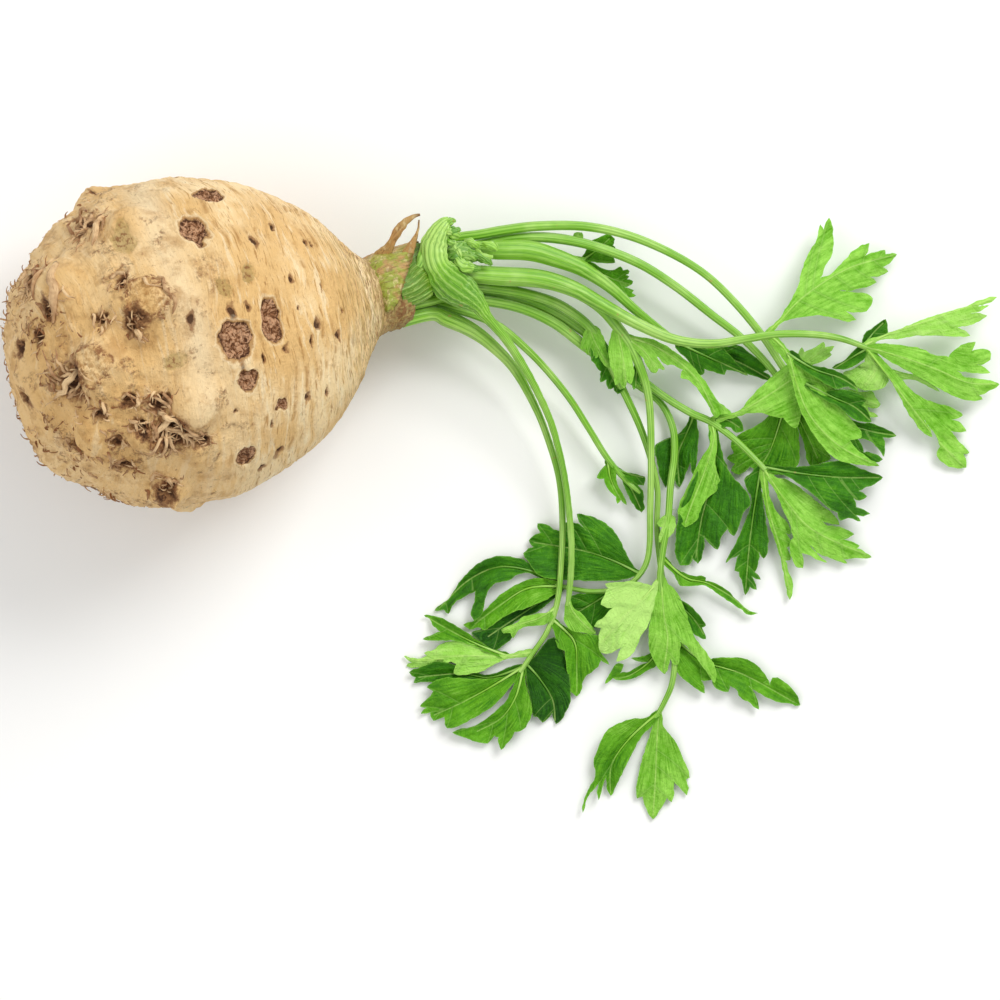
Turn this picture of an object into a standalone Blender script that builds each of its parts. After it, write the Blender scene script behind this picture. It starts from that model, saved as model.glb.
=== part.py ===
"""A freshly pulled celeriac: its swollen root lies on its side and its young stalks and leaves lie beside it.

The crown points right (+X) and a little down to the table, so the stalks run down onto it. Lengths below are
in millimetres and are turned into metres where the meshes are made. The table is at z = 0.
"""

import math
import random
from bisect import bisect_right

import bpy
import numpy as np
from mathutils import Matrix, Vector, noise
from mathutils.geometry import delaunay_2d_cdt, intersect_point_line

MM = 0.001

# The middle of the whole plant, seen from above, which becomes the origin.
MIDDLE = Vector((-0.175, -0.95, 0.0))

# The root is turned about an axis that runs from its tip to its crown.
NECK = Vector((-39.9, 75.4, 33.7))
AXIS_TURN = math.radians(13.5)
AXIS_DROP = math.radians(18.0)
# Radius of the root at a distance from the neck, measured back towards the tip.
ROOT_PROFILE = [
    (-4.5, 11.5), (0, 13.3), (8, 14.2), (14, 20), (22, 30), (31, 39.5), (46, 49.5), (62, 56),
    (80, 59.2), (97, 58.0), (111, 53.6), (122, 47.2), (132, 38), (139.5, 27.5), (144, 16), (146, 0),
]
ROOT_ROWS = 28
ROOT_COLUMNS = 56
ROOT_SINK = 2.4
FOOT_CENTRE = (-113.0, 56.5)
FOOT_RADIUS = 17.0

# Knobs on the root where thick side roots were cut: place from above, radius, height.
KNOBS = [
    (-130.0, 72.5, 12.0, 5.5), (-148.5, 50.0, 10.5, 4.5), (-113.5, 34.5, 10.0, 4.5),
    (-122.3, 3.0, 8.0, 3.5), (-138.0, 102.0, 9.0, 3.0), (-165.0, 80.0, 10.0, 3.5),
    (-152.0, 24.0, 9.0, 3.0), (-131.0, 22.0, 8.0, 3.0),
]
# Corky pits: place from above, size along the axis, size round it, depth.
PITS = [
    (-111.5, 97.5, 9.5, 14.5, 2.6), (-106.0, 109.5, 8.5, 6.0, 1.8), (-83.5, 65.5, 9.0, 16.5, 2.8),
    (-97.0, 58.0, 12.0, 16.5, 2.8), (-92.5, 43.5, 7.0, 10.0, 2.2), (-80.0, 35.0, 4.5, 6.5, 1.5),
    (-93.0, 16.0, 6.5, 7.5, 1.8), (-93.5, 84.0, 5.5, 7.0, 1.4), (-102.5, 78.5, 5.5, 8.5, 1.5),
    (-121.5, 51.0, 7.5, 7.5, 1.0), (-139.0, 95.0, 9.0, 11.0, 1.2),
]
# Tufts of rootlets on the side that is seen from above.
TUFTS = [
    (-150.0, 99.0), (-172.0, 80.0), (-160.0, 40.0), (-120.0, 25.0), (-136.0, 65.0), (-155.0, 18.5),
    (-126.0, 40.0), (-143.0, 82.0),
]
HIDDEN_KNOBS = 16
HIDDEN_PITS = 18
HIDDEN_TUFTS = 12
ROOTLETS_IN_TUFT = 3
ROOTLET_THICK = 1.9
ROOTLET_DEPTH = 6.0
ROOTLET_SIDES = 3
ROOTLET_REACH = (3.5, 7.0)
SEED = 7

# Stalks and blades.
STALK_SIDES = 5
STALK_STEP = 9.0
BLADE_THICK = 0.85
BLADE_FOOT = 0.9
TABLE_GAP = 0.2
# How far past the neck the crown's flat end lies, where the stalks start, 0.4 mm clear of the root.
CROWN_END = 4.9

# The dry husk over the neck: its foot, how far it reaches forwards at its first side, and the angles it spans.
HUSK_INNER = 15.1
HUSK_THICK = 0.9
HUSK_FOOT = -7.5
HUSK_REACH = 13.5
HUSK_SPAN = (math.radians(-28), math.radians(112))
HUSK_TORN_FROM = math.radians(10)
HUSK_SLANT = 16.1 / math.radians(90)

ROOT_SKIN = ("root_skin", (0.80, 0.62, 0.36), 0.75)
DRY_HUSK = ("dry_husk", (0.40, 0.22, 0.09), 0.85)
STALK_GREEN = ("stalk_green", (0.30, 0.58, 0.10), 0.45)


def material(finish):
    """A plain material with the part's colour and roughness."""
    name, colour, roughness = finish
    made = bpy.data.materials.get(name)
    if made is None:
        made = bpy.data.materials.new(name)
        made.use_nodes = True
        shader = made.node_tree.nodes["Principled BSDF"]
        shader.inputs["Base Color"].default_value = (*colour, 1.0)
        shader.inputs["Roughness"].default_value = roughness
    return made


def solid(name, points, faces, finish):
    """A mesh object from points in millimetres."""
    mesh = bpy.data.meshes.new(name)
    mesh.from_pydata([(Vector(p) - MIDDLE) * MM for p in points], [], faces)
    mesh.validate()
    mesh.materials.append(material(finish))
    made = bpy.data.objects.new(name, mesh)
    bpy.context.scene.collection.objects.link(made)
    return made


def fuse(body, extras):
    """One closed body from a body and the pieces that are sunk into it."""
    if not extras:
        return body
    loose = bpy.data.collections.new(f"{body.name}_extras")
    bpy.context.scene.collection.children.link(loose)
    for extra in extras:
        loose.objects.link(extra)
    join = body.modifiers.new("join", "BOOLEAN")
    join.operation = "UNION"
    join.operand_type = "COLLECTION"
    join.collection = loose
    join.solver = "MANIFOLD"
    joined = bpy.data.meshes.new_from_object(body.evaluated_get(bpy.context.evaluated_depsgraph_get()))
    body.modifiers.clear()
    plain = body.data
    body.data = joined
    joined.name = plain.name
    bpy.data.meshes.remove(plain)
    for extra in extras:
        bpy.data.objects.remove(extra)
    bpy.data.collections.remove(loose)
    return body


# The root's own frame: along the axis to the crown, across it, and up from it.
ALONG = Vector((
    math.cos(AXIS_DROP) * math.cos(AXIS_TURN),
    math.cos(AXIS_DROP) * math.sin(AXIS_TURN),
    -math.sin(AXIS_DROP),
))
ACROSS = Vector((-math.sin(AXIS_TURN), math.cos(AXIS_TURN), 0.0))
UPWARD = ALONG.cross(ACROSS)


def crown_point(across, up, along):
    """A place at the crown, measured from the neck."""
    return NECK + ALONG * along + ACROSS * across + UPWARD * up


def spline(points, place):
    """The point at a place from 0 to 1 on the smooth curve through some points of any dimension."""
    spans = len(points) - 1
    span = min(int(place * spans), spans - 1)
    t = place * spans - span
    before = points[max(span - 1, 0)]
    start = points[span]
    end = points[span + 1]
    after = points[min(span + 2, spans)]
    return tuple(
        0.5 * (2 * b + (c - a) * t + (2 * a - 5 * b + 4 * c - d) * t**2 + (3 * b - a - 3 * c + d) * t**3)
        for a, b, c, d in zip(before, start, end, after)
    )


def evenly(points, step):
    """Points about a step apart along the smooth curve through the first three values of each point."""
    fine = [spline(points, i / (16 * (len(points) - 1))) for i in range(16 * (len(points) - 1) + 1)]
    run = [0.0]
    for a, b in zip(fine, fine[1:]):
        run.append(run[-1] + math.dist(a[:3], b[:3]))
    count = max(2, round(run[-1] / step))
    chosen = []
    for i in range(count + 1):
        wanted = run[-1] * i / count
        chosen.append(fine[min(max(bisect_right(run, wanted - 1e-6), 0), len(fine) - 1)])
    return chosen


def strand(name, sections, finish, sides=STALK_SIDES, step=STALK_STEP):
    """A stalk or strap along sections of (x, y, z, half width, half depth, arch)."""
    cuts = evenly(sections, step)
    points = []
    for i, (x, y, z, wide, deep, arch) in enumerate(cuts):
        here = Vector((x, y, z))
        ahead = Vector(cuts[min(i + 1, len(cuts) - 1)][:3])
        behind = Vector(cuts[max(i - 1, 0)][:3])
        forward = (ahead - behind).normalized()
        side = Vector((0.0, 0.0, 1.0)).cross(forward).normalized()
        top = forward.cross(side)
        for k in range(sides):
            angle = math.tau * (k + 0.5) / sides
            lift = deep * math.sin(angle) - arch * math.cos(angle) ** 2
            points.append(here + side * wide * math.cos(angle) + top * lift)
    faces = []
    for i in range(len(cuts) - 1):
        for k in range(sides):
            a = i * sides + k
            b = i * sides + (k + 1) % sides
            faces.append((a, b + sides, a + sides))
            faces.append((a, b, b + sides))
    last = (len(cuts) - 1) * sides
    faces.append(tuple(reversed(range(sides))))
    faces.append(tuple(last + k for k in range(sides)))
    return solid(name, points, faces, finish)


def signed_area(outline):
    """Twice the area of a flat outline, positive when it runs anticlockwise."""
    return sum(a[0] * b[1] - b[0] * a[1] for a, b in zip(outline, outline[1:] + outline[:1]))


def height_on_rib(x, y, rib):
    """The height of a rib at its point nearest to x, y."""
    nearest = math.inf
    height = rib[0][2]
    for start, end in zip(rib, rib[1:]):
        flat_start = Vector((start[0], start[1], 0.0))
        flat_end = Vector((end[0], end[1], 0.0))
        touch, share = intersect_point_line(Vector((x, y, 0.0)), flat_start, flat_end)
        share = min(max(share, 0.0), 1.0)
        touch = flat_start.lerp(flat_end, share)
        away = math.hypot(x - touch.x, y - touch.y)
        if away < nearest:
            nearest = away
            height = start[2] + (end[2] - start[2]) * share
    return height


def inside(x, y, outline, margin):
    """Whether a point is inside a flat outline and at least a margin from its edge."""
    crossings = 0
    for a, b in zip(outline, outline[1:] + outline[:1]):
        if (a[1] > y) != (b[1] > y) and x < a[0] + (y - a[1]) / (b[1] - a[1]) * (b[0] - a[0]):
            crossings += 1
        start = Vector((a[0], a[1], 0.0))
        end = Vector((b[0], b[1], 0.0))
        touch, share = intersect_point_line(Vector((x, y, 0.0)), start, end)
        touch = start.lerp(end, min(max(share, 0.0), 1.0))
        if math.hypot(x - touch.x, y - touch.y) < margin:
            return False
    return crossings % 2 == 1


def blade(name, rib, edge):
    """A leaf blade: a thin plate with the cut outline of its edge, carried on its rib.

    The rib runs from the middle of the stalk to the blade's main tip, with heights. The edge runs round the
    blade from one side of the rib to the other.
    """
    curve = [spline(rib, i / 8) for i in range(9)]
    foot = Vector(rib[0][:2])
    sideways = (Vector(rib[1][:2]) - foot).normalized().orthogonal() * BLADE_FOOT
    near_first = foot + sideways
    near_last = foot - sideways
    first = Vector(edge[0])
    last = Vector(edge[-1])
    if (near_first - first).length + (near_last - last).length > (
        (near_last - first).length + (near_first - last).length
    ):
        near_first, near_last = near_last, near_first
    outline = [tuple(near_first), *edge, tuple(near_last)]
    if signed_area(outline) < 0:
        outline.reverse()
    rib_points = [point[:2] for point in curve[2:8:2] if inside(point[0], point[1], outline, 1.2)]
    loop = [(i, (i + 1) % len(outline)) for i in range(len(outline))]
    flat, _, triangles, *_ = delaunay_2d_cdt(
        [Vector(p) for p in outline + rib_points], loop, [], 1, 1e-4, False
    )
    triangles = [
        corners for corners in triangles
        if inside(sum(flat[i].x for i in corners) / 3, sum(flat[i].y for i in corners) / 3, outline, 0.0)
    ]
    tops = []
    for x, y in flat:
        tops.append((x, y, max(height_on_rib(x, y, curve), BLADE_THICK + TABLE_GAP)))
    count = len(tops)
    points = tops + [(x, y, z - BLADE_THICK) for x, y, z in tops]
    faces = []
    sides = {}
    for a, b, c in triangles:
        faces.append((a, b, c))
        faces.append((count + c, count + b, count + a))
        for start, end in ((a, b), (b, c), (c, a)):
            sides[start, end] = True
    for start, end in sides:
        if (end, start) not in sides:
            faces.append((start, count + start, count + end))
            faces.append((start, count + end, end))
    return solid(name, points, faces, STALK_GREEN)


def stalk(name, base, route, blades, sides=STALK_SIDES):
    """A stalk from its base on the crown along its route, fused with its blades.

    Base is (across, up) on the crown's end and the half thickness there. Each point of the route is
    (x, y, z, half thickness). Blades are (rib, edge).
    """
    across, up, thick = base
    sections = [(*crown_point(across, up, along), thick, thick, 0.0) for along in (CROWN_END, CROWN_END + 9)]
    sections += [(x, y, z, half, half, 0.0) for x, y, z, half in route]
    body = strand(name, sections, STALK_GREEN, sides)
    return fuse(body, [blade(f"{name}_blade_{i}", *parts) for i, parts in enumerate(blades)])


def root_radius(back):
    """The root's radius at a distance back from the neck, on a smooth curve through the profile's points."""
    if back >= ROOT_PROFILE[-1][0]:
        return 0.0
    backs = [place[0] for place in ROOT_PROFILE]
    span = max(bisect_right(backs, back) - 1, 0)
    before = ROOT_PROFILE[max(span - 1, 0)]
    start, end = ROOT_PROFILE[span:span + 2]
    after = ROOT_PROFILE[min(span + 2, len(ROOT_PROFILE) - 1)]
    length = end[0] - start[0]
    t = (back - start[0]) / length
    leaving = (end[1] - before[1]) / (end[0] - before[0]) * length
    arriving = (after[1] - start[1]) / (after[0] - start[0]) * length
    smooth = t * t * (3 - 2 * t)
    return start[1] + (end[1] - start[1]) * smooth + leaving * t * (1 - t) ** 2 - arriving * t * t * (1 - t)


def root_surface(x, y):
    """The place on the smooth root that is seen from above at x, y, as distance back and angle round."""
    low, high = 0.0, 130.0
    ray = Vector((x, y, 0.0)) - NECK
    for _ in range(40):
        middle = (low + high) / 2
        from_neck = ray + Vector((0.0, 0.0, middle))
        out = math.hypot(from_neck.dot(ACROSS), from_neck.dot(UPWARD))
        if from_neck.dot(UPWARD) < 0 or out < root_radius(-from_neck.dot(ALONG)):
            low = middle
        else:
            high = middle
    from_neck = ray + Vector((0.0, 0.0, low))
    return -from_neck.dot(ALONG), math.atan2(from_neck.dot(UPWARD), from_neck.dot(ACROSS))


def root_place(back, angle):
    """Point, outward direction, direction along the profile and direction round the root."""
    around = ACROSS * math.cos(angle) + UPWARD * math.sin(angle)
    radius = root_radius(back)
    slope = root_radius(back + 1.5) - root_radius(back - 1.5)
    lengthwise = (around * slope - ALONG * 3.0).normalized()
    outward = (around * 3.0 + ALONG * slope).normalized()
    turning = UPWARD * math.cos(angle) - ACROSS * math.sin(angle)
    return NECK - ALONG * back + around * radius, outward, lengthwise, turning


def marks(seen, hidden, draw, sizes):
    """Places of knobs or pits: those seen from above, then more on the sides and below from a seeded draw."""
    placed = []
    for x, y, *size in seen:
        placed.append((*root_surface(x, y), size))
    for _ in range(hidden):
        back = draw.uniform(28, 138)
        angle = draw.uniform(math.radians(190), math.radians(350))
        placed.append((back, angle, [draw.uniform(*pair) for pair in sizes]))
    return placed


def root_relief(points, draw):
    """How far each point of the smooth root moves outwards."""
    places = np.array([tuple(p) for p in points])
    relief = np.zeros(len(points))
    for back, angle, (radius, height) in marks(KNOBS, HIDDEN_KNOBS, draw, ((7, 12), (2.5, 5))):
        centre = np.array(root_place(back, angle)[0])
        away = np.linalg.norm(places - centre, axis=1) / radius
        relief += height * np.exp(-1.6 * away**2)
    pit_sizes = ((5, 10), (7, 14), (1.2, 2.4))
    for back, angle, (long_size, round_size, depth) in marks(PITS, HIDDEN_PITS, draw, pit_sizes):
        centre, outward, lengthwise, turning = (np.array(v) for v in root_place(back, angle))
        offset = places - centre
        away = np.hypot(offset @ lengthwise / (long_size / 2), offset @ turning / (round_size / 2))
        away = np.hypot(away, offset @ outward / 8)
        relief -= depth * np.exp(-1.4 * away**3)
    for i, point in enumerate(points):
        back = -(point - NECK).dot(ALONG)
        rough = min(max((back - 66) / 26, 0.0), 1.0)
        lump = noise.noise(point / 17.0)
        grain = noise.noise(point / 7.0 + Vector((9.0, 0.0, 0.0)))
        relief[i] += (0.7 + 1.9 * rough) * lump + 1.3 * rough * grain
        edge = min(max((back - 4) / 14, 0.0), 1.0)
        foot = math.dist(point[:2], FOOT_CENTRE) / (FOOT_RADIUS * 1.25)
        if point.z < 20 and foot < 1:
            edge *= foot**4
        relief[i] *= edge
    return relief


def rootlets(draw):
    """Short torn rootlets in tufts, sunk into the root."""
    places = [root_surface(x, y) for x, y in TUFTS]
    for _ in range(HIDDEN_TUFTS):
        places.append((draw.uniform(88, 142), draw.uniform(math.radians(-150), math.radians(-20))))
    spikes = []
    for back, angle in places:
        for _ in range(ROOTLETS_IN_TUFT):
            spread = draw.uniform(-5, 5)
            place, outward, lengthwise, turning = root_place(
                min(back + spread, ROOT_PROFILE[-1][0] - 3), angle + draw.uniform(-0.09, 0.09)
            )
            if place.z < 9:
                continue
            lean = lengthwise * draw.uniform(-0.2, 0.9) + turning * draw.uniform(-0.8, 0.8)
            reach = draw.uniform(*ROOTLET_REACH)
            ahead = (outward + lean * 0.8).normalized()
            side = ahead.orthogonal().normalized() * ROOTLET_THICK / 2
            place.z -= ROOT_SINK
            base = place - outward * ROOTLET_DEPTH
            tip = place + ahead * reach
            count = ROOTLET_SIDES
            turns = [Matrix.Rotation(math.tau * k / count, 3, ahead) for k in range(count)]
            points = [base + turn @ side for turn in turns] + [tip + turn @ side * 0.45 for turn in turns]
            faces = [tuple(reversed(range(count))), tuple(range(count, 2 * count))]
            faces += [(k, (k + 1) % count, (k + 1) % count + count, k + count) for k in range(count)]
            spikes.append(solid(f"rootlet_{len(spikes)}", points, faces, ROOT_SKIN))
    return spikes


def make_root():
    """The swollen root: a turned body with knobs, pits, a flat spot to rest on and tufts of rootlets."""
    draw = random.Random(SEED)
    first = ROOT_PROFILE[0][0]
    last = ROOT_PROFILE[-1][0]
    rings = []
    for row in range(ROOT_ROWS):
        share = row / (ROOT_ROWS - 1)
        back = first + (last - 1.2 - first) * (0.5 * share + 0.25 * (1 - math.cos(math.pi * share)))
        rings.append([
            NECK - ALONG * back + (ACROSS * math.cos(a) + UPWARD * math.sin(a)) * root_radius(back)
            for a in (math.tau * k / ROOT_COLUMNS for k in range(ROOT_COLUMNS))
        ])
    points = [p for ring in rings for p in ring]
    relief = root_relief(points, draw)
    moved = []
    for i, point in enumerate(points):
        back = -(point - NECK).dot(ALONG)
        from_axis = point - (NECK - ALONG * back)
        slope = root_radius(back + 1.5) - root_radius(back - 1.5)
        outward = (from_axis.normalized() * 3.0 + ALONG * slope).normalized()
        place = point + outward * relief[i]
        place.z = max(place.z - ROOT_SINK * min(max((back - 20) / 40, 0.0), 1.0), 0.0)
        moved.append(place)
    faces = []
    for row in range(ROOT_ROWS - 1):
        for k in range(ROOT_COLUMNS):
            a = row * ROOT_COLUMNS + k
            b = row * ROOT_COLUMNS + (k + 1) % ROOT_COLUMNS
            faces.append((a, b + ROOT_COLUMNS, b))
            faces.append((a, a + ROOT_COLUMNS, b + ROOT_COLUMNS))
    front = len(moved)
    moved.append(NECK - ALONG * first)
    moved.append(NECK - ALONG * last - Vector((0.0, 0.0, ROOT_SINK)))
    for k in range(ROOT_COLUMNS):
        faces.append((front, k, (k + 1) % ROOT_COLUMNS))
        tail = (ROOT_ROWS - 1) * ROOT_COLUMNS
        faces.append((front + 1, tail + (k + 1) % ROOT_COLUMNS, tail + k))
    return fuse(solid("swollen_root", moved, faces, ROOT_SKIN), rootlets(draw))


def make_dry_husk():
    """The dry, torn husk over the neck, with a slanting torn edge, a curled strap and a thin spike."""
    columns = 15
    start, end = HUSK_SPAN
    ragged = (0.0, -1.0, 0.4, -0.6)
    points = []
    for k in range(columns):
        angle = start + (end - start) * k / (columns - 1)
        around = ACROSS * math.cos(angle) + UPWARD * math.sin(angle)
        front = HUSK_REACH - HUSK_SLANT * max(angle - HUSK_TORN_FROM, 0.0) + ragged[k % len(ragged)]
        middle = (HUSK_FOOT + front) / 2
        for along, radius in ((HUSK_FOOT, HUSK_INNER), (middle, HUSK_INNER), (front, HUSK_INNER + 0.2)):
            points.append(NECK + ALONG * along + around * radius)
            points.append(NECK + ALONG * along + around * (radius + HUSK_THICK))
    loop = (0, 2, 4, 5, 3, 1)
    faces = [tuple(reversed(loop)), tuple(6 * (columns - 1) + i for i in loop)]
    for k in range(columns - 1):
        for a, b in zip(loop, loop[1:] + loop[:1]):
            faces.append((6 * k + a, 6 * k + b, 6 * k + 6 + a))
            faces.append((6 * k + 6 + a, 6 * k + b, 6 * k + 6 + b))
    body = solid("dry_husk", points, faces, DRY_HUSK)
    strap = [
        (-41.5, 89.0, 39.5, 1.6, 0.5, 0.0), (-39.5, 95.0, 42.0, 1.5, 0.5, 0.0),
        (-36.5, 99.5, 44.0, 1.3, 0.5, 0.0), (-32.5, 103.0, 45.0, 1.0, 0.5, 0.0),
        (-29.5, 103.8, 45.0, 0.6, 0.4, 0.0),
    ]
    spike = [
        (-34.5, 89.0, 41.5, 1.8, 0.5, 0.0), (-31.3, 95.0, 42.5, 1.0, 0.5, 0.0),
        (-29.9, 101.5, 43.0, 0.4, 0.4, 0.0),
    ]
    extras = [strand("husk_strap", strap, DRY_HUSK, 4, 4.0), strand("husk_spike", spike, DRY_HUSK, 4, 4.0)]
    return fuse(body, extras)


def make_crown_heart():
    """The heart of the crown: short cut stalk ends in a bunch."""
    root = (*crown_point(9.5, 4.4, CROWN_END), 1.7, 1.7, 0.0)
    middle = (-24.0, 89.0, 32.3, 2.3, 1.5, 0.0)
    ends = [
        (-4.0, 94.0, 34.5, 1.6), (-7.5, 91.0, 36.5, 1.9), (-4.0, 88.0, 34.0, 1.5), (-11.0, 87.5, 36.5, 1.8),
        (-13.0, 94.0, 37.0, 1.8), (-6.0, 86.0, 33.6, 1.3),
    ]
    trunk = strand("crown_heart", [root, middle, (-15.0, 90.0, 33.6, 3.0, 2.0, 0.0)], STALK_GREEN)
    stubs = []
    for i, (x, y, z, half) in enumerate(ends):
        sections = [
            (-22.0, 89.2, 32.6, 1.4, 1.2, 0.0),
            ((x - 17) / 2, (y + 90) / 2, (z + 35.2) / 2, half, half * 0.8, 0.0),
            (x, y, z, half, half * 0.7, 0.0),
        ]
        stubs.append(strand(f"heart_stub_{i}", sections, STALK_GREEN, 5, 7.0))
    return fuse(trunk, stubs)


def make_upper_stalks():
    """The three long stalks that leave the top of the crown, and the short one below them."""
    stalk(
        "stalk_top", (12.4, -2.6, 1.6),
        [(-18, 95.4, 24.8, 1.8), (-8, 97, 24.5, 1.8), (2, 98.8, 23.9, 1.8), (14, 100.2, 22.6, 1.8),
         (30, 100.2, 21.2, 1.7), (45, 97.4, 20, 1.6), (60, 91.6, 18, 1.5), (74, 83.5, 15.8, 1.4),
         (85, 73.5, 13.8, 1.4), (96, 60.5, 12, 1.4), (105, 47, 9.5, 1.3), (112, 38, 7.2, 1.2),
         (118, 32, 5.5, 1.0)],
        [([(105.5, 46.5, 9.3), (112, 50, 9.4), (120, 56, 8.8)],
          [(110, 47.5), (114, 49), (119, 51), (122, 53.2), (121.3, 54.2), (123, 56.4), (119.6, 56),
           (119, 58), (116, 56), (112, 54.2), (111, 56), (109.8, 54), (109, 50)]),
         ([(117, 33, 5.8), (128, 37, 5.3), (139, 35, 4)],
          [(124, 38.5), (129, 40.5), (133, 39.5), (137, 40), (138.5, 37.5), (140.3, 35), (139, 33.6),
           (135.5, 34), (136, 32.4), (139.5, 30.5), (136, 30.2), (130, 32), (124, 31.8)]),
         ([(117.5, 32.5, 5.6), (127, 28, 4.8), (137, 25, 4), (146, 23.5, 3)],
          [(122, 31.6), (128, 30), (132, 28.4), (137, 28), (142, 26), (146.2, 23.3), (141.2, 22.8),
           (141.4, 15.6), (139, 19), (136, 21.5), (131, 23), (134, 17.2), (137.5, 16.8), (141, 14.6),
           (138, 13.4), (135, 13.6), (128, 21), (121, 27)])],
    )
    stalk(
        "stalk_second", (9.2, -4.8, 1.9),
        [(-5, 94, 21.6, 2.0), (8, 96, 21, 1.9), (20, 95.8, 20, 1.9), (34, 93, 18.8, 1.8),
         (50, 87, 17.3, 1.7), (64, 78.4, 15, 1.6), (78, 67.6, 12.2, 1.5), (88, 60, 10.3, 1.4),
         (96, 52.3, 8.6, 1.3), (102, 45, 6.8, 1.2), (106, 38, 5.4, 1.0)],
        [([(28, 94.5, 19.2), (28.2, 98, 18.4)], [(26.2, 96), (26.8, 97.7), (29.8, 98), (30.3, 96.2)]),
         ([(105.8, 38.5, 5.5), (103, 28, 4), (99, 17, 3), (94, 10, 2)],
          [(108.5, 35), (109.5, 27), (110.3, 20), (109.7, 12.5), (106, 9.5), (101, 9), (97, 10.5), (92, 12),
           (88, 9), (85, 10.5), (86.5, 13), (83.5, 15), (86, 17), (85, 21), (89, 24.5), (94, 27), (99, 31),
           (103, 36)]),
         ([(106, 38, 5.4), (112, 26, 4), (117, 15, 3)],
          [(110, 33), (115, 26), (120, 18), (122, 15), (119, 13.5), (115, 12), (113.2, 14), (112, 20),
           (109.5, 27)])],
    )
    stalk(
        "stalk_third", (8.8, -0.2, 2.2),
        [(-15, 91.4, 27.8, 2.5), (-3, 91.2, 27.6, 3.4), (10, 91, 26.6, 3.7), (20, 88.4, 25, 3.4),
         (30, 84.4, 23.2, 2.8), (40, 77.8, 20.6, 2.1), (50, 69, 17.7, 1.7), (60, 61.2, 14.2, 1.4),
         (66, 57, 12.6, 1.2)],
        [([(64.5, 57.8, 12.9), (75, 53, 10.5), (84, 49, 8.5), (91, 45.8, 6.5)],
          [(68, 57), (74, 55.5), (82, 55.5), (84.5, 53), (87, 50), (91.2, 45.6), (87, 47), (83.3, 47.6),
           (82.5, 45.8), (78, 47), (75, 48), (74.4, 45.8), (72.5, 45.5), (71, 48), (68, 52), (64.8, 55)]),
         ([(66, 57, 12.6), (74, 55, 9.5), (82, 53, 6.8), (90, 49.5, 5.6), (99, 44.5, 4)],
          [(72, 56.5), (84, 56.3), (88, 56.6), (91, 54.5), (95, 51.5), (98.6, 47.6), (97, 47), (99.6, 45.4),
           (99.3, 43.8), (95, 45), (91, 46.2), (88, 48.5), (84, 51), (76, 53)])],
    )
    stalk(
        "stalk_short", (5.5, -8.2, 1.4),
        [(-16, 87, 17.6, 1.5), (-3, 90, 16, 1.4), (12, 90, 15.2, 1.3), (22, 89.2, 14.6, 1.2),
         (31, 88, 14, 1.0)],
        [([(30, 88, 14), (35, 91.5, 13.4), (40, 96, 12.5)],
          [(30.8, 90.5), (33, 94.8), (36, 96.3), (39, 97.6), (42, 95.8), (41.3, 93.5), (42.3, 92),
           (41.3, 89.6), (42, 87), (38, 86.8), (33.5, 87.3)]),
         ([(29.5, 88.1, 14), (38, 82.5, 12.3), (48, 79, 10.3)],
          [(34, 87), (38, 84.8), (41, 84.4), (44, 85.7), (45, 84.3), (47.4, 84), (46, 82.6), (47.3, 82),
           (46.5, 81), (48.7, 80.3), (47.2, 78.6), (45.5, 78), (49, 77), (48.3, 76), (49.8, 75), (47, 74.2),
           (43, 76.4), (38, 80.2), (33, 84.8)])],
    )


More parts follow.
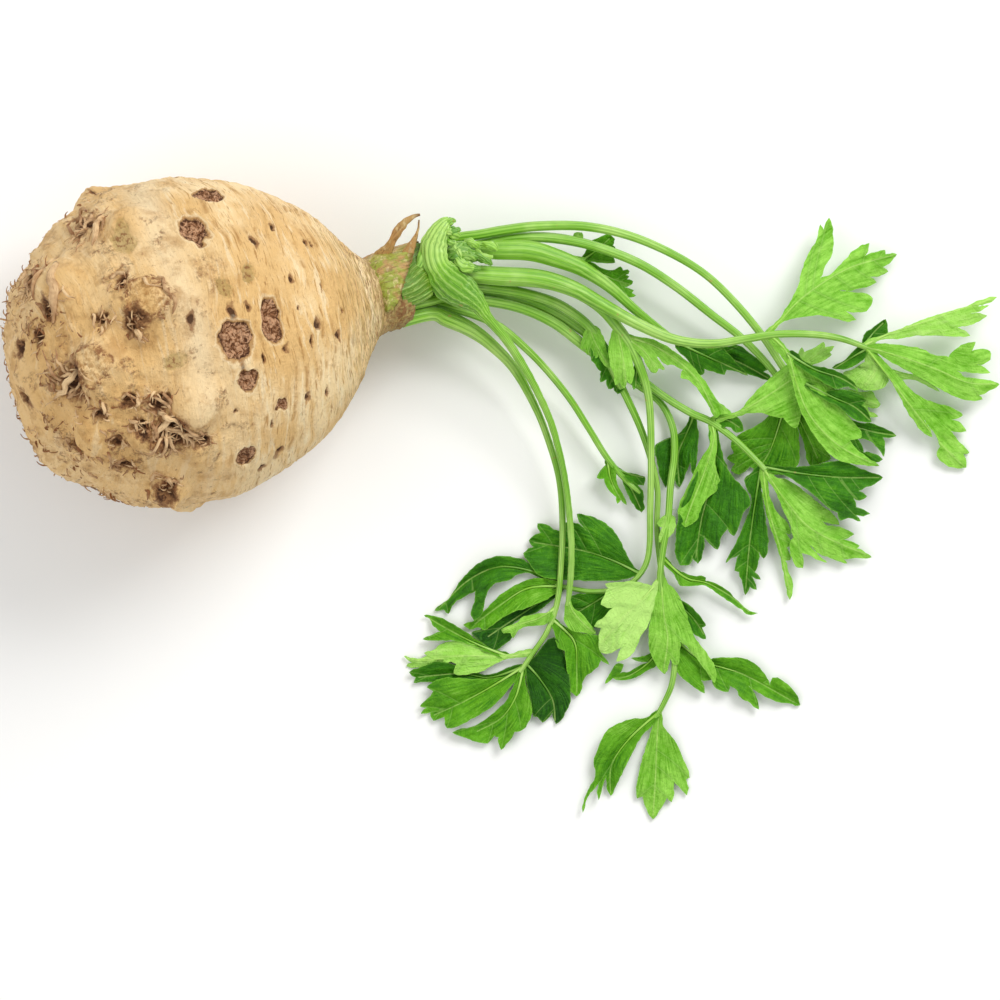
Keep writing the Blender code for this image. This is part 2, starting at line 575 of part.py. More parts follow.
def make_middle_stalks():
    """The four stalks in the middle of the crown, which carry most of the leaves."""
    stalk(
        "stalk_long", (4.5, 3.5, 2.6),
        [(-14, 82.6, 29.9, 3.2), (0, 81.6, 28, 3.5), (12, 81, 26.6, 3.4), (20, 79.4, 25.6, 3.2),
         (28, 76.4, 24.9, 2.9), (36, 72, 24.3, 2.5), (46, 66.4, 23.8, 2.2), (57, 61, 23.4, 2.0),
         (66, 58, 23, 1.8), (78, 57, 22.2, 1.6), (90, 58.8, 21.5, 1.5), (102, 60.6, 20.2, 1.4),
         (115, 60.5, 18.4, 1.3), (125, 59, 16.8, 1.2), (134.5, 55.8, 15, 1.0)],
        [([(97.5, 60.6, 20.7), (103, 66, 20), (112, 75, 17), (128, 85, 11), (145, 90, 6)],
          [(103.5, 65), (107, 66.2), (113, 67.2), (120, 67.2), (126, 65.6), (131, 66), (129.5, 67.6),
           (127, 69.2), (131, 68.8), (134.8, 69.2), (137.2, 74), (134, 76), (130, 76.2), (124.8, 76.8),
           (133, 77.8), (138.7, 80), (136, 82), (143, 84), (141, 85.6), (144, 87.5), (146.2, 90.4),
           (142, 90.4), (141.8, 92), (138.5, 91.2), (134.5, 89.8), (136, 94.5), (131, 92.2), (126, 87.5),
           (121, 82.5), (117.6, 81.4), (119.5, 86), (122, 90), (122.6, 96), (121, 103.8), (119, 99.3),
           (117.8, 101.3), (116.5, 96), (113, 90), (110.5, 83.5), (109.5, 79), (106, 72), (102, 66)]),
         ([(98.5, 60.3, 20.6), (105, 54, 20.4), (108.5, 43, 19), (113.5, 31, 17), (124, 20, 14.5),
           (137, 13, 11.5)],
          [(108, 52), (112, 47), (118, 43.5), (123.5, 39.8), (121, 38.2), (124.5, 34.5), (128, 30.5),
           (131, 27), (133, 23), (129.5, 21.8), (127, 22.6), (131, 18.5), (134.5, 15.8), (139.5, 12.2),
           (134, 12.5), (130, 12.9), (124, 14.5), (120, 17.5), (116, 22.5), (112.5, 28), (110, 33),
           (107.5, 41), (105.3, 49)]),
         ([(105.3, 53.6, 20.5), (115, 47.8, 19.6), (125, 44.5, 18), (131.5, 40.5, 16)],
          [(108, 54), (112, 50.4), (117, 48.6), (122, 47.7), (127, 45.2), (130.5, 42), (131.7, 39.5),
           (127, 41.3), (123.5, 40.4), (117, 43.8), (111, 47.5)]),
         ([(112, 42.5, 18.6), (122, 37.5, 16.8), (130, 34, 15.2), (136, 29, 13.5)],
          [(119, 39.4), (124, 40.3), (130.3, 39.3), (134.5, 36.3), (133, 34.5), (136.5, 28.4), (131, 28.8),
           (127.5, 31), (124, 34), (119, 36.6)]),
         ([(133.5, 56.4, 15.2), (142, 60.5, 15), (155, 65, 14), (168, 69.5, 12.5), (182, 74, 10.5)],
          [(140, 58.6), (146, 58.8), (152, 60), (160, 60.2), (168, 59.8), (173, 60.2), (168.2, 63.3),
           (172, 63.8), (176, 65.3), (179.3, 67.6), (172, 68.3), (180, 71.4), (175.8, 71), (183, 74.5),
           (177, 73.4), (171, 70.8), (164, 68.8), (158, 67), (152, 64.8), (146, 62.2), (140, 60.2)]),
         ([(134, 56, 15.1), (145, 53, 15), (160, 48, 12.5), (172, 43, 10), (183, 42.5, 7.5)],
          [(139, 57.3), (144, 57), (150, 56.2), (156, 55), (160, 53), (165, 52.4), (168, 55.5),
           (171.5, 57.4), (175, 58), (173, 54), (177, 55.4), (180.5, 54.6), (180.8, 52.5), (179, 50.3),
           (175.5, 49.6), (180.6, 46.6), (173, 46.6), (168, 47.4), (171, 45), (176, 44.4), (184, 42.4),
           (181, 40.3), (176.5, 38.3), (177.8, 36.8), (172, 36.4), (167, 38), (161, 41), (155, 44.5),
           (149, 47.5), (143, 50.8), (138.5, 53.6)]),
         ([(134.5, 55.6, 15), (142, 46, 13.6), (152, 33, 10.5), (161, 22, 6), (170, 13, 2.5)],
          [(142, 50), (146, 46), (151, 40.5), (156, 37), (160, 35.6), (166, 34), (170.7, 31), (166.5, 29.3),
           (170, 28), (172, 25), (166, 25.2), (169, 21.5), (173.2, 17), (171, 16.6), (172, 11.6),
           (168, 11.5), (164, 13), (161, 16), (162.2, 19.5), (160.5, 23.5), (156, 29.5), (159.2, 22.8),
           (156, 24.4), (152.5, 28.5), (150, 32), (146.5, 38.5), (142.5, 45), (139, 50)]),
         ([(133.5, 56.4, 14.9), (137, 61, 13.6), (141, 65, 11.5)],
          [(133, 58.6), (134, 61), (137, 63.2), (141.8, 66.3), (142.5, 64), (142.3, 60.8), (138, 58.8)]),
         ([(134.8, 55.4, 14.8), (129, 52, 13.3), (122.5, 48, 12.3)],
          [(132, 56.2), (130, 54.8), (127, 51.5), (122, 48.3), (126, 47.6), (130, 49), (134, 51.8)]),
         ([(135.5, 54, 14.3), (138, 48, 12.6), (134, 42, 11.5)],
          [(139.5, 50), (141, 47), (143, 43.5), (141, 41), (137, 40), (132, 40.7), (129, 43.5), (126, 46.5),
           (130, 48), (134, 50.5)]),
         ([(137, 50.5, 13.2), (146, 46.5, 11.5), (154, 44.3, 9.5), (161, 40.5, 8)],
          [(142, 49), (147, 47), (152, 46), (156, 44.4), (159.5, 42), (162, 39.6), (156, 42.4), (151, 44.1),
           (146, 44.3), (141, 45.5)])],
    )
    stalk(
        "stalk_forked", (3.5, -3.2, 2.6),
        [(-17, 83.5, 24, 2.7), (0, 81.8, 20.8, 2.7), (14, 80.6, 19.4, 2.6), (24, 77.8, 18.7, 2.4),
         (32, 73.8, 18.3, 2.3), (38, 69, 18, 2.1), (43, 63, 17.8, 2), (47.3, 57, 17.4, 1.8),
         (50.6, 50, 16.8, 1.7), (53.6, 41, 15.6, 1.5), (55, 30, 14, 1.35), (55.3, 12, 11.6, 1.25),
         (55, -5, 9.4, 1.2), (54.8, -17, 7.5, 1.1), (53.5, -24, 6.3, 1.1), (50, -29.3, 5.2, 1),
         (45, -32.8, 4.3, 1), (38, -34, 3.4, 0.9), (30, -33.8, 2.3, 0.9), (20, -31.7, 1.5, 0.8)],
        [([(42.5, 63.5, 17.9), (44.5, 54, 19), (46, 43, 17)],
          [(45.5, 60), (47.3, 55), (48.5, 50), (49, 45.5), (47.7, 42.2), (46.3, 44), (45.3, 40.5),
           (43.8, 43.3), (42, 41.8), (41.5, 46), (40, 50), (39.5, 55), (40.5, 61)]),
         ([(50.6, 50, 16.8), (49.8, 46, 16.2), (49.6, 41.5, 15.6)],
          [(51.2, 46), (51.3, 43), (51.8, 40.8), (49.8, 42), (48.8, 40.2), (48.2, 43.5), (48.6, 48)]),
         ([(45.5, 59.5, 17.8), (52, 55, 19.3), (57, 48.5, 18.3)],
          [(49.5, 58.2), (54, 57), (57, 53.5), (58.5, 50.5), (60.3, 47.6), (58, 48), (57, 46.3), (55, 46.8),
           (53.3, 49.5), (51.5, 52.4), (48.5, 55.5)]),
         ([(45.5, 60, 17.9), (56, 56.4, 18.6), (64, 51.5, 16.5), (69.5, 47, 14.6), (74, 41.5, 13),
           (79, 31.5, 11.9)],
          [(50, 59.8), (54, 59.2), (60, 56.8), (66, 52.8), (70.5, 49), (74.3, 44.5), (76.8, 41), (80, 36),
           (85, 31.8), (81, 31.2), (79, 29.8), (77, 33.5), (73, 39.6), (69.5, 43.5), (66, 44.6), (67, 47.6),
           (63, 49.4), (60.5, 49.6), (56, 53.5), (50, 57)]),
         ([(51.3, -27.6, 5.7), (42, -23, 4), (30, -19, 2.8), (12, -16, 2)],
          [(49.6, -25.5), (47, -21.5), (43.5, -14.5), (41, -10.8), (38, -8.5), (34, -6.5), (28, -5.5),
           (31.3, -11.3), (25, -8.2), (23, -9.5), (21.5, -8), (22, -11.8), (19.5, -11.3), (17, -9.5),
           (13.5, -9), (14.5, -12.5), (10.3, -15.3), (12, -17.8), (8.2, -20), (10, -23), (13, -27.5),
           (18, -29.4), (25, -30), (35, -30.3), (44, -30), (48.5, -28.9)]),
         ([(42, -33.5, 3.9), (35, -38, 2), (28, -42, 1.5)],
          [(41, -35), (42, -39), (41, -43), (37, -47), (33, -47.5), (29, -44), (25, -41), (25.5, -36),
           (32, -34.8), (38, -34.6)]),
         ([(22, -32, 1.7), (14, -27.5, 2.8), (0, -25, 3.8), (-12, -30, 3.4), (-23, -40.5, 1.5)],
          [(14, -26.4), (11, -24), (6, -21.8), (0, -21), (-5, -22), (-10, -25), (-14, -29), (-17.5, -34),
           (-19, -36.5), (-24.6, -41.2), (-21, -41), (-19.5, -42.5), (-18, -39.5), (-14, -36.5),
           (-9.5, -34), (-9.8, -38), (-11.2, -42), (-10, -45), (-7, -42.5), (-6, -38), (-4.5, -33.5),
           (-2, -31), (3, -30), (7, -27.7), (10, -27.3), (14, -29)]),
         ([(22.5, -32.2, 1.8), (10, -33, 3.2), (0, -39, 2.8), (-10, -46.5, 1.4)],
          [(18, -29.8), (13, -29.2), (8, -30.5), (1, -34.5), (-3, -38), (-7, -42), (-10, -45), (-14, -46.5),
           (-11.5, -48.3), (-9, -47.5), (-6, -48.5), (-1, -45), (4, -42), (10, -40), (15, -38),
           (18.6, -36)]),
         ([(23, -32.4, 1.8), (10, -41, 1.3), (-5, -51, 1.1)],
          [(16, -35.2), (10, -38.5), (2, -42.5), (-6, -47.5), (-11, -49.5), (-6, -54), (-3, -56.2),
           (1, -54), (5, -50), (3, -47), (6, -45), (13, -42), (17.5, -38.5)])],
    )
    stalk(
        "stalk_leaning", (-1.5, 1.5, 1.8),
        [(-16, 78.4, 27.2, 1.9), (0, 77, 22.6, 1.9), (12, 74.8, 19.4, 1.8), (22, 71.2, 16.4, 1.8),
         (32, 64, 13.8, 1.7), (37.5, 55.5, 12.6, 1.6), (42, 46, 11.4, 1.5), (46.5, 37, 10.4, 1.4),
         (51.5, 26, 9, 1.3), (55.5, 14, 7.6, 1.2), (57.8, 3, 6.2, 1.1), (57.6, -10, 4.7, 1.1),
         (59, -25, 3.3, 1.1), (62, -42, 2.6, 1), (65, -54, 2.4, 0.9)],
        [([(32.5, 63.4, 13.9), (35, 57, 15.2), (39, 50, 14.4)],
          [(36, 63), (38, 59), (40, 54), (41.3, 49), (39.5, 48.3), (37.5, 50), (36, 53), (35, 51.8),
           (33.6, 52.5), (33, 54.5), (31.8, 53), (31, 55.5), (29.3, 55), (30.2, 60)]),
         ([(34, 61.4, 13.6), (38, 52, 12.8), (43, 41.5, 11.6)],
          [(38.5, 58), (42, 51.5), (45, 46), (46, 42), (44.5, 39.5), (43, 38.6), (41.5, 41), (39.5, 40.6),
           (38.8, 44), (36.6, 43), (36.8, 47), (34.5, 49.8), (33.2, 51), (33, 57)]),
         ([(64, -51.5, 2.5), (75, -60, 2.6), (90, -65, 2.6), (109, -75.5, 1.4)],
          [(67, -54), (70, -57), (74, -59.3), (78.5, -58.8), (84, -58.5), (90, -59), (95, -61.8),
           (98, -65.5), (99.5, -69), (100.3, -66), (104, -67), (107.5, -70), (110.7, -76.3),
           (106, -75.5), (102, -75), (96, -72), (91.5, -69), (94.5, -73.5), (95.3, -77.8), (92, -75.3),
           (88.5, -73.3), (87, -70.5), (84.5, -69), (84, -71.3), (79.5, -70), (78, -66.8), (74, -67),
           (75.3, -71.8), (72, -70), (68, -67), (64.5, -63), (63.6, -57)]),
         ([(63.5, -48, 2.5), (56, -59, 2.6), (48, -65, 2.4), (42, -66.3, 2)],
          [(58, -56), (53, -58), (48, -58.8), (55, -60.3), (51, -61.7), (48, -63.5), (44, -64.4),
           (45.3, -61), (42.5, -61), (40.5, -64), (38.4, -68.3), (41.5, -66.2), (44, -67), (49, -66.3),
           (54, -63.5), (59, -60.3)])],
    )
    stalk(
        "stalk_fan", (-2.8, -3.0, 1.8),
        [(-18, 76.2, 22.2, 1.8), (-5, 75.3, 17.6, 1.8), (8, 73.3, 14, 1.75), (20, 68.5, 11.2, 1.7),
         (30, 62, 9, 1.65), (40, 54, 7.6, 1.6), (50, 45.7, 7.0, 1.5), (60, 38, 7.0, 1.4),
         (70, 31.8, 7.4, 1.4), (77.5, 28.4, 8.2, 1.35), (87, 21.3, 9.3, 1.2), (97.5, 10.8, 10.8, 1.0)],
        [([(76.5, 28.8, 8.1), (82, 29.8, 9.2), (88, 32, 10.6), (98, 38, 13), (107, 44, 14.6)],
          [(88, 32.8), (92, 37.5), (97.5, 43), (102, 47), (107.5, 50), (109.5, 44), (110.5, 36),
           (110, 28.5), (108.5, 26), (106, 27.5), (104, 30), (100, 30.5), (96, 31.8), (92, 31.6),
         (88, 30.6)]), ([(77.5, 28.4, 8.2), (78.5, 22, 9.4), (75, 10, 9.6), (70, -3, 8.6), (68, -9, 7.6)],
          [(77, 20.5), (73, 13.5), (69.5, 6), (65.8, -2), (65.6, -7), (68, -10.5), (72, -8), (74.5, -2),
           (77, 1), (79.6, 3), (79.8, 5.6), (82.5, 3.2), (80.4, 8), (79, 13), (79.6, 19.5)]),
         ([(78, 28, 8.2), (79.5, 21, 8.8), (78, 8, 7.6), (74, -8, 5.8), (72, -22, 3.5)],
          [(81, 20), (82.5, 14), (85, 9), (89, 4.5), (91.5, 1), (92, -2), (89.5, -5), (88, -9.5),
           (86, -13.7), (83.5, -11), (81.6, -13.6), (80, -18.7), (76.5, -16), (75, -13.5), (74.5, -20),
           (72.8, -24), (70.5, -21), (69.5, -24.4), (66, -24.5), (64.8, -22), (64.6, -12), (66, -4),
           (70, 6), (76.5, 17)]),
         ([(71, 31.4, 7.2), (70.4, 28.4, 3.2), (68.5, 24, 1.8), (65.5, 16, 1.5), (66, 5, 1.4)],
          [(72.5, 28.5), (73, 22), (72.5, 16), (71, 9), (70, 13.5), (68.5, 10), (66, 4.3), (64, 8),
           (62, 12), (61, 4), (58, 12), (57, 20), (62, 22.6), (66, 24.4), (69, 28.4)]),
         ([(79, 27.3, 8.4), (83, 29.2, 8.9), (88, 26.4, 8.6)],
          [(81.6, 31.8), (85, 31), (87.6, 30), (89.5, 25.3), (87, 24.4), (84, 26.5)]),
         ([(96.5, 11.9, 10.6), (110, 9.5, 11), (125, 8, 9.5), (140, 8, 6.5)],
          [(104, 12), (110, 12), (115, 12.6), (120, 13.6), (126, 14), (131, 12), (136, 10), (141, 8),
           (138, 5.5), (134, 4), (132, 3), (135, 1), (132, -0.6), (130, 0.3), (131, -3), (136.2, -5.5),
           (131, -6), (132.6, -8.2), (128, -7), (125, -8), (124, -5), (121, -3.5), (117, 0), (112, 4),
           (104, 9)]),
         ([(96, 12.4, 10.6), (106, -2, 9.6), (116, -12, 7.5), (135, -20.6, 3.5)],
          [(101, 8.4), (106, 7), (110, 4.5), (113, 2), (118, -2), (122, -5), (125, -9.5), (117.5, -7.3),
           (120, -9.5), (125, -10.2), (130.5, -13), (124, -15), (132.5, -17.2), (131.5, -18.2),
           (137, -21.5), (131, -21.8), (126, -22), (128, -23.8), (122, -22), (118, -20.5), (114, -17),
           (117, -20.5), (120.5, -23.5), (113, -20.5), (111, -20), (111.5, -25.5), (108.5, -24.5),
           (107.5, -22), (106.5, -17), (108, -14), (106.5, -9), (104, -4), (100.5, 4)]),
         ([(96.6, 11.8, 10.5), (98.5, -3, 8.6), (103, -18, 5.6), (106.8, -35, 2.5)],
          [(98.5, 6), (99.5, 0), (102, -5), (106, -9), (107, -13), (105, -12.5), (107.5, -17),
           (105.5, -18), (107, -22.5), (105, -22.8), (106.3, -27), (108, -31.5), (106.8, -37.3),
           (105, -31), (103.5, -23), (101, -15), (99, -9), (97, -1), (96, 5)]),
         ([(96, 12.4, 10.2), (94, 0, 7.4), (92, -15, 5), (90.5, -33, 2.4)],
          [(91.5, 9), (89.6, 7), (90.6, 4), (92.4, 0), (91, -6), (89, -11), (86, -17.5), (83, -23.6),
           (85, -22), (88, -20.5), (86.3, -26.5), (88, -27), (89, -30), (90.3, -35.5), (92, -32.4),
           (94.5, -33.5), (92.7, -28.6), (96, -29.8), (93.8, -27), (95, -24), (95.3, -19.5), (97, -22),
           (98.5, -19), (98.4, -12), (97.5, -6), (96.3, 2), (96, 8)])],
    )


def make_lower_stalks():
    """The hanging stalk, the sheathed one that crosses over its neighbours and the two outer ones."""
    stalk(
        "stalk_hanging", (-6.0, 0.2, 1.8),
        [(-20, 73.9, 26.4, 1.8), (-5, 72.7, 20.6, 1.9), (8, 70, 16.2, 1.9), (20, 64.6, 12.7, 2.0),
         (30, 57, 9.8, 1.9), (40, 49.3, 6.8, 1.5), (50, 42.4, 4.6, 1.35), (57, 37.4, 3.6, 1.3),
         (61, 32.4, 4.0, 1.3), (63.7, 25, 4.8, 1.35), (64, 16, 5.4, 1.35), (62.6, 5, 6.2, 1.3),
         (61.6, -8, 7.2, 1.25), (59.6, -20, 7.8, 1.2), (58.8, -31, 7.6, 1.2), (61.5, -44, 6.6, 1.2),
         (64, -58, 5.2, 1.1), (63.2, -68, 4.2, 1.1), (60.4, -75, 3.4, 1.0), (57.2, -81, 2.6, 0.9)],
        [([(61.7, -5, 7), (60, -10, 8.6), (58.6, -14.5, 8)],
          [(64.4, -3.5), (61.4, -5.2), (57.5, -9), (59.5, -10.4), (58.2, -16), (61.5, -14.6), (64, -11.5),
           (64.4, -7)]),
         ([(58.9, -29.5, 7.6), (52, -37, 9.6), (44, -45, 9.6), (37.4, -53, 8.2)],
          [(55.5, -32), (50, -30.5), (44, -30.6), (38.3, -31.3), (39.5, -33), (38, -36), (36.8, -39),
           (41.2, -40.2), (38, -43.5), (34.3, -47), (37, -47.5), (36, -54), (36.6, -56.3), (40, -57),
           (43, -55.5), (45, -54.3), (42.6, -60), (47, -58.5), (50, -54.5), (52, -50), (54, -47.2),
           (56.5, -40)]),
         ([(59, -28, 7.6), (60, -42, 9.0), (61.5, -52, 8.6), (60, -63, 6)],
          [(56.5, -35), (55.3, -43), (54.5, -48), (54.5, -54), (56, -59), (58, -62.5), (60.5, -64.7),
           (62, -61), (62.5, -58.8), (63.5, -61), (65.5, -61), (66, -57), (66, -52.3), (69, -55), (73, -60),
           (76, -64), (79, -68), (79.5, -64), (77.5, -59), (74.5, -55), (71.5, -51), (70, -47), (67.5, -40),
           (64.6, -34), (61.5, -31)]),
         ([(60, -35, 7.3), (70, -43, 6.5), (75, -50, 5)],
          [(66, -37), (70, -39.5), (73, -42.5), (75.7, -46.7), (74.3, -47.5), (75.7, -51.7), (72, -50.5),
           (69, -47), (65, -41.5)]),
         ([(59.4, -21.5, 7.7), (68, -29, 5.2), (76, -31, 4.5), (85, -36, 4), (92, -41.8, 3)],
          [(64.5, -25.6), (69, -27.8), (75.7, -29), (75.6, -30.2), (79, -31), (84, -34), (88, -38),
           (92, -41.4), (95, -42.2), (91.5, -42.8), (88.5, -40.6), (86, -39), (80, -35), (75, -31.9),
           (70, -32.2), (66, -32), (64, -28)]),
         ([(58.5, -78.6, 2.9), (48, -88, 3.4), (41, -98, 3), (40.5, -109, 1.5)],
          [(54, -80.6), (48, -81.3), (42, -83.5), (38, -87), (36, -91.5), (34.2, -97), (34.8, -102.5),
           (32.5, -107), (30.7, -111), (30.2, -116), (32.2, -110), (33.8, -108), (36.3, -104.5),
           (36, -111.3), (38, -105), (38.8, -102.5), (40.6, -109.8), (43, -105), (46, -99), (49, -93),
           (52, -87.5), (55.5, -84.2)]),
         ([(58.4, -78.8, 2.9), (57.5, -92, 3.4), (57, -105, 3), (56.2, -117, 1.5)],
          [(60, -84), (62, -86.5), (65, -90.5), (67.5, -96.5), (69.8, -103), (68.4, -103.6),
           (68.8, -109.6), (66.3, -107), (63.6, -103.4), (63.1, -112.2), (61.3, -110.5), (60.3, -112.5),
           (56.2, -118.5), (53.5, -114), (52.3, -110), (50.3, -110.8), (50.6, -103), (52, -97), (54, -90),
           (55.7, -85)])],
    )
    stalk(
        "stalk_outer", (-10.6, -2.2, 2.7),
        [(-20, 66.2, 25.4, 3.1), (-12, 62.6, 23.8, 2.8), (-4, 57.0, 22.2, 2.3), (5, 47.6, 19.6, 1.8),
         (13, 33, 15.6, 1.35), (18, 20, 12.3, 1.25), (21.5, 7, 9.6, 1.2), (22.7, -8, 7.2, 1.2),
         (22.2, -24, 5.3, 1.1), (20.8, -38, 4.3, 1.1), (17, -49, 3.8, 1.0), (12, -56.6, 3.4, 1.0),
         (7, -64, 2.9, 0.9)],
        [([(20.5, -40, 4.2), (14, -44, 6), (6, -46.5, 5.6), (0.6, -48.6, 4.5)],
          [(17.5, -42.3), (14, -42.2), (8, -43.5), (5, -46), (0, -48.3), (1, -49.7), (3.5, -49.5),
           (4.5, -51.5), (6, -49), (8, -47.5), (13, -46.8), (17, -46)]),
         ([(12.2, -56.3, 3.4), (3, -58.2, 3.6), (-5, -58, 4), (-15, -58, 4.2), (-27, -58.5, 2.5)],
          [(1, -57.4), (-5, -56), (-11, -53.5), (-17, -52.5), (-22, -53.5), (-25.5, -56), (-28.5, -57),
           (-26, -58.5), (-21, -59.5), (-22, -61), (-18.5, -60), (-16.5, -61), (-17.5, -64.5), (-14, -65),
           (-8, -64), (-3, -61.5), (1, -59.5)]),
         ([(-16, -58, 3.7), (-29, -59.8, 2.2), (-35.5, -58.6, 1.5)],
          [(-26, -57.4), (-31, -59), (-36, -58), (-33, -60.5), (-35, -61.8), (-30, -62.3), (-25, -61)]),
         ([(3, -58.2, 3.5), (-8, -54, 4.5), (-17, -49.5, 4), (-27.5, -43.6, 2)],
          [(-4, -55), (-8, -52.5), (-14, -48.5), (-20, -45), (-24, -43.4), (-28.5, -43), (-26, -45),
           (-25.5, -46.5), (-22.5, -49), (-25.5, -50.2), (-29, -51.8), (-24, -52.3), (-17, -52.4),
           (-10, -54.4), (-4, -57)]),
         ([(8.5, -61.8, 3), (-3, -69, 3.8), (-14, -75, 3.3), (-25, -80, 1.8)],
          [(3, -65), (-4, -66.3), (-14, -66.2), (-22, -66.3), (-27.5, -69.5), (-25, -71), (-26, -72.7),
           (-30, -76.6), (-27.5, -77.2), (-29.7, -79.4), (-26.2, -78.9), (-25, -82), (-21, -80.5),
           (-20, -84.7), (-14, -83), (-8, -79.8), (-3, -76.5), (1, -72.5), (5, -67.6)]),
         ([(8.5, -61.8, 2.9), (-4, -66, 2.2), (-15, -64.5, 1.9), (-31, -66, 1.4)],
          [(-6, -65), (-10, -63.5), (-16, -61.5), (-20, -60.5), (-24, -60), (-28, -61.5), (-34, -64),
           (-31.5, -66), (-32.3, -68), (-28, -67.6), (-24, -68), (-16, -67.5), (-6, -67.2)]),
         ([(8.3, -62, 2.9), (5.5, -73, 3.8), (0, -81, 3.3), (-9, -86, 1.5)],
          [(4.2, -70), (2.5, -73.6), (-1, -77.4), (-4, -80), (-9, -83.5), (-18, -86.3), (-13, -88.3),
           (-9, -89.8), (-5, -90.4), (-2.5, -87.5), (-1, -88), (0, -92.7), (2.5, -90), (5, -86),
           (7.5, -85.5), (10, -82.5), (11.5, -79), (10.5, -73), (9, -67.5)]),
         ([(9.2, -60.8, 2.9), (14, -66, 2.2), (19, -74, 1.8), (20, -82, 1.2)],
          [(12.5, -58), (15.5, -54), (19.5, -51), (22, -54), (24.5, -60), (25.5, -67), (25.8, -72),
           (25, -77), (22.5, -81.5), (20.3, -83.2), (19, -79), (15.3, -82.7), (13.5, -80.5),
           (12, -80.5), (11, -75), (9.6, -69), (9, -64)]),
         ([(19, -44.5, 4), (27, -52.5, 4.2), (28, -63, 3.2), (28, -72, 1.6)],
          [(23, -46.6), (27, -48.5), (33, -50), (36, -50.5), (36.5, -56), (40, -61.2), (37, -59.5),
           (34, -63.5), (31, -66), (29.5, -71), (28, -73), (26, -71.5), (25, -66), (24, -60),
           (23.5, -56), (21, -55), (19.8, -50)])],
    )
    stalk(
        "stalk_thin", (-6.4, -5.2, 1.6),
        [(-18, 70, 22, 1.7), (-8, 67, 20.6, 1.6), (0, 63, 18.8, 1.5), (8, 56.4, 16.4, 1.4),
         (16, 48.4, 13.4, 1.3), (25, 37.4, 10.4, 1.25), (32, 26.6, 8.2, 1.2), (39, 15.4, 6.4, 1.15),
         (46, 7, 5.4, 1.0), (51.5, 2.4, 4.8, 0.9)],
        [([(39.3, 15, 6.3), (40.6, 7, 6), (44.6, -0.6, 5.2)],
          [(38.6, 12.6), (35.3, 7.8), (38, 7.5), (40, 3), (42.5, 0.8), (43, -1.8), (44.3, -0.3),
           (46.4, -2.2), (45, 2), (43, 5.5), (42.3, 10)]),
         ([(45.5, 7.6, 5.5), (48.5, 3, 5), (51.6, -3.6, 4)],
          [(45.6, 4.6), (46.5, 2.2), (47.5, 0), (49, -2), (52, -5), (53.2, -3), (52.6, -1), (52.8, 1),
           (51, 4.6)]),
         ([(42, 11.6, 5.9), (47, 9.4, 5.6), (52.6, 8, 5)],
          [(45, 10.6), (49, 9.4), (53.2, 8.2), (52.8, 5), (49.5, 5.4), (45.4, 8)])],
    )


def make_sheathed_stalk():
    """The stalk with a broad ribbed sheath over the crown, a cut lobe that stands up from it and one leaf."""
    base = crown_point(3.0, 9.4, CROWN_END + 1)
    sheath = [
        (*base, 8.4, 1.1, 3.2), (-27.5, 84.2, 40.2, 9.0, 1.2, 3.4), (-21, 81.5, 38.2, 7.8, 1.3, 3.0),
        (-14, 77.2, 36, 5.4, 1.5, 1.6), (-8.5, 72, 33.4, 2.8, 1.7, 0.4), (-4, 66.2, 30.8, 1.9, 1.6, 0),
        (2, 58.2, 27.8, 1.6, 1.5, 0), (8, 49, 24.6, 1.5, 1.4, 0), (13, 40, 21.6, 1.3, 1.3, 0),
        (18.4, 28, 18, 1.25, 1.25, 0), (22.4, 13, 14.2, 1.2, 1.2, 0), (24.8, -2, 11.2, 1.2, 1.2, 0),
        (26, -18, 8.4, 1.1, 1.1, 0), (25.6, -30, 6.8, 1.1, 1.1, 0), (24.6, -39.5, 5.9, 0.9, 0.9, 0),
    ]
    lobe = [
        (-25.0, 85.0, 39.4, 3.6, 1.1, 0.6), (-24, 91, 40.2, 4.6, 1.6, 0.9),
        (-22.6, 95.6, 40.2, 3.9, 1.8, 0.8), (-20.4, 99.4, 39.6, 2.6, 1.4, 0.3),
    ]
    flap = [
        (-21.2, 97.6, 39.8, 2.0, 1.2, 0.2), (-18.6, 97.8, 39.2, 2.6, 1.2, 0.2),
        (-16.8, 96.4, 38.2, 2.0, 0.9, 0.0),
    ]
    body = strand("stalk_sheathed", sheath, STALK_GREEN, 8)
    right_leaf = (
        [(24.9, -37.5, 6.1), (27, -42, 7), (31, -46.5, 6.5), (35, -49.7, 5)],
        [(26.6, -39.8), (29, -41.5), (32, -45), (35.2, -49.8), (31, -49.5), (26, -48.5), (23.8, -46),
         (23.4, -42)],
    )
    return fuse(body, [
        strand("sheath_lobe", lobe, STALK_GREEN, 8, 4.0),
        strand("sheath_flap", flap, STALK_GREEN, 6, 3.0),
        blade("sheath_blade", *right_leaf),
    ])


def main():
    """Clear the scene and build the plant."""
    for old in list(bpy.data.objects):
        bpy.data.objects.remove(old)
    make_root()
    make_dry_husk()
    make_crown_heart()
    make_upper_stalks()
    make_middle_stalks()
    make_lower_stalks()
    make_sheathed_stalk()


main()
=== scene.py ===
"""A freshly pulled celeriac, finished: skin, corky pits, torn rootlets, a dry husk, ribbed stalks and leaves.

It is laid out as an add-on with one operator for each piece and is run as a script. Lengths are in
millimetres, in the frame of the construction before its middle is taken as the origin, and become metres in
the meshes.
"""

import math
import random
from bisect import bisect_right

import bpy
import numpy as np
from bpy.props import FloatProperty, FloatVectorProperty, PointerProperty
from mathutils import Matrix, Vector, noise
from mathutils.geometry import delaunay_2d_cdt


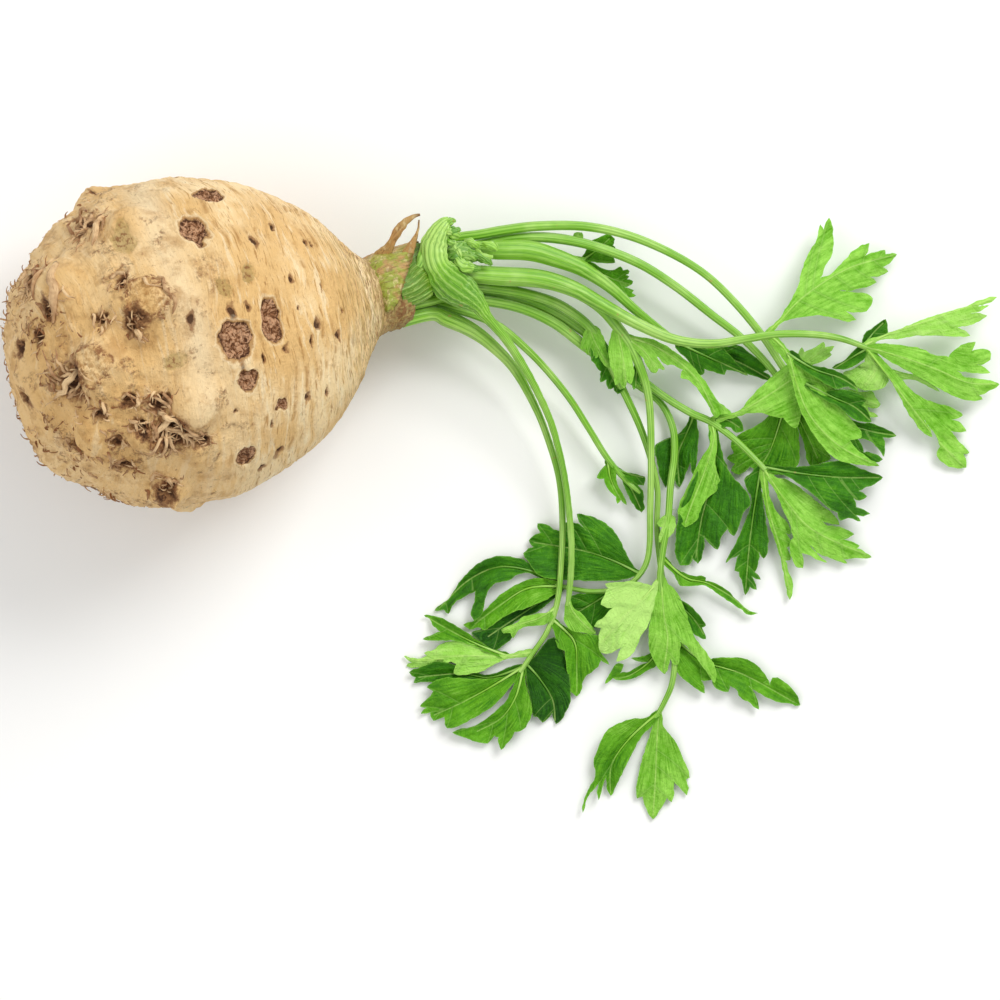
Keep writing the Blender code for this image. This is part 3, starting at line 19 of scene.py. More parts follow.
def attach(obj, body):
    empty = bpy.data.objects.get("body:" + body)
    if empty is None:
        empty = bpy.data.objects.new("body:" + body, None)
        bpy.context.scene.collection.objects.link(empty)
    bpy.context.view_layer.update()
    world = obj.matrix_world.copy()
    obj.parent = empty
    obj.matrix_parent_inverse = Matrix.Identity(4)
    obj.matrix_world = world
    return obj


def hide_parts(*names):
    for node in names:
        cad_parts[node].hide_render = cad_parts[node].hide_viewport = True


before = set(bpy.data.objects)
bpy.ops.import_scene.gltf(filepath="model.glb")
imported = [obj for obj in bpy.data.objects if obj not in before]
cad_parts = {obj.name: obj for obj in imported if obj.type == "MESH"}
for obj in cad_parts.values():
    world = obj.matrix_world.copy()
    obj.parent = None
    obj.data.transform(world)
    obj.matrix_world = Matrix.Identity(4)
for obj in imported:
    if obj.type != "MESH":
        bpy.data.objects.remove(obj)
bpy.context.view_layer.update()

bl_info = {
    "name": "Celeriac",
    "version": (1, 0, 0),
    "blender": (4, 5, 0),
    "location": "View3D > Sidebar > Celeriac",
    "description": "Finishes a freshly pulled celeriac: root, husk, crown, ribbed stalks and cut leaves",
    "category": "Object",
}

MM = 0.001
BODY = "root"
MIDDLE = Vector((-0.175, -0.95, 0.0))

# The photograph: millimetres for each pixel at table height, its side in pixels, its middle in the frame of
# the outlines, and the pixel at that frame's origin.
PIXEL = 0.37
PHOTO_SIDE = 1000
PHOTO_MIDDLE = (-0.37, -0.37)
ORIGIN_PIXEL = (501, 499)
CAMERA_HEIGHT = 3000.0
SENSOR = 36.0

# The root's axis and profile, as in the construction.
NECK = Vector((-39.9, 75.4, 33.7))
AXIS_TURN = math.radians(13.5)
AXIS_DROP = math.radians(18.0)
ROOT_PROFILE = [
    (-4.5, 11.5), (0, 13.3), (8, 14.2), (14, 20), (22, 30), (31, 39.5), (46, 49.5), (62, 56),
    (80, 59.2), (97, 58.0), (111, 53.6), (122, 47.2), (132, 38), (139.5, 27.5), (144, 16), (146, 0),
]
ROOT_ROWS = 262
ROOT_COLUMNS = 372
ROOT_SINK = 2.4
FOOT_CENTRE = (-113.0, 56.5)
FOOT_RADIUS = 17.0
SEED = 7

# Knobs seen from above: place, radius, height.
KNOBS = [
    (-130.0, 72.5, 12.0, 5.5), (-148.5, 50.0, 10.5, 4.5), (-113.5, 34.5, 10.0, 4.5),
    (-122.3, 3.0, 8.0, 3.5), (-138.0, 102.0, 9.0, 3.0), (-165.0, 80.0, 10.0, 3.5),
    (-152.0, 24.0, 9.0, 3.0), (-131.0, 22.0, 8.0, 3.0),
]
# Corky pits seen from above: place, size along the axis, size round it, depth.
PITS = [
    (-113.2, 100.4, 9.5, 14.5, 2.4), (-108.0, 112.6, 9.5, 9.5, 1.8), (-85.0, 66.0, 8.5, 15.5, 2.5),
    (-98.3, 58.5, 11.5, 15.5, 2.5), (-93.8, 43.8, 7.0, 9.5, 2.0), (-81.3, 35.3, 4.5, 6.5, 1.5),
    (-94.3, 16.2, 7.0, 8.5, 1.8), (-93.5, 84.0, 5.5, 7.0, 1.4), (-102.5, 78.5, 5.5, 8.5, 1.5),
    (-121.5, 51.0, 7.5, 7.5, 1.0), (-139.0, 95.0, 9.0, 11.0, 1.2),
]
PALE_PITS = (7, 8, 9, 10)
HIDDEN_KNOBS = 16
HIDDEN_PITS = 18
# Slits in the smooth skin seen from above: place, size along the axis, size round it.
SLITS = [
    (-77.5, 81.0, 3.0, 5.0), (-85.0, 101.5, 2.4, 4.6), (-91.5, 95.5, 2.2, 6.2), (-66.5, 78.5, 2.0, 5.4),
    (-72.5, 94.5, 2.2, 2.4), (-70.8, 95.2, 2.0, 3.2), (-68.0, 65.0, 2.4, 5.4), (-70.5, 58.5, 2.0, 5.4),
    (-60.0, 60.0, 3.2, 5.0), (-79.5, 56.0, 3.2, 5.4), (-71.0, 38.6, 3.2, 5.0), (-64.3, 40.0, 2.2, 4.4),
    (-81.5, 18.0, 4.6, 5.4), (-88.0, 12.0, 3.2, 4.0), (-122.5, 6.5, 7.0, 4.4), (-99.5, 69.5, 3.4, 7.0),
    (-114.5, 65.5, 3.2, 7.5), (-84.5, 28.0, 2.2, 5.0), (-94.0, 71.5, 2.0, 5.0), (-59.0, 69.0, 1.8, 3.0),
    (-98.0, 33.0, 2.0, 3.4), (-75.0, 71.0, 2.0, 2.6), (-96.0, 49.5, 2.2, 6.4), (-88.5, 52.5, 2.0, 4.6),
]
HIDDEN_SLITS = 60
# Round caps on the knobs seen from above: place, size across.
CAPS = [(-130.5, 73.0, 15.0), (-145.5, 50.5, 6.0), (-123.5, 25.0, 13.0), (-151.0, 50.0, 13.0)]
# Tufts of torn rootlets seen from above: place, reach of the dark hollow round it, number of small rootlets.
TUFTS = [
    (-153.0, 101.0, 7.5, 34), (-173.0, 80.5, 6.0, 30), (-158.0, 44.0, 8.5, 40), (-121.0, 25.0, 8.5, 46),
    (-135.0, 66.0, 6.0, 26), (-156.5, 18.5, 4.0, 14), (-126.0, 36.0, 4.5, 18), (-140.0, 80.0, 4.0, 14),
    (-110.0, 22.0, 3.5, 12), (-148.0, 67.0, 3.5, 12), (-167.0, 70.0, 5.0, 14), (-140.0, 12.0, 5.0, 20),
    (-124.0, 5.0, 6.0, 26), (-137.0, 36.0, 4.0, 14), (-148.0, 32.0, 4.0, 14), (-172.0, 60.0, 4.0, 10),
    (-142.0, 22.0, 4.5, 16), (-133.0, 27.0, 4.5, 18), (-178.0, 55.0, 5.0, 14), (-176.0, 38.0, 5.0, 14),
]
HIDDEN_TUFTS = 30
FRINGE = 520
STRAW_PARTS = 8
STRAW_SINK = 0.9
# Torn strands as read in the photograph: column and row of the start and of the end and width, in
# pixels, then sideways bend, lift, and tone from light to dark.
STRANDS = [
    # The tuft at the upper left.
    (97, 219, 91, 246, 6.0, 0.1, 0.3, 0.15), (107, 217, 98, 233, 3.4, -0.15, 0.35, 0.25),
    (84, 232, 92, 221, 3.0, 0.25, 0.35, 0.3), (70, 233, 86, 231, 2.6, 0.1, 0.3, 0.35),
    (72, 222, 82, 226, 4.0, 0.5, 0.3, 0.6), (78, 214, 88, 212, 4.0, 0.4, 0.3, 0.7),
    (75, 230, 70, 221, 3.0, 0.5, 0.3, 0.8), (92, 212, 82, 219, 3.6, 0.4, 0.3, 0.5),
    (103, 232, 110, 220, 2.4, 0.2, 0.2, 0.6),
    # The clump at the left with its long strand.
    (57, 254, 31, 271, 3.4, 0.08, 0.18, 0.1), (33, 262, 24, 290, 4.0, 0.2, 0.3, 0.6),
    (30, 275, 36, 292, 3.2, -0.2, 0.3, 0.5), (25, 268, 20, 288, 3.0, 0.2, 0.3, 0.3),
    (35, 262, 36, 280, 3.0, 0.1, 0.3, 0.8), (28, 285, 18, 298, 2.6, 0.1, 0.3, 0.4),
    # Flaps of bark at the left.
    (57, 262, 49, 322, 8.5, 0.08, 0.06, 0.35), (46, 258, 38, 300, 4.5, 0.05, 0.06, 0.5),
    (62, 283, 55, 316, 4.5, -0.1, 0.06, 0.4), (65, 284, 76, 297, 2.6, -0.25, 0.25, 0.1),
    (36, 300, 46, 324, 3.6, 0.1, 0.1, 0.75),
    # Scraps round the knob in the middle.
    (135, 329, 143, 345, 5.0, 0.1, 0.3, 0.1), (131, 330, 127, 341, 2.6, 0.2, 0.2, 0.7),
    (143, 330, 148, 343, 2.6, -0.2, 0.2, 0.6), (92, 313, 91, 327, 2.8, 0.1, 0.2, 0.15),
    (98, 322, 101, 336, 2.6, 0.1, 0.2, 0.15), (147, 281, 158, 296, 3.4, -0.25, 0.3, 0.25),
    (158, 284, 166, 300, 3.0, -0.2, 0.3, 0.5), (165, 296, 168, 312, 3.0, 0.2, 0.3, 0.5),
    (152, 310, 163, 318, 2.6, 0.2, 0.2, 0.7), (110, 276, 122, 278, 3.0, 0.3, 0.3, 0.4),
    (118, 282, 128, 287, 3.0, 0.3, 0.2, 0.6),
    # The tuft at the lower left.
    (76, 369, 55, 399, 5.4, 0.1, 0.35, 0.05), (74, 377, 60, 378, 3.4, -0.1, 0.3, 0.3),
    (65, 385, 40, 352, 3.0, 0.06, 0.12, 0.55), (68, 376, 52, 349, 2.6, 0.05, 0.12, 0.5),
    (60, 384, 41, 368, 2.4, 0.08, 0.15, 0.6), (73, 366, 77, 353, 3.0, 0.1, 0.2, 0.7),
    (72, 388, 64, 397, 3.4, 0.4, 0.3, 0.5), (76, 385, 71, 398, 2.6, -0.2, 0.3, 0.4),
    (86, 391, 89, 407, 2.4, 0.1, 0.2, 0.2), (57, 392, 50, 384, 3.0, 0.3, 0.3, 0.7),
    (46, 380, 55, 392, 3.0, 0.2, 0.2, 0.8),
    # Scraps between the two lower tufts.
    (101, 402, 103, 415, 3.2, 0.15, 0.3, 0.15), (94, 418, 101, 408, 2.4, 0.2, 0.2, 0.5),
    (132, 397, 136, 408, 3.0, 0.3, 0.3, 0.15), (124, 402, 133, 400, 2.8, 0.3, 0.2, 0.5),
    (127, 421, 137, 430, 3.0, 0.3, 0.3, 0.3), (135, 431, 130, 423, 2.6, 0.3, 0.3, 0.6),
    (98, 430, 108, 437, 2.4, 0.3, 0.2, 0.6), (76, 446, 82, 452, 3.0, 0.4, 0.3, 0.9),
    (96, 455, 104, 462, 2.8, 0.3, 0.2, 0.6),
    # The large tuft below the middle.
    (158, 412, 180, 424, 4.6, 0.06, 0.3, 0.1), (172, 417, 152, 431, 5.0, 0.06, 0.3, 0.05),
    (168, 428, 162, 447, 3.4, 0.06, 0.35, 0.2), (170, 430, 186, 443, 3.6, 0.05, 0.3, 0.15),
    (176, 436, 197, 431, 3.0, 0.06, 0.3, 0.4), (153, 440, 160, 420, 3.0, 0.1, 0.3, 0.6),
    (164, 432, 148, 446, 2.8, 0.1, 0.3, 0.4), (174, 432, 174, 452, 3.0, 0.08, 0.35, 0.3),
    (180, 430, 192, 446, 2.6, 0.1, 0.3, 0.5), (157, 405, 170, 411, 3.0, 0.2, 0.25, 0.5),
    (186, 422, 200, 438, 2.8, 0.1, 0.25, 0.5), (166, 436, 156, 454, 2.6, 0.1, 0.3, 0.5),
    (150, 420, 158, 436, 3.0, 0.1, 0.3, 0.6), (162, 423, 178, 433, 3.2, -0.1, 0.4, 0.2),
    (185, 440, 196, 448, 2.6, 0.1, 0.3, 0.6), (172, 444, 166, 458, 2.4, 0.1, 0.3, 0.6),
    (160, 398, 168, 406, 2.6, 0.3, 0.2, 0.6), (145, 430, 156, 440, 2.6, 0.2, 0.25, 0.7),
    # Scraps near the lower edge.
    (152, 484, 160, 478, 3.4, 0.4, 0.3, 0.5), (162, 480, 172, 484, 3.4, 0.4, 0.3, 0.4),
    (170, 486, 180, 482, 3.0, 0.4, 0.3, 0.6), (146, 490, 154, 494, 3.0, 0.3, 0.2, 0.7),
    (120, 468, 126, 458, 2.8, 0.3, 0.3, 0.7), (106, 450, 112, 462, 2.8, 0.2, 0.3, 0.7),
    (86, 474, 96, 482, 2.6, 0.2, 0.2, 0.5), (60, 440, 66, 452, 2.4, 0.2, 0.2, 0.5),
    (197, 425, 203, 436, 2.4, 0.2, 0.2, 0.6),
]
# The bright cream band that runs down the side that faces up: the skin's own pale cream with a painted
# highlight where the light falls on the top.
CREAM_AND_HIGHLIGHT_BAND = [(-131.0, 112.0), (-124.0, 98.0), (-117.0, 82.0), (-111.0, 66.0), (-107.0, 50.0), (-104.0, 34.0)]

# The crown.
CROWN_END = 4.9
HUSK_INNER = 15.1
HUSK_THICK = 0.5
HUSK_FOOT = -8.5
HUSK_REACH = 13.5
HUSK_SPAN = (math.radians(-28), math.radians(118))
HUSK_TORN_FROM = math.radians(10)
HUSK_SLANT = 16.1 / math.radians(90)
HUSK_TAN = (184, 148, 88)
HUSK_OLIVE = (156, 166, 62)
HUSK_CREAM_AND_SHEEN = (220, 198, 146)
HUSK_BROWN = (112, 74, 32)
# Crinkled scraps and cut ends in the crown's heart: start, height, half width, end, tone from dark to light.
LOBE_SCRAPS = [
    (-21.8, 98.8, 39.6, 1.3, -18.4, 102.6, 0.1), (-20.4, 99.2, 40.2, 1.2, -16.6, 101.6, 0.3),
    (-19.6, 98.4, 40.4, 1.4, -14.9, 98.4, 0.15), (-19.2, 96.6, 40.2, 1.6, -15.3, 95.8, 0.4),
    (-19.8, 94.8, 39.8, 1.2, -17.0, 93.6, 0.3), (-20.0, 97.6, 41.2, 1.0, -17.6, 96.6, 1.2),
]
HEART_SCRAPS = [
    (-20.0, 91.5, 35.5, 2.1, -14.0, 93.4, 0.25), (-19.5, 87.5, 35.5, 2.0, -13.5, 86.0, 0.1),
    (-17.5, 94.0, 35.8, 1.2, -15.4, 91.0, 0.8), (-16.6, 91.6, 36.4, 0.9, -14.6, 88.2, 1.0),
    (-17.0, 88.4, 36.8, 1.8, -10.0, 84.6, 0.45), (-14.5, 88.8, 36.6, 1.3, -9.4, 87.4, 0.3),
    (-12.5, 91.5, 36.2, 1.0, -7.0, 88.6, 0.2), (-11.0, 89.4, 36.4, 0.9, -4.5, 86.4, 0.0),
    (-9.0, 91.2, 36.0, 0.8, -3.0, 88.6, 0.8), (-8.0, 87.4, 35.8, 1.0, -3.4, 85.6, 0.1),
    (-13.5, 86.4, 35.6, 1.1, -7.5, 84.4, 0.2), (-13.0, 94.2, 35.8, 1.2, -8.4, 92.0, 0.5),
    (-18.5, 85.6, 35.0, 1.3, -13.0, 84.4, 0.0), (-7.0, 93.0, 35.0, 1.3, -1.5, 91.0, 0.6),
]
TABLE_GAP = 0.15
RIBS = 9

# Edges that turn more than this are drawn sharp.
SHARP_EDGE = math.radians(50)

# The stage, in metres: from the floor's middle to its edge, and how far the camera sees.
FLOOR_REACH = 2.5
CAMERA_REACH = 10.0
# The lamps: name, place and size in metres, and share of the main lamp's power.
LAMPS = (
    ("key_lamp", (0.72, 0.92, 1.2), 0.8, 1.0),
    ("fill_lamp", (-0.9, -0.2, 1.5), 1.2, 0.38),
)

# Leaf tones, from the pale underside to the darkest upper side; the two darkest tones are painted shade on
# blades that lie in shade.
WHITE, PALE, LIGHT, MID, SHADED, DEEP_SHADED = 1.0, 0.8, 0.62, 0.42, 0.2, 0.04


def srgb(red, green, blue):
    """A linear colour from its screen values of 0 to 255."""
    return tuple(((value / 255 + 0.055) / 1.055) ** 2.4 for value in (red, green, blue))


def colour_of(title, words, values):
    """A colour property with its default."""
    return FloatVectorProperty(
        name=title, description=words, default=srgb(*values), subtype="COLOR", min=0.0, max=1.0
    )


def length_of(title, words, default, low, high):
    """A property for a length in millimetres."""
    return FloatProperty(name=title, description=words, default=default, min=low, max=high)


class RootLook(bpy.types.PropertyGroup):
    """Colours and fine relief of the swollen root."""

    cream: colour_of("Cream", "Smooth skin on the crown's half", (250, 221, 170))
    tan: colour_of("Tan", "Skin between the cream patches", (230, 188, 124))
    # Bright is also the painted highlight in the cream band on the side that faces up.
    bright: colour_of("Bright", "The palest band of the skin", (255, 238, 200))
    rough: colour_of("Rough", "Thin lines and skin among the rootlets", (178, 128, 66))
    cork: colour_of("Cork", "Inside of the corky pits", (140, 92, 56))
    dark: colour_of("Dark", "Rims of pits and deep hollows", (62, 32, 16))
    straw: colour_of("Straw", "Torn rootlets", (232, 198, 150))
    olive: colour_of("Olive", "Healed scars and the neck", (166, 144, 84))
    lump: colour_of("Lump", "Pinkish lumps inside the pits", (206, 160, 122))
    ring_step: length_of("Ring step", "Distance between ring scars in mm", 4.7, 1.0, 20.0)
    ring_depth: length_of("Ring depth", "Depth of the ring scars in mm", 0.42, 0.0, 2.0)
    grain: length_of("Grain", "Height of the skin's fine grain in mm", 0.2, 0.0, 1.0)


class StalkLook(bpy.types.PropertyGroup):
    """Colours and ribs of the stalks."""

    pale: colour_of("Pale", "Stalks near the crown", (140, 200, 46))
    # Bright is the painted highlight on the ribs, the light threads and the pale patches.
    bright: colour_of("Bright", "Ribs and the palest patches of the stalks", (192, 230, 124))
    green: colour_of("Green", "Stalks along their length", (128, 190, 46))
    # Groove is the darker green of the grooves and also the painted shade in them and on shaded parts.
    groove: colour_of("Groove", "Grooves between the ribs", (66, 130, 6))
    olive: colour_of("Olive", "The shaded side of the sheath", (98, 128, 20))
    husk: colour_of("Husk", "Dry husk at the neck", (184, 140, 82))
    rib_share: FloatProperty(
        name="Rib height", description="Height of a rib as a share of the stalk's radius", default=0.035,
        min=0.0, max=0.3, subtype="FACTOR",
    )


class LeafLook(bpy.types.PropertyGroup):
    """Colours, waves and veins of the leaves."""

    # Deep and dark are painted shade for blades that lie in shade.
    deep: colour_of("Deep", "The darkest upper sides", (22, 74, 0))
    dark: colour_of("Dark", "Upper sides in shade", (54, 122, 4))
    middle: colour_of("Middle", "Upper sides in the light", (98, 168, 22))
    light: colour_of("Light", "Young leaves", (152, 214, 80))
    underside: colour_of("Underside", "Pale undersides", (186, 232, 122))
    vein: colour_of("Vein", "Veins", (196, 230, 128))
    thickness: length_of("Thickness", "Thickness of a blade in mm", 0.5, 0.2, 1.0)
    mesh_step: length_of("Mesh step", "Distance between a blade's points in mm", 0.9, 0.4, 3.0)
    wave: length_of("Wave", "Height of the waves in a blade in mm", 1.5, 0.0, 4.0)


class StageLook(bpy.types.PropertyGroup):
    """Floor and lamps."""

    floor: colour_of("Floor", "The pale floor", (250, 250, 248))
    sky: FloatProperty(
        name="Sky", description="Strength of the even light from all round", default=0.6, min=0.0,
    )
    key: FloatProperty(name="Key", description="Power of the main lamp", default=17.0, unit="POWER", min=0.0)


class Sheaf:
    """Points, faces and named values that are gathered into one mesh."""

    def __init__(self):
        self.points = []
        self.faces = []
        self.fields = {}
        self.count = 0

    def add(self, points, faces, **fields):
        """Adds one closed surface; a field is one value, or a value or a triple for each point."""
        points = np.asarray(points, dtype=float)
        self.faces += [tuple(i + self.count for i in face) for face in faces]
        self.points.append(points)
        for name, values in fields.items():
            values = np.asarray(values, dtype=float)
            if values.ndim == 0:
                values = np.full(len(points), float(values))
            self.fields.setdefault(name, []).append(values)
        self.count += len(points)

    def piece(self, name, finish, node):
        """Makes the piece, which rides on the body and stands for its node."""
        points = (np.concatenate(self.points) - np.array(MIDDLE)) * MM
        mesh = bpy.data.meshes.new(name)
        mesh.from_pydata(points.tolist(), [], self.faces)
        for field, parts in self.fields.items():
            values = np.concatenate(parts).astype(np.float32)
            vector = values.ndim == 2
            layer = mesh.attributes.new(field, "FLOAT_VECTOR" if vector else "FLOAT", "POINT")
            layer.data.foreach_set("vector" if vector else "value", values.ravel())
        mesh.materials.append(finish)
        mesh.shade_smooth()
        mesh.set_sharp_from_angle(angle=SHARP_EDGE)
        made = bpy.data.objects.new(name, mesh)
        bpy.context.scene.collection.objects.link(made)
        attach(made, BODY)
        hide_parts(node)
        return made


class Finish:
    """A material whose nodes are added one at a time."""

    def __init__(self, name, roughness=0.6, specular=0.35):
        self.material = bpy.data.materials.new(name)
        self.material.use_nodes = True
        self.tree = self.material.node_tree
        self.shader = self.tree.nodes["Principled BSDF"]
        self.shader.inputs["Roughness"].default_value = roughness
        self.shader.inputs["Specular IOR Level"].default_value = specular

    def node(self, kind, inputs, **settings):
        """Adds a node; an input is a value or another node's output."""
        made = self.tree.nodes.new(kind)
        for key, value in settings.items():
            setattr(made, key, value)
        for socket, value in inputs.items():
            if isinstance(value, bpy.types.NodeSocket):
                self.tree.links.new(value, made.inputs[socket])
            else:
                made.inputs[socket].default_value = value
        return made

    def field(self, name, output="Fac"):
        """A named value of the mesh."""
        return self.node("ShaderNodeAttribute", {}, attribute_name=name).outputs[output]

    def place(self):
        """The place on the object, in metres."""
        return self.node("ShaderNodeTexCoord", {}).outputs["Object"]

    def stretched(self, vector, scale):
        """A vector scaled along its axes."""
        return self.node("ShaderNodeMapping", {"Vector": vector, "Scale": scale}).outputs["Vector"]

    def noise(self, vector, scale, detail=3.0, rough=0.55, distortion=0.0):
        """Noise from 0 to 1 in a space."""
        inputs = {
            "Vector": vector, "Scale": scale, "Detail": detail, "Roughness": rough, "Distortion": distortion,
        }
        return self.node("ShaderNodeTexNoise", inputs).outputs["Fac"]

    def warped(self, vector, scale, reach):
        """A vector pushed about by noise."""
        push = self.node("ShaderNodeTexNoise", {"Vector": vector, "Scale": scale}).outputs["Color"]
        inputs = {0: push, 1: (reach, reach, reach), 2: vector}
        return self.node("ShaderNodeVectorMath", inputs, operation="MULTIPLY_ADD").outputs["Vector"]

    def cells(self, vector, scale):
        """Distance to the nearest wall between cells."""
        inputs = {"Vector": vector, "Scale": scale}
        return self.node("ShaderNodeTexVoronoi", inputs, feature="DISTANCE_TO_EDGE").outputs["Distance"]

    def maths(self, operation, first, second=0.0):
        """One sum on two values."""
        return self.node("ShaderNodeMath", {0: first, 1: second}, operation=operation).outputs[0]

    def between(self, value, low, high):
        """A smooth step from 0 at low to 1 at high."""
        inputs = {"Value": value, "From Min": low, "From Max": high}
        return self.node("ShaderNodeMapRange", inputs, interpolation_type="SMOOTHSTEP").outputs[0]

    def mix(self, share, first, second):
        """A colour between two."""
        first = first if isinstance(first, bpy.types.NodeSocket) else (*first, 1.0)
        second = second if isinstance(second, bpy.types.NodeSocket) else (*second, 1.0)
        inputs = {0: share, 6: first, 7: second}
        return self.node("ShaderNodeMix", inputs, data_type="RGBA").outputs[2]

    def shade(self, colour, to, *shares):
        """A colour moved towards another by the product of some shares."""
        share = shares[0]
        for further in shares[1:]:
            share = self.maths("MULTIPLY", share, further)
        return self.mix(share, colour, to)

    def spread(self, value, reach):
        """Noise of 0 to 1 moved to lie about zero, and scaled."""
        return self.maths("MULTIPLY", self.maths("SUBTRACT", value, 0.5), reach)

    def ramp(self, value, stops):
        """A colour along stops of (place, colour)."""
        made = self.node("ShaderNodeValToRGB", {"Fac": value})
        elements = made.color_ramp.elements
        for element, (at, colour) in zip(elements, stops):
            element.position = at
            element.color = (*colour, 1.0)
        for at, colour in stops[2:]:
            elements.new(at).color = (*colour, 1.0)
        return made.outputs["Color"]

    def bump(self, height, distance, strength=1.0):
        """Relief of a height in metres."""
        inputs = {"Height": height, "Distance": distance, "Strength": strength}
        normal = self.node("ShaderNodeBump", inputs).outputs["Normal"]
        self.tree.links.new(normal, self.shader.inputs["Normal"])

    def colour(self, value):
        """Sets the base colour."""
        self.tree.links.new(value, self.shader.inputs["Base Color"])


def spline(points, place):
    """The point at a place from 0 to 1 on the smooth curve through some points of any dimension."""
    spans = len(points) - 1
    span = min(int(place * spans), spans - 1)
    t = place * spans - span
    before = points[max(span - 1, 0)]
    start = points[span]
    end = points[span + 1]
    after = points[min(span + 2, spans)]
    return tuple(
        0.5 * (2 * b + (c - a) * t + (2 * a - 5 * b + 4 * c - d) * t**2 + (3 * b - a - 3 * c + d) * t**3)
        for a, b, c, d in zip(before, start, end, after)
    )


def evenly(points, step):
    """Points about a step apart along the smooth curve through the first three values of each point."""
    fine = [spline(points, i / (16 * (len(points) - 1))) for i in range(16 * (len(points) - 1) + 1)]
    run = [0.0]
    for a, b in zip(fine, fine[1:]):
        run.append(run[-1] + math.dist(a[:3], b[:3]))
    count = max(2, round(run[-1] / step))
    chosen = []
    for i in range(count + 1):
        wanted = run[-1] * i / count
        after = min(max(bisect_right(run, wanted), 1), len(run) - 1)
        share = (wanted - run[after - 1]) / max(run[after] - run[after - 1], 1e-9)
        share = min(max(share, 0.0), 1.0)
        chosen.append(tuple(a + (b - a) * share for a, b in zip(fine[after - 1], fine[after])))
    return chosen


ALONG = Vector((
    math.cos(AXIS_DROP) * math.cos(AXIS_TURN),
    math.cos(AXIS_DROP) * math.sin(AXIS_TURN),
    -math.sin(AXIS_DROP),
))
ACROSS = Vector((-math.sin(AXIS_TURN), math.cos(AXIS_TURN), 0.0))
UPWARD = ALONG.cross(ACROSS)


def crown_point(across, up, along):
    """A place at the crown, measured from the neck."""
    return NECK + ALONG * along + ACROSS * across + UPWARD * up


def strand(sheaf, sections, sides, step, ribs=0, rib_share=0.0, tone=0.5, crinkle=0.0, seed=0.0):
    """A stalk, strap or rootlet along sections of (x, y, z, half width, half depth, arch), with ribs.

    A section may have a tone of its own as a seventh value.
    """
    cuts = evenly(sections, step)
    length = sum(math.dist(a[:3], b[:3]) for a, b in zip(cuts, cuts[1:]))
    points = []
    rib_field = []
    along_field = []
    lay = []
    tones = []
    for i, (x, y, z, wide, deep, arch, *own_tone) in enumerate(cuts):
        here = Vector((x, y, z))
        ahead = Vector(cuts[min(i + 1, len(cuts) - 1)][:3])
        behind = Vector(cuts[max(i - 1, 0)][:3])
        forward = (ahead - behind).normalized()
        side = Vector((0.0, 0.0, 1.0)).cross(forward).normalized()
        top = forward.cross(side)
        run = length * i / (len(cuts) - 1)
        for k in range(sides):
            angle = math.tau * (k + 0.5) / sides
            wander = 0.35 * math.sin(run / 23.0 + seed) if ribs else 0.0
            rib = math.cos(ribs * angle + wander) if ribs else 0.0
            swell = 1.0 + rib_share * rib
            if crinkle:
                spot = Vector((run / 2.2, math.cos(angle) * 1.3 + seed, math.sin(angle) * 1.3))
                swell += crinkle * noise.noise(spot)
            lift = deep * swell * math.sin(angle) - arch * math.cos(angle) ** 2
            points.append(here + side * wide * swell * math.cos(angle) + top * lift)
            rib_field.append(rib)
            tones.append(own_tone[0] if own_tone else tone)
            along_field.append(run)
            lay.append((run, math.cos(angle) * max(wide, deep), math.sin(angle) * max(wide, deep)))
    faces = []
    for i in range(len(cuts) - 1):
        for k in range(sides):
            a = i * sides + k
            b = i * sides + (k + 1) % sides
            faces.append((a, b, b + sides, a + sides))
    last = (len(cuts) - 1) * sides
    faces.append(tuple(reversed(range(sides))))
    faces.append(tuple(last + k for k in range(sides)))
    share = np.array(along_field) / length
    sheaf.add(points, faces, rib=rib_field, along=along_field, share=share, lay=lay, tone=tones)


def to_segments(places, line):
    """Distance from each flat place to a line of points, with the nearest segment and the share along it."""
    starts = np.array([p[:2] for p in line[:-1]])
    runs = np.array([p[:2] for p in line[1:]]) - starts
    lengths = np.maximum((runs**2).sum(axis=1), 1e-12)
    offsets = places[:, None, :] - starts[None, :, :]
    shares = np.clip((offsets * runs).sum(axis=2) / lengths, 0.0, 1.0)
    gaps = np.linalg.norm(offsets - shares[:, :, None] * runs, axis=2)
    nearest = gaps.argmin(axis=1)
    rows = np.arange(len(places))
    return gaps[rows, nearest], nearest, shares[rows, nearest]


def are_inside(places, outline):
    """Which flat places lie inside an outline."""
    starts = np.array(outline)
    ends = np.roll(starts, -1, axis=0)
    x = places[:, 0][:, None]
    y = places[:, 1][:, None]
    spans = (starts[:, 1] > y) != (ends[:, 1] > y)
    rise = np.where(ends[:, 1] == starts[:, 1], 1e-12, ends[:, 1] - starts[:, 1])
    meets = starts[:, 0] + (y - starts[:, 1]) / rise * (ends[:, 0] - starts[:, 0])
    return (spans & (x < meets)).sum(axis=1) % 2 == 1


SHARP_TURN = math.radians(38)
SIDE_SWELL = 0.34
TOOTH = 0.55
BLADE_FOOT = 0.9


def turn_at(before, here, after):
    """The signed turn at a corner, positive to the left."""
    first = here - before
    second = after - here
    return math.atan2(first.x * second.y - first.y * second.x, first.dot(second))


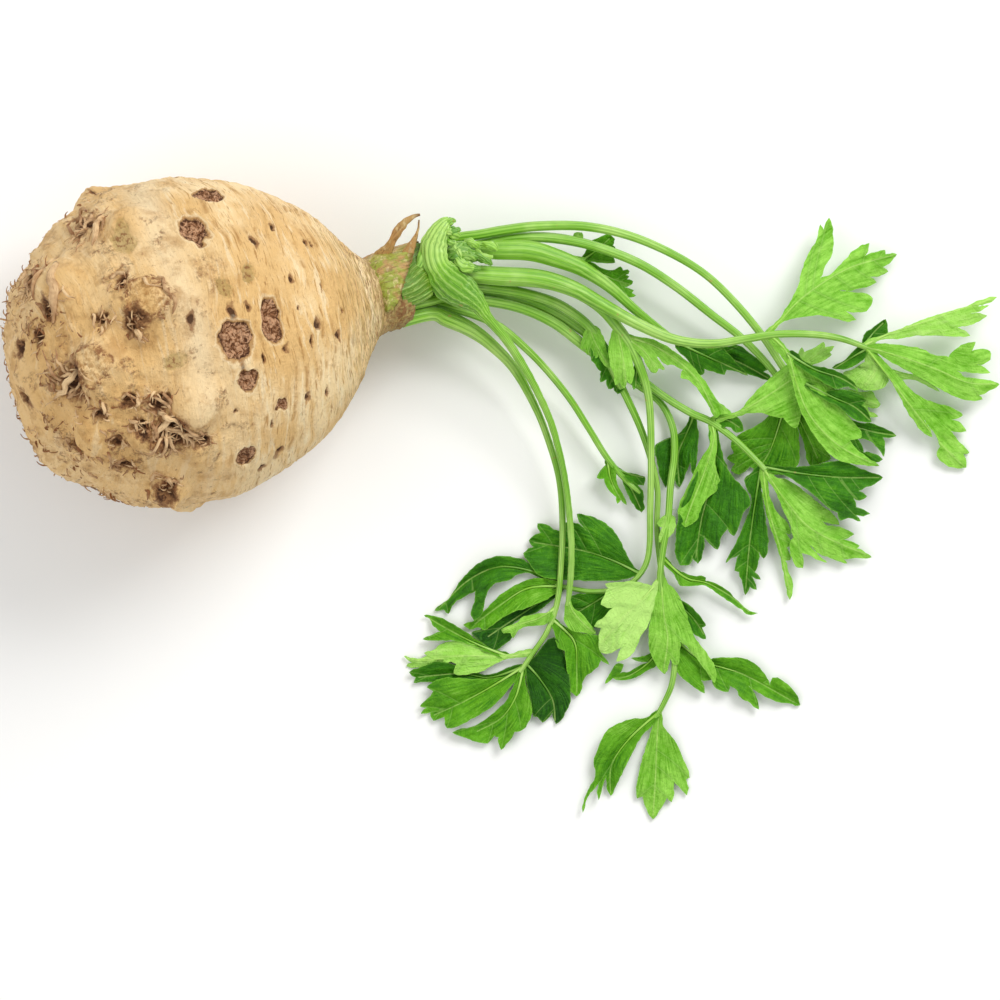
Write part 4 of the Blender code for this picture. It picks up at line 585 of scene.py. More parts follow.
def lobed(corners, step):
    """An outline with swelling sides between its sharp tips and notches, and its tips."""
    count = len(corners)
    turns = [turn_at(corners[i - 1], corners[i], corners[(i + 1) % count]) for i in range(count)]
    fine = []
    for i in range(count):
        start = corners[i]
        end = corners[(i + 1) % count]
        chord = end - start
        out = Vector((chord.y, -chord.x)) * SIDE_SWELL
        leave = chord + out
        arrive = chord - out
        if abs(turns[i]) < SHARP_TURN:
            leave = ((start - corners[i - 1]).normalized() + chord.normalized()).normalized() * chord.length
        if abs(turns[(i + 1) % count]) < SHARP_TURN:
            onward = corners[(i + 2) % count] - end
            arrive = (chord.normalized() + onward.normalized()).normalized() * chord.length
        pieces = max(1, round(chord.length / step))
        outward = Vector((chord.y, -chord.x)).normalized()
        for k in range(pieces):
            t = k / pieces
            point = start + chord * (t * t * (3 - 2 * t)) + leave * (t * (1 - t) ** 2)
            point -= arrive * (t * t * (1 - t))
            wander = noise.noise(Vector((point.x / 2.3, point.y / 2.3, 17.0)))
            point += outward * TOOTH * wander * math.sin(math.pi * t)
            fine.append(tuple(point))
    tips = [corners[i] for i in range(1, count - 1) if turns[i] > SHARP_TURN]
    return fine, tips


def side_veins(rib, tips, outline, step):
    """Curved veins from the rib towards each tip of the edge, kept inside the outline."""
    veins = []
    places = np.array([p[:2] for p in rib])
    run = [0.0]
    for a, b in zip(rib, rib[1:]):
        run.append(run[-1] + math.dist(a[:2], b[:2]))
    for tip in tips:
        away, nearest, _ = to_segments(np.array([tuple(tip)]), rib)
        if away[0] < 2.2:
            continue
        wanted = run[nearest[0]] - 0.85 * away[0]
        start = places[min(max(bisect_right(run, wanted), 1), len(rib) - 2)]
        goal = start + (np.array(tip) - start) * 0.93
        forward = places[min(nearest[0] + 1, len(rib) - 1)] - places[max(nearest[0] - 1, 0)]
        forward = forward / max(np.linalg.norm(forward), 1e-9)
        bend = (start + goal) / 2 - forward * 0.1 * away[0]
        count = max(3, round(np.linalg.norm(goal - start) / step))
        shares = np.linspace(0, 1, count)
        line = [(1 - t) ** 2 * start + 2 * t * (1 - t) * bend + t * t * goal for t in shares]
        held = are_inside(np.array(line), outline)
        held[0] = True
        if not held.all():
            line = line[:int(np.argmin(held))]
        if len(line) > 2:
            veins.append([tuple(p) for p in line])
    return veins


def blade(sheaf, look, tone, rib, edge, seed):
    """A leaf blade with a cut edge, waves, a midrib and side veins, as a thin closed plate."""
    step = look.mesh_step
    curve = [spline(rib, i / 40) for i in range(41)]
    foot = Vector(rib[0][:2])
    sideways = (Vector(rib[1][:2]) - foot).normalized().orthogonal() * BLADE_FOOT
    near_first = foot + sideways
    near_last = foot - sideways
    first = Vector(edge[0])
    last = Vector(edge[-1])
    if (near_first - first).length + (near_last - last).length > (
        (near_last - first).length + (near_first - last).length
    ):
        near_first, near_last = near_last, near_first
    corners = [near_first, *(Vector(p) for p in edge), near_last]
    if sum(a.x * b.y - b.x * a.y for a, b in zip(corners, corners[1:] + corners[:1])) < 0:
        corners.reverse()
    outline, tips = lobed(corners, step)
    midrib = [p for p in curve if are_inside(np.array([p[:2]]), outline)[0]]
    midrib = midrib[1:-1]
    veins = side_veins(midrib, tips, outline, step) if len(midrib) > 4 else []
    lines = ([[p[:2] for p in midrib]] if len(midrib) > 2 else []) + veins
    low = np.min(outline, axis=0)
    high = np.max(outline, axis=0)
    rows = np.arange(low[1], high[1], step * 0.87)
    columns = np.arange(low[0], high[0], step)
    grid = np.array([(x + (0.5 * step if r % 2 else 0.0), y) for r, y in enumerate(rows) for x in columns])
    keep = are_inside(grid, outline)
    keep &= to_segments(grid, outline + outline[:1])[0] > 0.45 * step
    for line in lines:
        keep &= to_segments(grid, line)[0] > 0.4 * step
    points = [Vector(p) for p in outline]
    bonds = [(i, (i + 1) % len(outline)) for i in range(len(outline))]
    for line in lines:
        bonds += [(len(points) + i, len(points) + i + 1) for i in range(len(line) - 1)]
        points += [Vector(p) for p in line]
    points += [Vector(p) for p in grid[keep]]
    flat, _, triangles, *_ = delaunay_2d_cdt(points, bonds, [], 1, 1e-4, False)
    flat = np.array([tuple(p) for p in flat])
    triangles = np.array(triangles)
    triangles = triangles[are_inside(flat[triangles].mean(axis=1), outline)]
    used = np.unique(triangles)
    order = np.full(len(flat), -1)
    order[used] = np.arange(len(used))
    flat = flat[used]
    triangles = order[triangles]
    mid, nearest, share = to_segments(flat, curve)
    heights = np.array([p[2] for p in curve])
    height = heights[nearest] + (heights[nearest + 1] - heights[nearest]) * share
    reach = (nearest + share) / (len(curve) - 1)
    side = np.full(len(flat), 9.0)
    for line in veins:
        side = np.minimum(side, to_segments(flat, line)[0])
    rim = to_segments(flat, outline + outline[:1])[0]
    underside = tone > 0.55
    fold = -0.15 if underside else 0.32
    slow = np.array([noise.noise(Vector((x / 8.0, y / 8.0, seed))) for x, y in flat])
    quick = np.array([noise.noise(Vector((x / 3.0, y / 3.0, seed + 5.0))) for x, y in flat])
    vein = np.maximum(np.exp(-((mid / 0.6) ** 2)), 0.7 * np.exp(-((side / 0.5) ** 2)))
    quilt = np.clip(np.minimum(mid, side) / 2.4, 0.0, 1.0)
    relief = (0.25 * vein if underside else -0.3 * vein) + (-0.15 if underside else 0.65) * quilt
    near_rim = np.clip(1.4 - rim / 4.0, 0.3, 1.0)
    wave = look.wave * (slow * np.clip(mid / 3.5, 0.15, 1.0) + 0.4 * quick * near_rim)
    run = reach * sum(math.dist(a[:2], b[:2]) for a, b in zip(curve, curve[1:]))
    ahead = np.array(curve)[nearest + 1, :2] - np.array(curve)[nearest, :2]
    offset = flat - np.array(curve)[nearest, :2]
    hand = np.sign(ahead[:, 0] * offset[:, 1] - ahead[:, 1] * offset[:, 0])
    top = height + fold * (np.minimum(mid, 6.0) - 1.5) + wave + relief
    top = np.maximum(top, look.thickness + TABLE_GAP)
    count = len(flat)
    upper = np.column_stack((flat, top))
    lower = upper - np.array((0.0, 0.0, look.thickness))
    faces = [tuple(t) for t in triangles.tolist()]
    sides = {(a, b) for t in faces for a, b in ((t[0], t[1]), (t[1], t[2]), (t[2], t[0]))}
    walls = [(a, a + count, b + count, b) for a, b in sorted(sides) if (b, a) not in sides]
    faces += [(c + count, b + count, a + count) for a, b, c in triangles.tolist()]
    both = {"mid": mid, "side": side, "rim": rim, "fan": 20.0 * hand * mid / (3.0 + run), "run": run}
    sheaf.add(
        np.concatenate((upper, lower)), faces + walls, tone=tone,
        **{name: np.tile(values, 2) for name, values in both.items()},
    )


def leafy_stalk(node, base, route, blades):
    """A ribbed stalk from its base on the crown along its route, with its blades and their midribs."""
    look = bpy.context.scene.celeriac_leaf
    rib_share = bpy.context.scene.celeriac_stalk.rib_share
    across, up, thick = base
    seed = sum(ord(letter) for letter in node) * 0.37
    ends = (CROWN_END - 3, CROWN_END + 9)
    sections = [(*crown_point(across, up, along), thick, thick, 0.0) for along in ends]
    sections += [(x, y, z, half, half, 0.0) for x, y, z, half in route]
    stem = Sheaf()
    strand(stem, sections, 4 * RIBS, 1.6, RIBS, rib_share, seed=seed)
    leaves = Sheaf()
    for i, (tone, rib, edge) in enumerate(blades):
        blade(leaves, look, tone, rib, edge, seed + 3.1 * i)
        midrib(stem, tone, rib)
    stem.piece(f"{node}_stem", stalk_finish(), node)
    leaves.piece(f"{node}_leaves", leaf_finish(), node)


def midrib(stem, tone, rib):
    """The thick near end of a blade's midrib, as a tapering strand that sinks into the blade."""
    sections = []
    for i in range(7):
        place = i / 10
        x, y, z = spline(rib, place)
        half = 0.62 * (1 - 1.25 * place)
        sections.append((x, y, z - 0.15 * half + (0.1 if tone > 0.55 else -0.05), half, half, 0.0))
    # The blade's tone gives the midrib the same painted light and shade as its blade.
    strand(stem, sections, 8, 1.2, tone=tone)


def root_radius(back):
    """The root's radius at a distance back from the neck, on a smooth curve through the profile's points."""
    if back >= ROOT_PROFILE[-1][0]:
        return 0.0
    backs = [place[0] for place in ROOT_PROFILE]
    span = max(bisect_right(backs, back) - 1, 0)
    before = ROOT_PROFILE[max(span - 1, 0)]
    start, end = ROOT_PROFILE[span:span + 2]
    after = ROOT_PROFILE[min(span + 2, len(ROOT_PROFILE) - 1)]
    length = end[0] - start[0]
    t = (back - start[0]) / length
    leaving = (end[1] - before[1]) / (end[0] - before[0]) * length
    arriving = (after[1] - start[1]) / (after[0] - start[0]) * length
    smooth = t * t * (3 - 2 * t)
    return start[1] + (end[1] - start[1]) * smooth + leaving * t * (1 - t) ** 2 - arriving * t * t * (1 - t)


def root_surface(x, y):
    """The place on the smooth root where an eye high above sees x, y, as distance back and angle round."""
    low, high = 30.0, 160.0
    for _ in range(40):
        height = (low + high) / 2
        nearer = 1 - height / CAMERA_HEIGHT
        from_neck = Vector((x * nearer, y * nearer, height)) - NECK
        out = math.hypot(from_neck.dot(ACROSS), from_neck.dot(UPWARD))
        if from_neck.dot(UPWARD) < 0 or out < root_radius(-from_neck.dot(ALONG)):
            low = height
        else:
            high = height
    return -from_neck.dot(ALONG), math.atan2(from_neck.dot(UPWARD), from_neck.dot(ACROSS))


def root_place(back, angle):
    """Point, outward direction, direction along the profile and direction round the root."""
    around = ACROSS * math.cos(angle) + UPWARD * math.sin(angle)
    radius = root_radius(back)
    slope = root_radius(back + 1.5) - root_radius(back - 1.5)
    lengthwise = (around * slope - ALONG * 3.0).normalized()
    outward = (around * 3.0 + ALONG * slope).normalized()
    turning = UPWARD * math.cos(angle) - ACROSS * math.sin(angle)
    return NECK - ALONG * back + around * radius, outward, lengthwise, turning


def marks(seen, hidden, draw, sizes):
    """Places of knobs or pits: those seen from above, then more on the sides and below from a seeded draw."""
    placed = []
    for x, y, *size in seen:
        placed.append((*root_surface(x, y), size))
    for _ in range(hidden):
        back = draw.uniform(28, 138)
        angle = draw.uniform(math.radians(190), math.radians(350))
        placed.append((back, angle, [draw.uniform(*pair) for pair in sizes]))
    return placed


def noise_at(places, scale, shift=0.0):
    """Smooth noise about zero at each place."""
    push = Vector((shift, 0.0, 0.0))
    return np.array([noise.noise(Vector(p) / scale + push) for p in places])


def smooth_step(values, low, high):
    """A smooth step from 0 at low to 1 at high."""
    share = np.clip((values - low) / (high - low), 0.0, 1.0)
    return share * share * (3 - 2 * share)


def from_mark(places, mark):
    """How far each place lies from a mark: 0 at its middle and 1 at its rim."""
    back, angle, (long_size, round_size, *_) = mark
    centre, outward, lengthwise, turning = (np.array(v) for v in root_place(back, angle))
    offset = places - centre
    away = np.hypot(offset @ lengthwise / (long_size / 2), offset @ turning / (round_size / 2))
    return np.hypot(away, offset @ outward / 8)


def spots(places, marked):
    """For each place, 1 at the middle of the nearest mark, 0 at its rim and less outside."""
    best = np.full(len(places), -1.0)
    for mark in marked:
        best = np.maximum(best, 1.0 - from_mark(places, mark))
    return best


def hollows(places, tufts):
    """For each place, 1 at a tuft's middle, 0 at the edge of its dark hollow and less outside."""
    best = np.full(len(places), -1.0)
    for back, angle, reach, _ in tufts:
        centre = np.array(root_place(back, angle)[0])
        best = np.maximum(best, 1.0 - np.linalg.norm(places - centre, axis=1) / reach)
    return best


def all_tufts():
    """Every tuft as distance back, angle round, reach of its hollow and number of rootlets."""
    draw = random.Random(SEED + 1)
    tufts = [(*root_surface(x, y), reach, count) for x, y, reach, count in TUFTS]
    for _ in range(HIDDEN_TUFTS):
        angle = draw.uniform(math.radians(-165), math.radians(-15))
        tufts.append((draw.uniform(84, 142), angle, draw.uniform(4, 9), draw.randint(4, 12)))
    return tufts


def make_root(look):
    """The swollen root with its knobs, pits, slits, ring scars, tuft hollows and grain."""
    draw = random.Random(SEED)
    first = ROOT_PROFILE[0][0]
    last = ROOT_PROFILE[-1][0]
    rings = []
    backs = []
    turns = np.arange(ROOT_COLUMNS) * math.tau / ROOT_COLUMNS
    for row in range(ROOT_ROWS):
        share = row / (ROOT_ROWS - 1)
        back = first + (last - 0.15 - first) * (0.45 * share + 0.275 * (1 - math.cos(math.pi * share)))
        backs.append(back)
        centre = np.array(NECK - ALONG * back)
        round_it = np.outer(np.cos(turns), ACROSS) + np.outer(np.sin(turns), UPWARD)
        rings.append(centre + round_it * root_radius(back))
    smooth = np.concatenate(rings)
    back = np.repeat(backs, ROOT_COLUMNS)
    angle = np.tile(turns, ROOT_ROWS)
    radius = np.linalg.norm(smooth - (np.array(NECK) - np.outer(back, ALONG)), axis=1)
    coarse = noise_at(smooth, 17.0)
    medium = noise_at(smooth, 7.0, 9.0)
    ripple = noise_at(smooth, 3.6, 51.0)
    fine = noise_at(smooth, 2.4, 3.0)
    finest = noise_at(smooth, 1.3, 6.0)
    warp = np.column_stack([noise_at(smooth, 4.0, shift) for shift in (61.0, 67.0, 73.0)])
    warped = smooth + 2.2 * warp + 0.7 * np.column_stack((fine, finest, ripple))
    knobs = marks(KNOBS, HIDDEN_KNOBS, draw, ((7, 12), (2.5, 5)))
    pits = marks(PITS, HIDDEN_PITS, draw, ((5, 10), (7, 14), (1.2, 2.4)))
    slits = [(*root_surface(x, y), size) for x, y, *size in SLITS]
    for _ in range(HIDDEN_SLITS):
        slits.append((
            draw.uniform(18, 120), draw.uniform(math.radians(170), math.radians(370)),
            (draw.uniform(1.8, 3.6), draw.uniform(2.5, 6.0)),
        ))
    tufts = all_tufts()
    corky = [pit for i, pit in enumerate(pits) if i not in PALE_PITS]
    cork = spots(warped, corky)
    healed = spots(warped, [pits[i] for i in PALE_PITS])
    slit = spots(warped, slits)
    cap = spots(warped, [(*root_surface(x, y), (size, size)) for x, y, size in CAPS])
    hollow = hollows(warped, tufts)
    relief = np.zeros(len(smooth))
    for at_back, at_angle, (reach, height) in knobs:
        centre = np.array(root_place(at_back, at_angle)[0])
        relief += 1.5 * height * np.exp(-1.4 * (np.linalg.norm(smooth - centre, axis=1) / reach) ** 3)
    for pit in pits:
        away = from_mark(warped, pit)
        relief -= pit[2][2] * (0.6 * np.exp(-1.4 * away**3) + 0.4 * smooth_step(1.12 - away, 0.0, 0.3))
        relief += 0.4 * np.exp(-(((away - 1.2) / 0.14) ** 2))
    rough = smooth_step(back + 16 * noise_at(smooth, 30.0, 4.0), 70, 96)
    far = np.clip((back - 66) / 26, 0.0, 1.0)
    relief += (0.7 + 1.9 * far) * coarse + 1.3 * far * medium
    wobble = 5.0 * noise_at(smooth, 26.0, 20.0) + 1.2 * noise_at(smooth, 7.0, 22.0)
    ring = ((back + wobble) % look.ring_step) / look.ring_step
    strength = smooth_step(noise_at(smooth, 13.0, 31.0), -0.3, 0.3) * (1.0 - 0.8 * rough)
    relief -= look.ring_depth * strength * np.exp(-(((ring - 0.5) / 0.13) ** 2))
    lay = np.column_stack((back + 0.6 * wobble, radius * np.cos(angle), radius * np.sin(angle)))
    relief += 0.32 * (1.0 - 0.5 * rough) * noise_at(lay / np.array((2.0, 17.0, 17.0)), 1.0, 81.0)
    relief += look.grain * (fine + 0.6 * finest) * (0.6 + 1.8 * rough)
    scabs = smooth_step(noise_at(smooth, 9.0, 91.0) + 0.5 * ripple, 0.2, 0.45) * rough
    relief += scabs * (0.55 * ripple + 0.5 * fine)
    relief -= 0.9 * smooth_step(slit, 0.0, 0.5)
    relief += 0.25 * np.exp(-(((slit + 0.25) / 0.2) ** 2))
    relief += smooth_step(cork, 0.0, 0.25) * (1.5 * np.abs(fine) + 1.0 * finest - 0.3)
    cap_rim = 0.9 * np.exp(-((cap / 0.14) ** 2)) * (0.6 + 1.2 * fine)
    relief += cap_rim + smooth_step(cap, -0.4, 0.2) * 0.5 * ripple
    relief -= 2.6 * smooth_step(hollow, 0.15, 0.9)
    relief += smooth_step(hollow, -0.1, 0.4) * (1.5 * ripple + 0.9 * fine)
    neck = smooth_step(-back, -24, -4)
    relief += neck * (0.5 * np.sin((back + wobble) * 2.1) * (0.5 + fine) + 0.5 * finest + 0.5 * ripple)
    edge = np.clip((back - 4) / 14, 0.0, 1.0)
    edge = np.maximum(edge, 0.6 * neck)
    foot = np.hypot(smooth[:, 0] - FOOT_CENTRE[0], smooth[:, 1] - FOOT_CENTRE[1]) / (FOOT_RADIUS * 1.25)
    edge = np.where((smooth[:, 2] < 20) & (foot < 1), edge * foot**4, edge)
    relief *= edge
    steps = np.array([root_radius(b + 1.5) - root_radius(b - 1.5) for b in backs])
    from_axis = smooth - (np.array(NECK) - np.outer(back, ALONG))
    from_axis /= np.maximum(radius, 1e-9)[:, None]
    outward = from_axis * 3.0 + np.outer(np.repeat(steps, ROOT_COLUMNS), ALONG)
    outward /= np.linalg.norm(outward, axis=1)[:, None]
    points = smooth + outward * relief[:, None]
    points[:, 2] = np.maximum(points[:, 2] - ROOT_SINK * np.clip((back - 20) / 40, 0.0, 1.0), 0.0)
    faces = []
    for row in range(ROOT_ROWS - 1):
        for k in range(ROOT_COLUMNS):
            a = row * ROOT_COLUMNS + k
            b = row * ROOT_COLUMNS + (k + 1) % ROOT_COLUMNS
            faces.append((a, a + ROOT_COLUMNS, b + ROOT_COLUMNS, b))
    tail = (ROOT_ROWS - 1) * ROOT_COLUMNS
    faces.append(tuple(range(ROOT_COLUMNS)))
    faces.append(tuple(tail + k for k in reversed(range(ROOT_COLUMNS))))
    # The band is kept to the side that faces up, where it adds a painted highlight to the skin's pale cream.
    band = np.exp(-((to_segments(smooth[:, :2], CREAM_AND_HIGHLIGHT_BAND)[0] / 6.0) ** 2)) * (smooth[:, 2] > NECK.z)
    sheaf = Sheaf()
    sheaf.add(
        points, faces, cork=cork, healed=healed, slit=slit, hollow=hollow, cap=cap, rough=rough, band=band,
        back=back, scabs=scabs, ring=strength * np.exp(-(((ring - 0.5) / 0.16) ** 2)), lay=lay,
    )
    return sheaf.piece("swollen_root_skin", root_finish(look), "swollen_root")


def on_skin(place):
    """The point of the root's finished skin that is nearest to a place."""
    skin = bpy.data.objects["swollen_root_skin"]
    point = skin.closest_point_on_mesh((Vector(place) - MIDDLE) * MM)[1]
    return point / MM + MIDDLE


def seen_at(column, row):
    """The place at table height of a pixel of the photograph, to the nearest half millimetre."""
    across = round((column - ORIGIN_PIXEL[0]) * PIXEL * 2) / 2
    up = round((ORIGIN_PIXEL[1] - row) * PIXEL * 2) / 2
    return across, up


def straw(sheaf, start, end, half, bend, lift, tone, seed):
    """A torn strand seen from above between two places on the root, sunk at its start."""
    start = Vector(start)
    run = Vector(end) - start
    sections = []
    for i in range(STRAW_PARTS):
        share = i / (STRAW_PARTS - 1)
        spot = start + run * share + run.orthogonal() * bend * 4 * share * (1 - share)
        place, outward, *_ = root_place(*root_surface(*spot))
        rise = (1.6 + lift * run.length) * (1 - math.exp(-3.5 * share))
        rise -= 0.7 * lift * run.length * share**2
        rise -= STRAW_SINK
        at = on_skin(place) + outward * rise
        wide = half * (0.8 + 0.4 * math.sin(math.pi * share)) * (1 - 0.6 * share**3)
        sections.append((*at, wide, max(0.5 * wide, 0.22), 0.15 * half))
    strand(sheaf, sections, 8, max(run.length / 9, 0.45), tone=tone, crinkle=0.3, seed=seed)


def rootlet(sheaf, draw, back, angle, long, half, lift):
    """One rootlet that leaves the skin and bends along it."""
    smooth, outward, lengthwise, turning = root_place(back, angle)
    place = on_skin(smooth)
    heading = draw.uniform(0, math.tau)
    lean = lengthwise * math.cos(heading) + turning * math.sin(heading)
    curl = lean.cross(outward) * draw.uniform(-0.6, 0.6)
    sections = []
    for i in range(5):
        share = i / 4
        rise = long * lift * share * (1.6 - share) - 0.8 + 0.9 * min(share * 3, 1.0)
        spot = place + outward * rise + (lean + curl * share) * long * share
        spot.z = max(spot.z, 1.0)
        width = half * (1.15 - 0.8 * share) * draw.uniform(0.8, 1.2)
        sections.append((*spot, width, width * 0.7, 0.0))
    strand(sheaf, sections, 6, max(long / 6, 0.4), tone=draw.random(), crinkle=0.3, seed=draw.uniform(0, 50))


def make_rootlets(look):
    """Torn rootlets: the strands seen from above, smaller ones in every tuft and hairs on the far end."""
    draw = random.Random(SEED + 2)
    sheaf = Sheaf()
    for i, (column, row, to_column, to_row, width, bend, lift, tone) in enumerate(STRANDS):
        half = round(width * PIXEL / 2, 1)
        straw(sheaf, seen_at(column, row), seen_at(to_column, to_row), half, bend, lift, tone, 1.7 * i)
    for back, angle, reach, count in all_tufts():
        for _ in range(count):
            at_back = min(back + draw.uniform(-0.8, 0.8) * reach, ROOT_PROFILE[-1][0] - 3)
            at_angle = angle + draw.uniform(-0.8, 0.8) * reach / max(root_radius(at_back), 8.0)
            long = draw.uniform(1.5, 0.5 * reach + 2.0)
            if root_place(at_back, at_angle)[0].z > 7:
                half = draw.uniform(0.22, 0.5)
                lift = draw.uniform(0.05, 0.4)
                rootlet(sheaf, draw, at_back, at_angle, long, half, lift)
    for i in range(FRINGE):
        back = draw.uniform(92, 143.5) if i % 2 else draw.uniform(130, 143.5)
        angle = draw.uniform(math.pi, math.tau) if i % 2 else draw.uniform(0, math.tau)
        if root_place(back, angle)[0].z > 7:
            long = draw.uniform(1.0, 4.2)
            half = draw.uniform(0.15, 0.4)
            lift = draw.uniform(0.1, 0.8)
            rootlet(sheaf, draw, back, angle, long, half, lift)
    return sheaf.piece("torn_rootlets", rootlet_finish(look), "swollen_root")


def make_husk(look):
    """The dry, torn husk over the neck, with a slanting torn edge, a curled strap and a thin spike."""
    columns = 130
    rows = 24
    start, end = HUSK_SPAN
    sheaf = Sheaf()
    points = {1: [], -1: []}
    lay = []
    for k in range(columns):
        angle = start + (end - start) * k / (columns - 1)
        around = ACROSS * math.cos(angle) + UPWARD * math.sin(angle)
        tear = noise.noise(Vector((k / 9.0, 0.0, 3.0))) + 0.6 * noise.noise(Vector((k / 2.4, 5.0, 3.0)))
        front = HUSK_REACH - HUSK_SLANT * max(angle - HUSK_TORN_FROM, 0.0) + 0.9 * tear
        for row in range(rows):
            share = row / (rows - 1)
            along = HUSK_FOOT + (front - HUSK_FOOT) * share
            ripple = noise.noise(Vector((k / 7.0, along / 5.0, 8.0)))
            ripple += 0.5 * noise.noise(Vector((k / 2.5, along, 4.0)))
            folds = 0.3 * math.sin(k * 0.45 + along * 0.2)
            closing = min((end - angle) / math.radians(14), 1.0)
            sunk = 1.9 * (1.0 - min(share * 3.0, 1.0)) ** 2 + 1.4 * (1.0 - closing) ** 2
            radius = HUSK_INNER + 0.5 - sunk + 0.7 * ripple + folds * share + 0.7 * share**3
            for face in points:
                points[face].append(NECK + ALONG * along + around * (radius + face * HUSK_THICK / 2))
            lay.append((along, math.cos(angle) * radius, math.sin(angle) * radius))
    count = columns * rows
    faces = []
    for k in range(columns - 1):
        for row in range(rows - 1):
            a = k * rows + row
            faces.append((a, a + rows, a + rows + 1, a + 1))
            faces.append((count + a, count + a + 1, count + a + rows + 1, count + a + rows))
    border = list(range(rows))
    border += [k * rows + rows - 1 for k in range(1, columns)]
    border += [(columns - 1) * rows + row for row in reversed(range(rows - 1))]
    border += [k * rows for k in reversed(range(1, columns - 1))]
    for a, b in zip(border, border[1:] + border[:1]):
        faces.append((a, b, b + count, a + count))
    share = [row / (rows - 1) for _ in range(columns) for row in range(rows)]
    low = np.repeat(np.linspace(0.0, 1.0, columns), rows)
    sheaf.add(
        points[1] + points[-1], faces, rib=0.0, share=np.tile(share, 2), tone=np.tile(low, 2), lay=lay + lay,
        along=0.0,
    )
    strap = [
        (-46.0, 84.5, 38.0, 3.4, 0.4, 0.8), (-43.6, 88.6, 39.5, 2.8, 0.4, 0.9),
        (-41.3, 91.6, 40.8, 1.5, 0.35, 0.5), (-39.5, 94.6, 42.4, 1.3, 0.3, 0.4),
        (-37.4, 98.0, 43.6, 1.7, 0.3, 0.6), (-34.5, 101.2, 44.8, 1.2, 0.3, 0.4),
        (-32.0, 103.0, 45.1, 0.8, 0.3, 0.1), (-29.5, 103.6, 45.0, 0.4, 0.25, 0.0),
    ]
    fold = [
        (-43.0, 86.0, 38.8, 1.4, 0.35, 0.2), (-40.2, 91.0, 41.2, 0.9, 0.3, 0.2),
        (-38.6, 95.0, 42.6, 0.5, 0.25, 0.0),
    ]
    spike = [
        (-35.5, 86.5, 40.4, 2.6, 0.35, 0.3), (-33.4, 91.0, 41.9, 1.8, 0.3, 0.3),
        (-31.3, 95.5, 42.7, 0.8, 0.3, 0.1), (-30.2, 98.5, 43.0, 0.45, 0.25, 0.0),
        (-29.9, 101.8, 43.0, 0.3, 0.25, 0.0),
    ]
    for i, sections in enumerate((strap, fold, spike)):
        strand(sheaf, sections, 16, 0.6, tone=0.1 * i, crinkle=0.35, seed=2.0 + i)
    return sheaf.piece("dry_husk_skin", husk_finish(look), "dry_husk")


def make_heart(look):
    """The heart of the crown: short cut stalk ends with crinkled scraps of leaf."""
    sheaf = Sheaf()
    root = (*crown_point(9.5, 4.4, CROWN_END), 1.7, 1.7, 0.0)
    trunk = [
        root, (-24.0, 89.0, 32.3, 2.6, 1.9, 0.0), (-17.0, 90.0, 34.0, 4.2, 2.6, 0.4),
        (-12.5, 89.6, 34.4, 3.6, 2.2, 0.4), (-10.0, 89.2, 34.0, 2.0, 1.4, 0.0),
    ]
    strand(sheaf, trunk, 60, 0.6, 13, look.rib_share, tone=0.2, crinkle=0.3, seed=1.0)
    scraps(sheaf, HEART_SCRAPS)
    return sheaf.piece("crown_heart_ends", stalk_finish(), "crown_heart")


def scraps(sheaf, places):
    """Short crinkled ends and frills, each from its start to its tip."""
    for i, (x, y, z, half, to_x, to_y, tone) in enumerate(places):
        run = Vector((to_x - x, to_y - y))
        bend = run.orthogonal() * (0.12 if i % 2 else -0.12)
        sections = [
            (x, y, z - 1.5, half * 0.7, half * 0.6, 0.0),
            (x + run.x * 0.3 + bend.x, y + run.y * 0.3 + bend.y, z + 0.3, half, half * 0.55, 0.3 * half),
            (x + run.x * 0.7 + bend.x, y + run.y * 0.7 + bend.y, z + 0.5, half * 1.1, half * 0.4, 0.5 * half),
            (to_x, to_y, z - 0.6, half * 0.6, half * 0.3, 0.0),
        ]
        strand(sheaf, sections, 40, 0.4, 8, 0.06, tone=tone, crinkle=0.75, seed=3.0 * i)


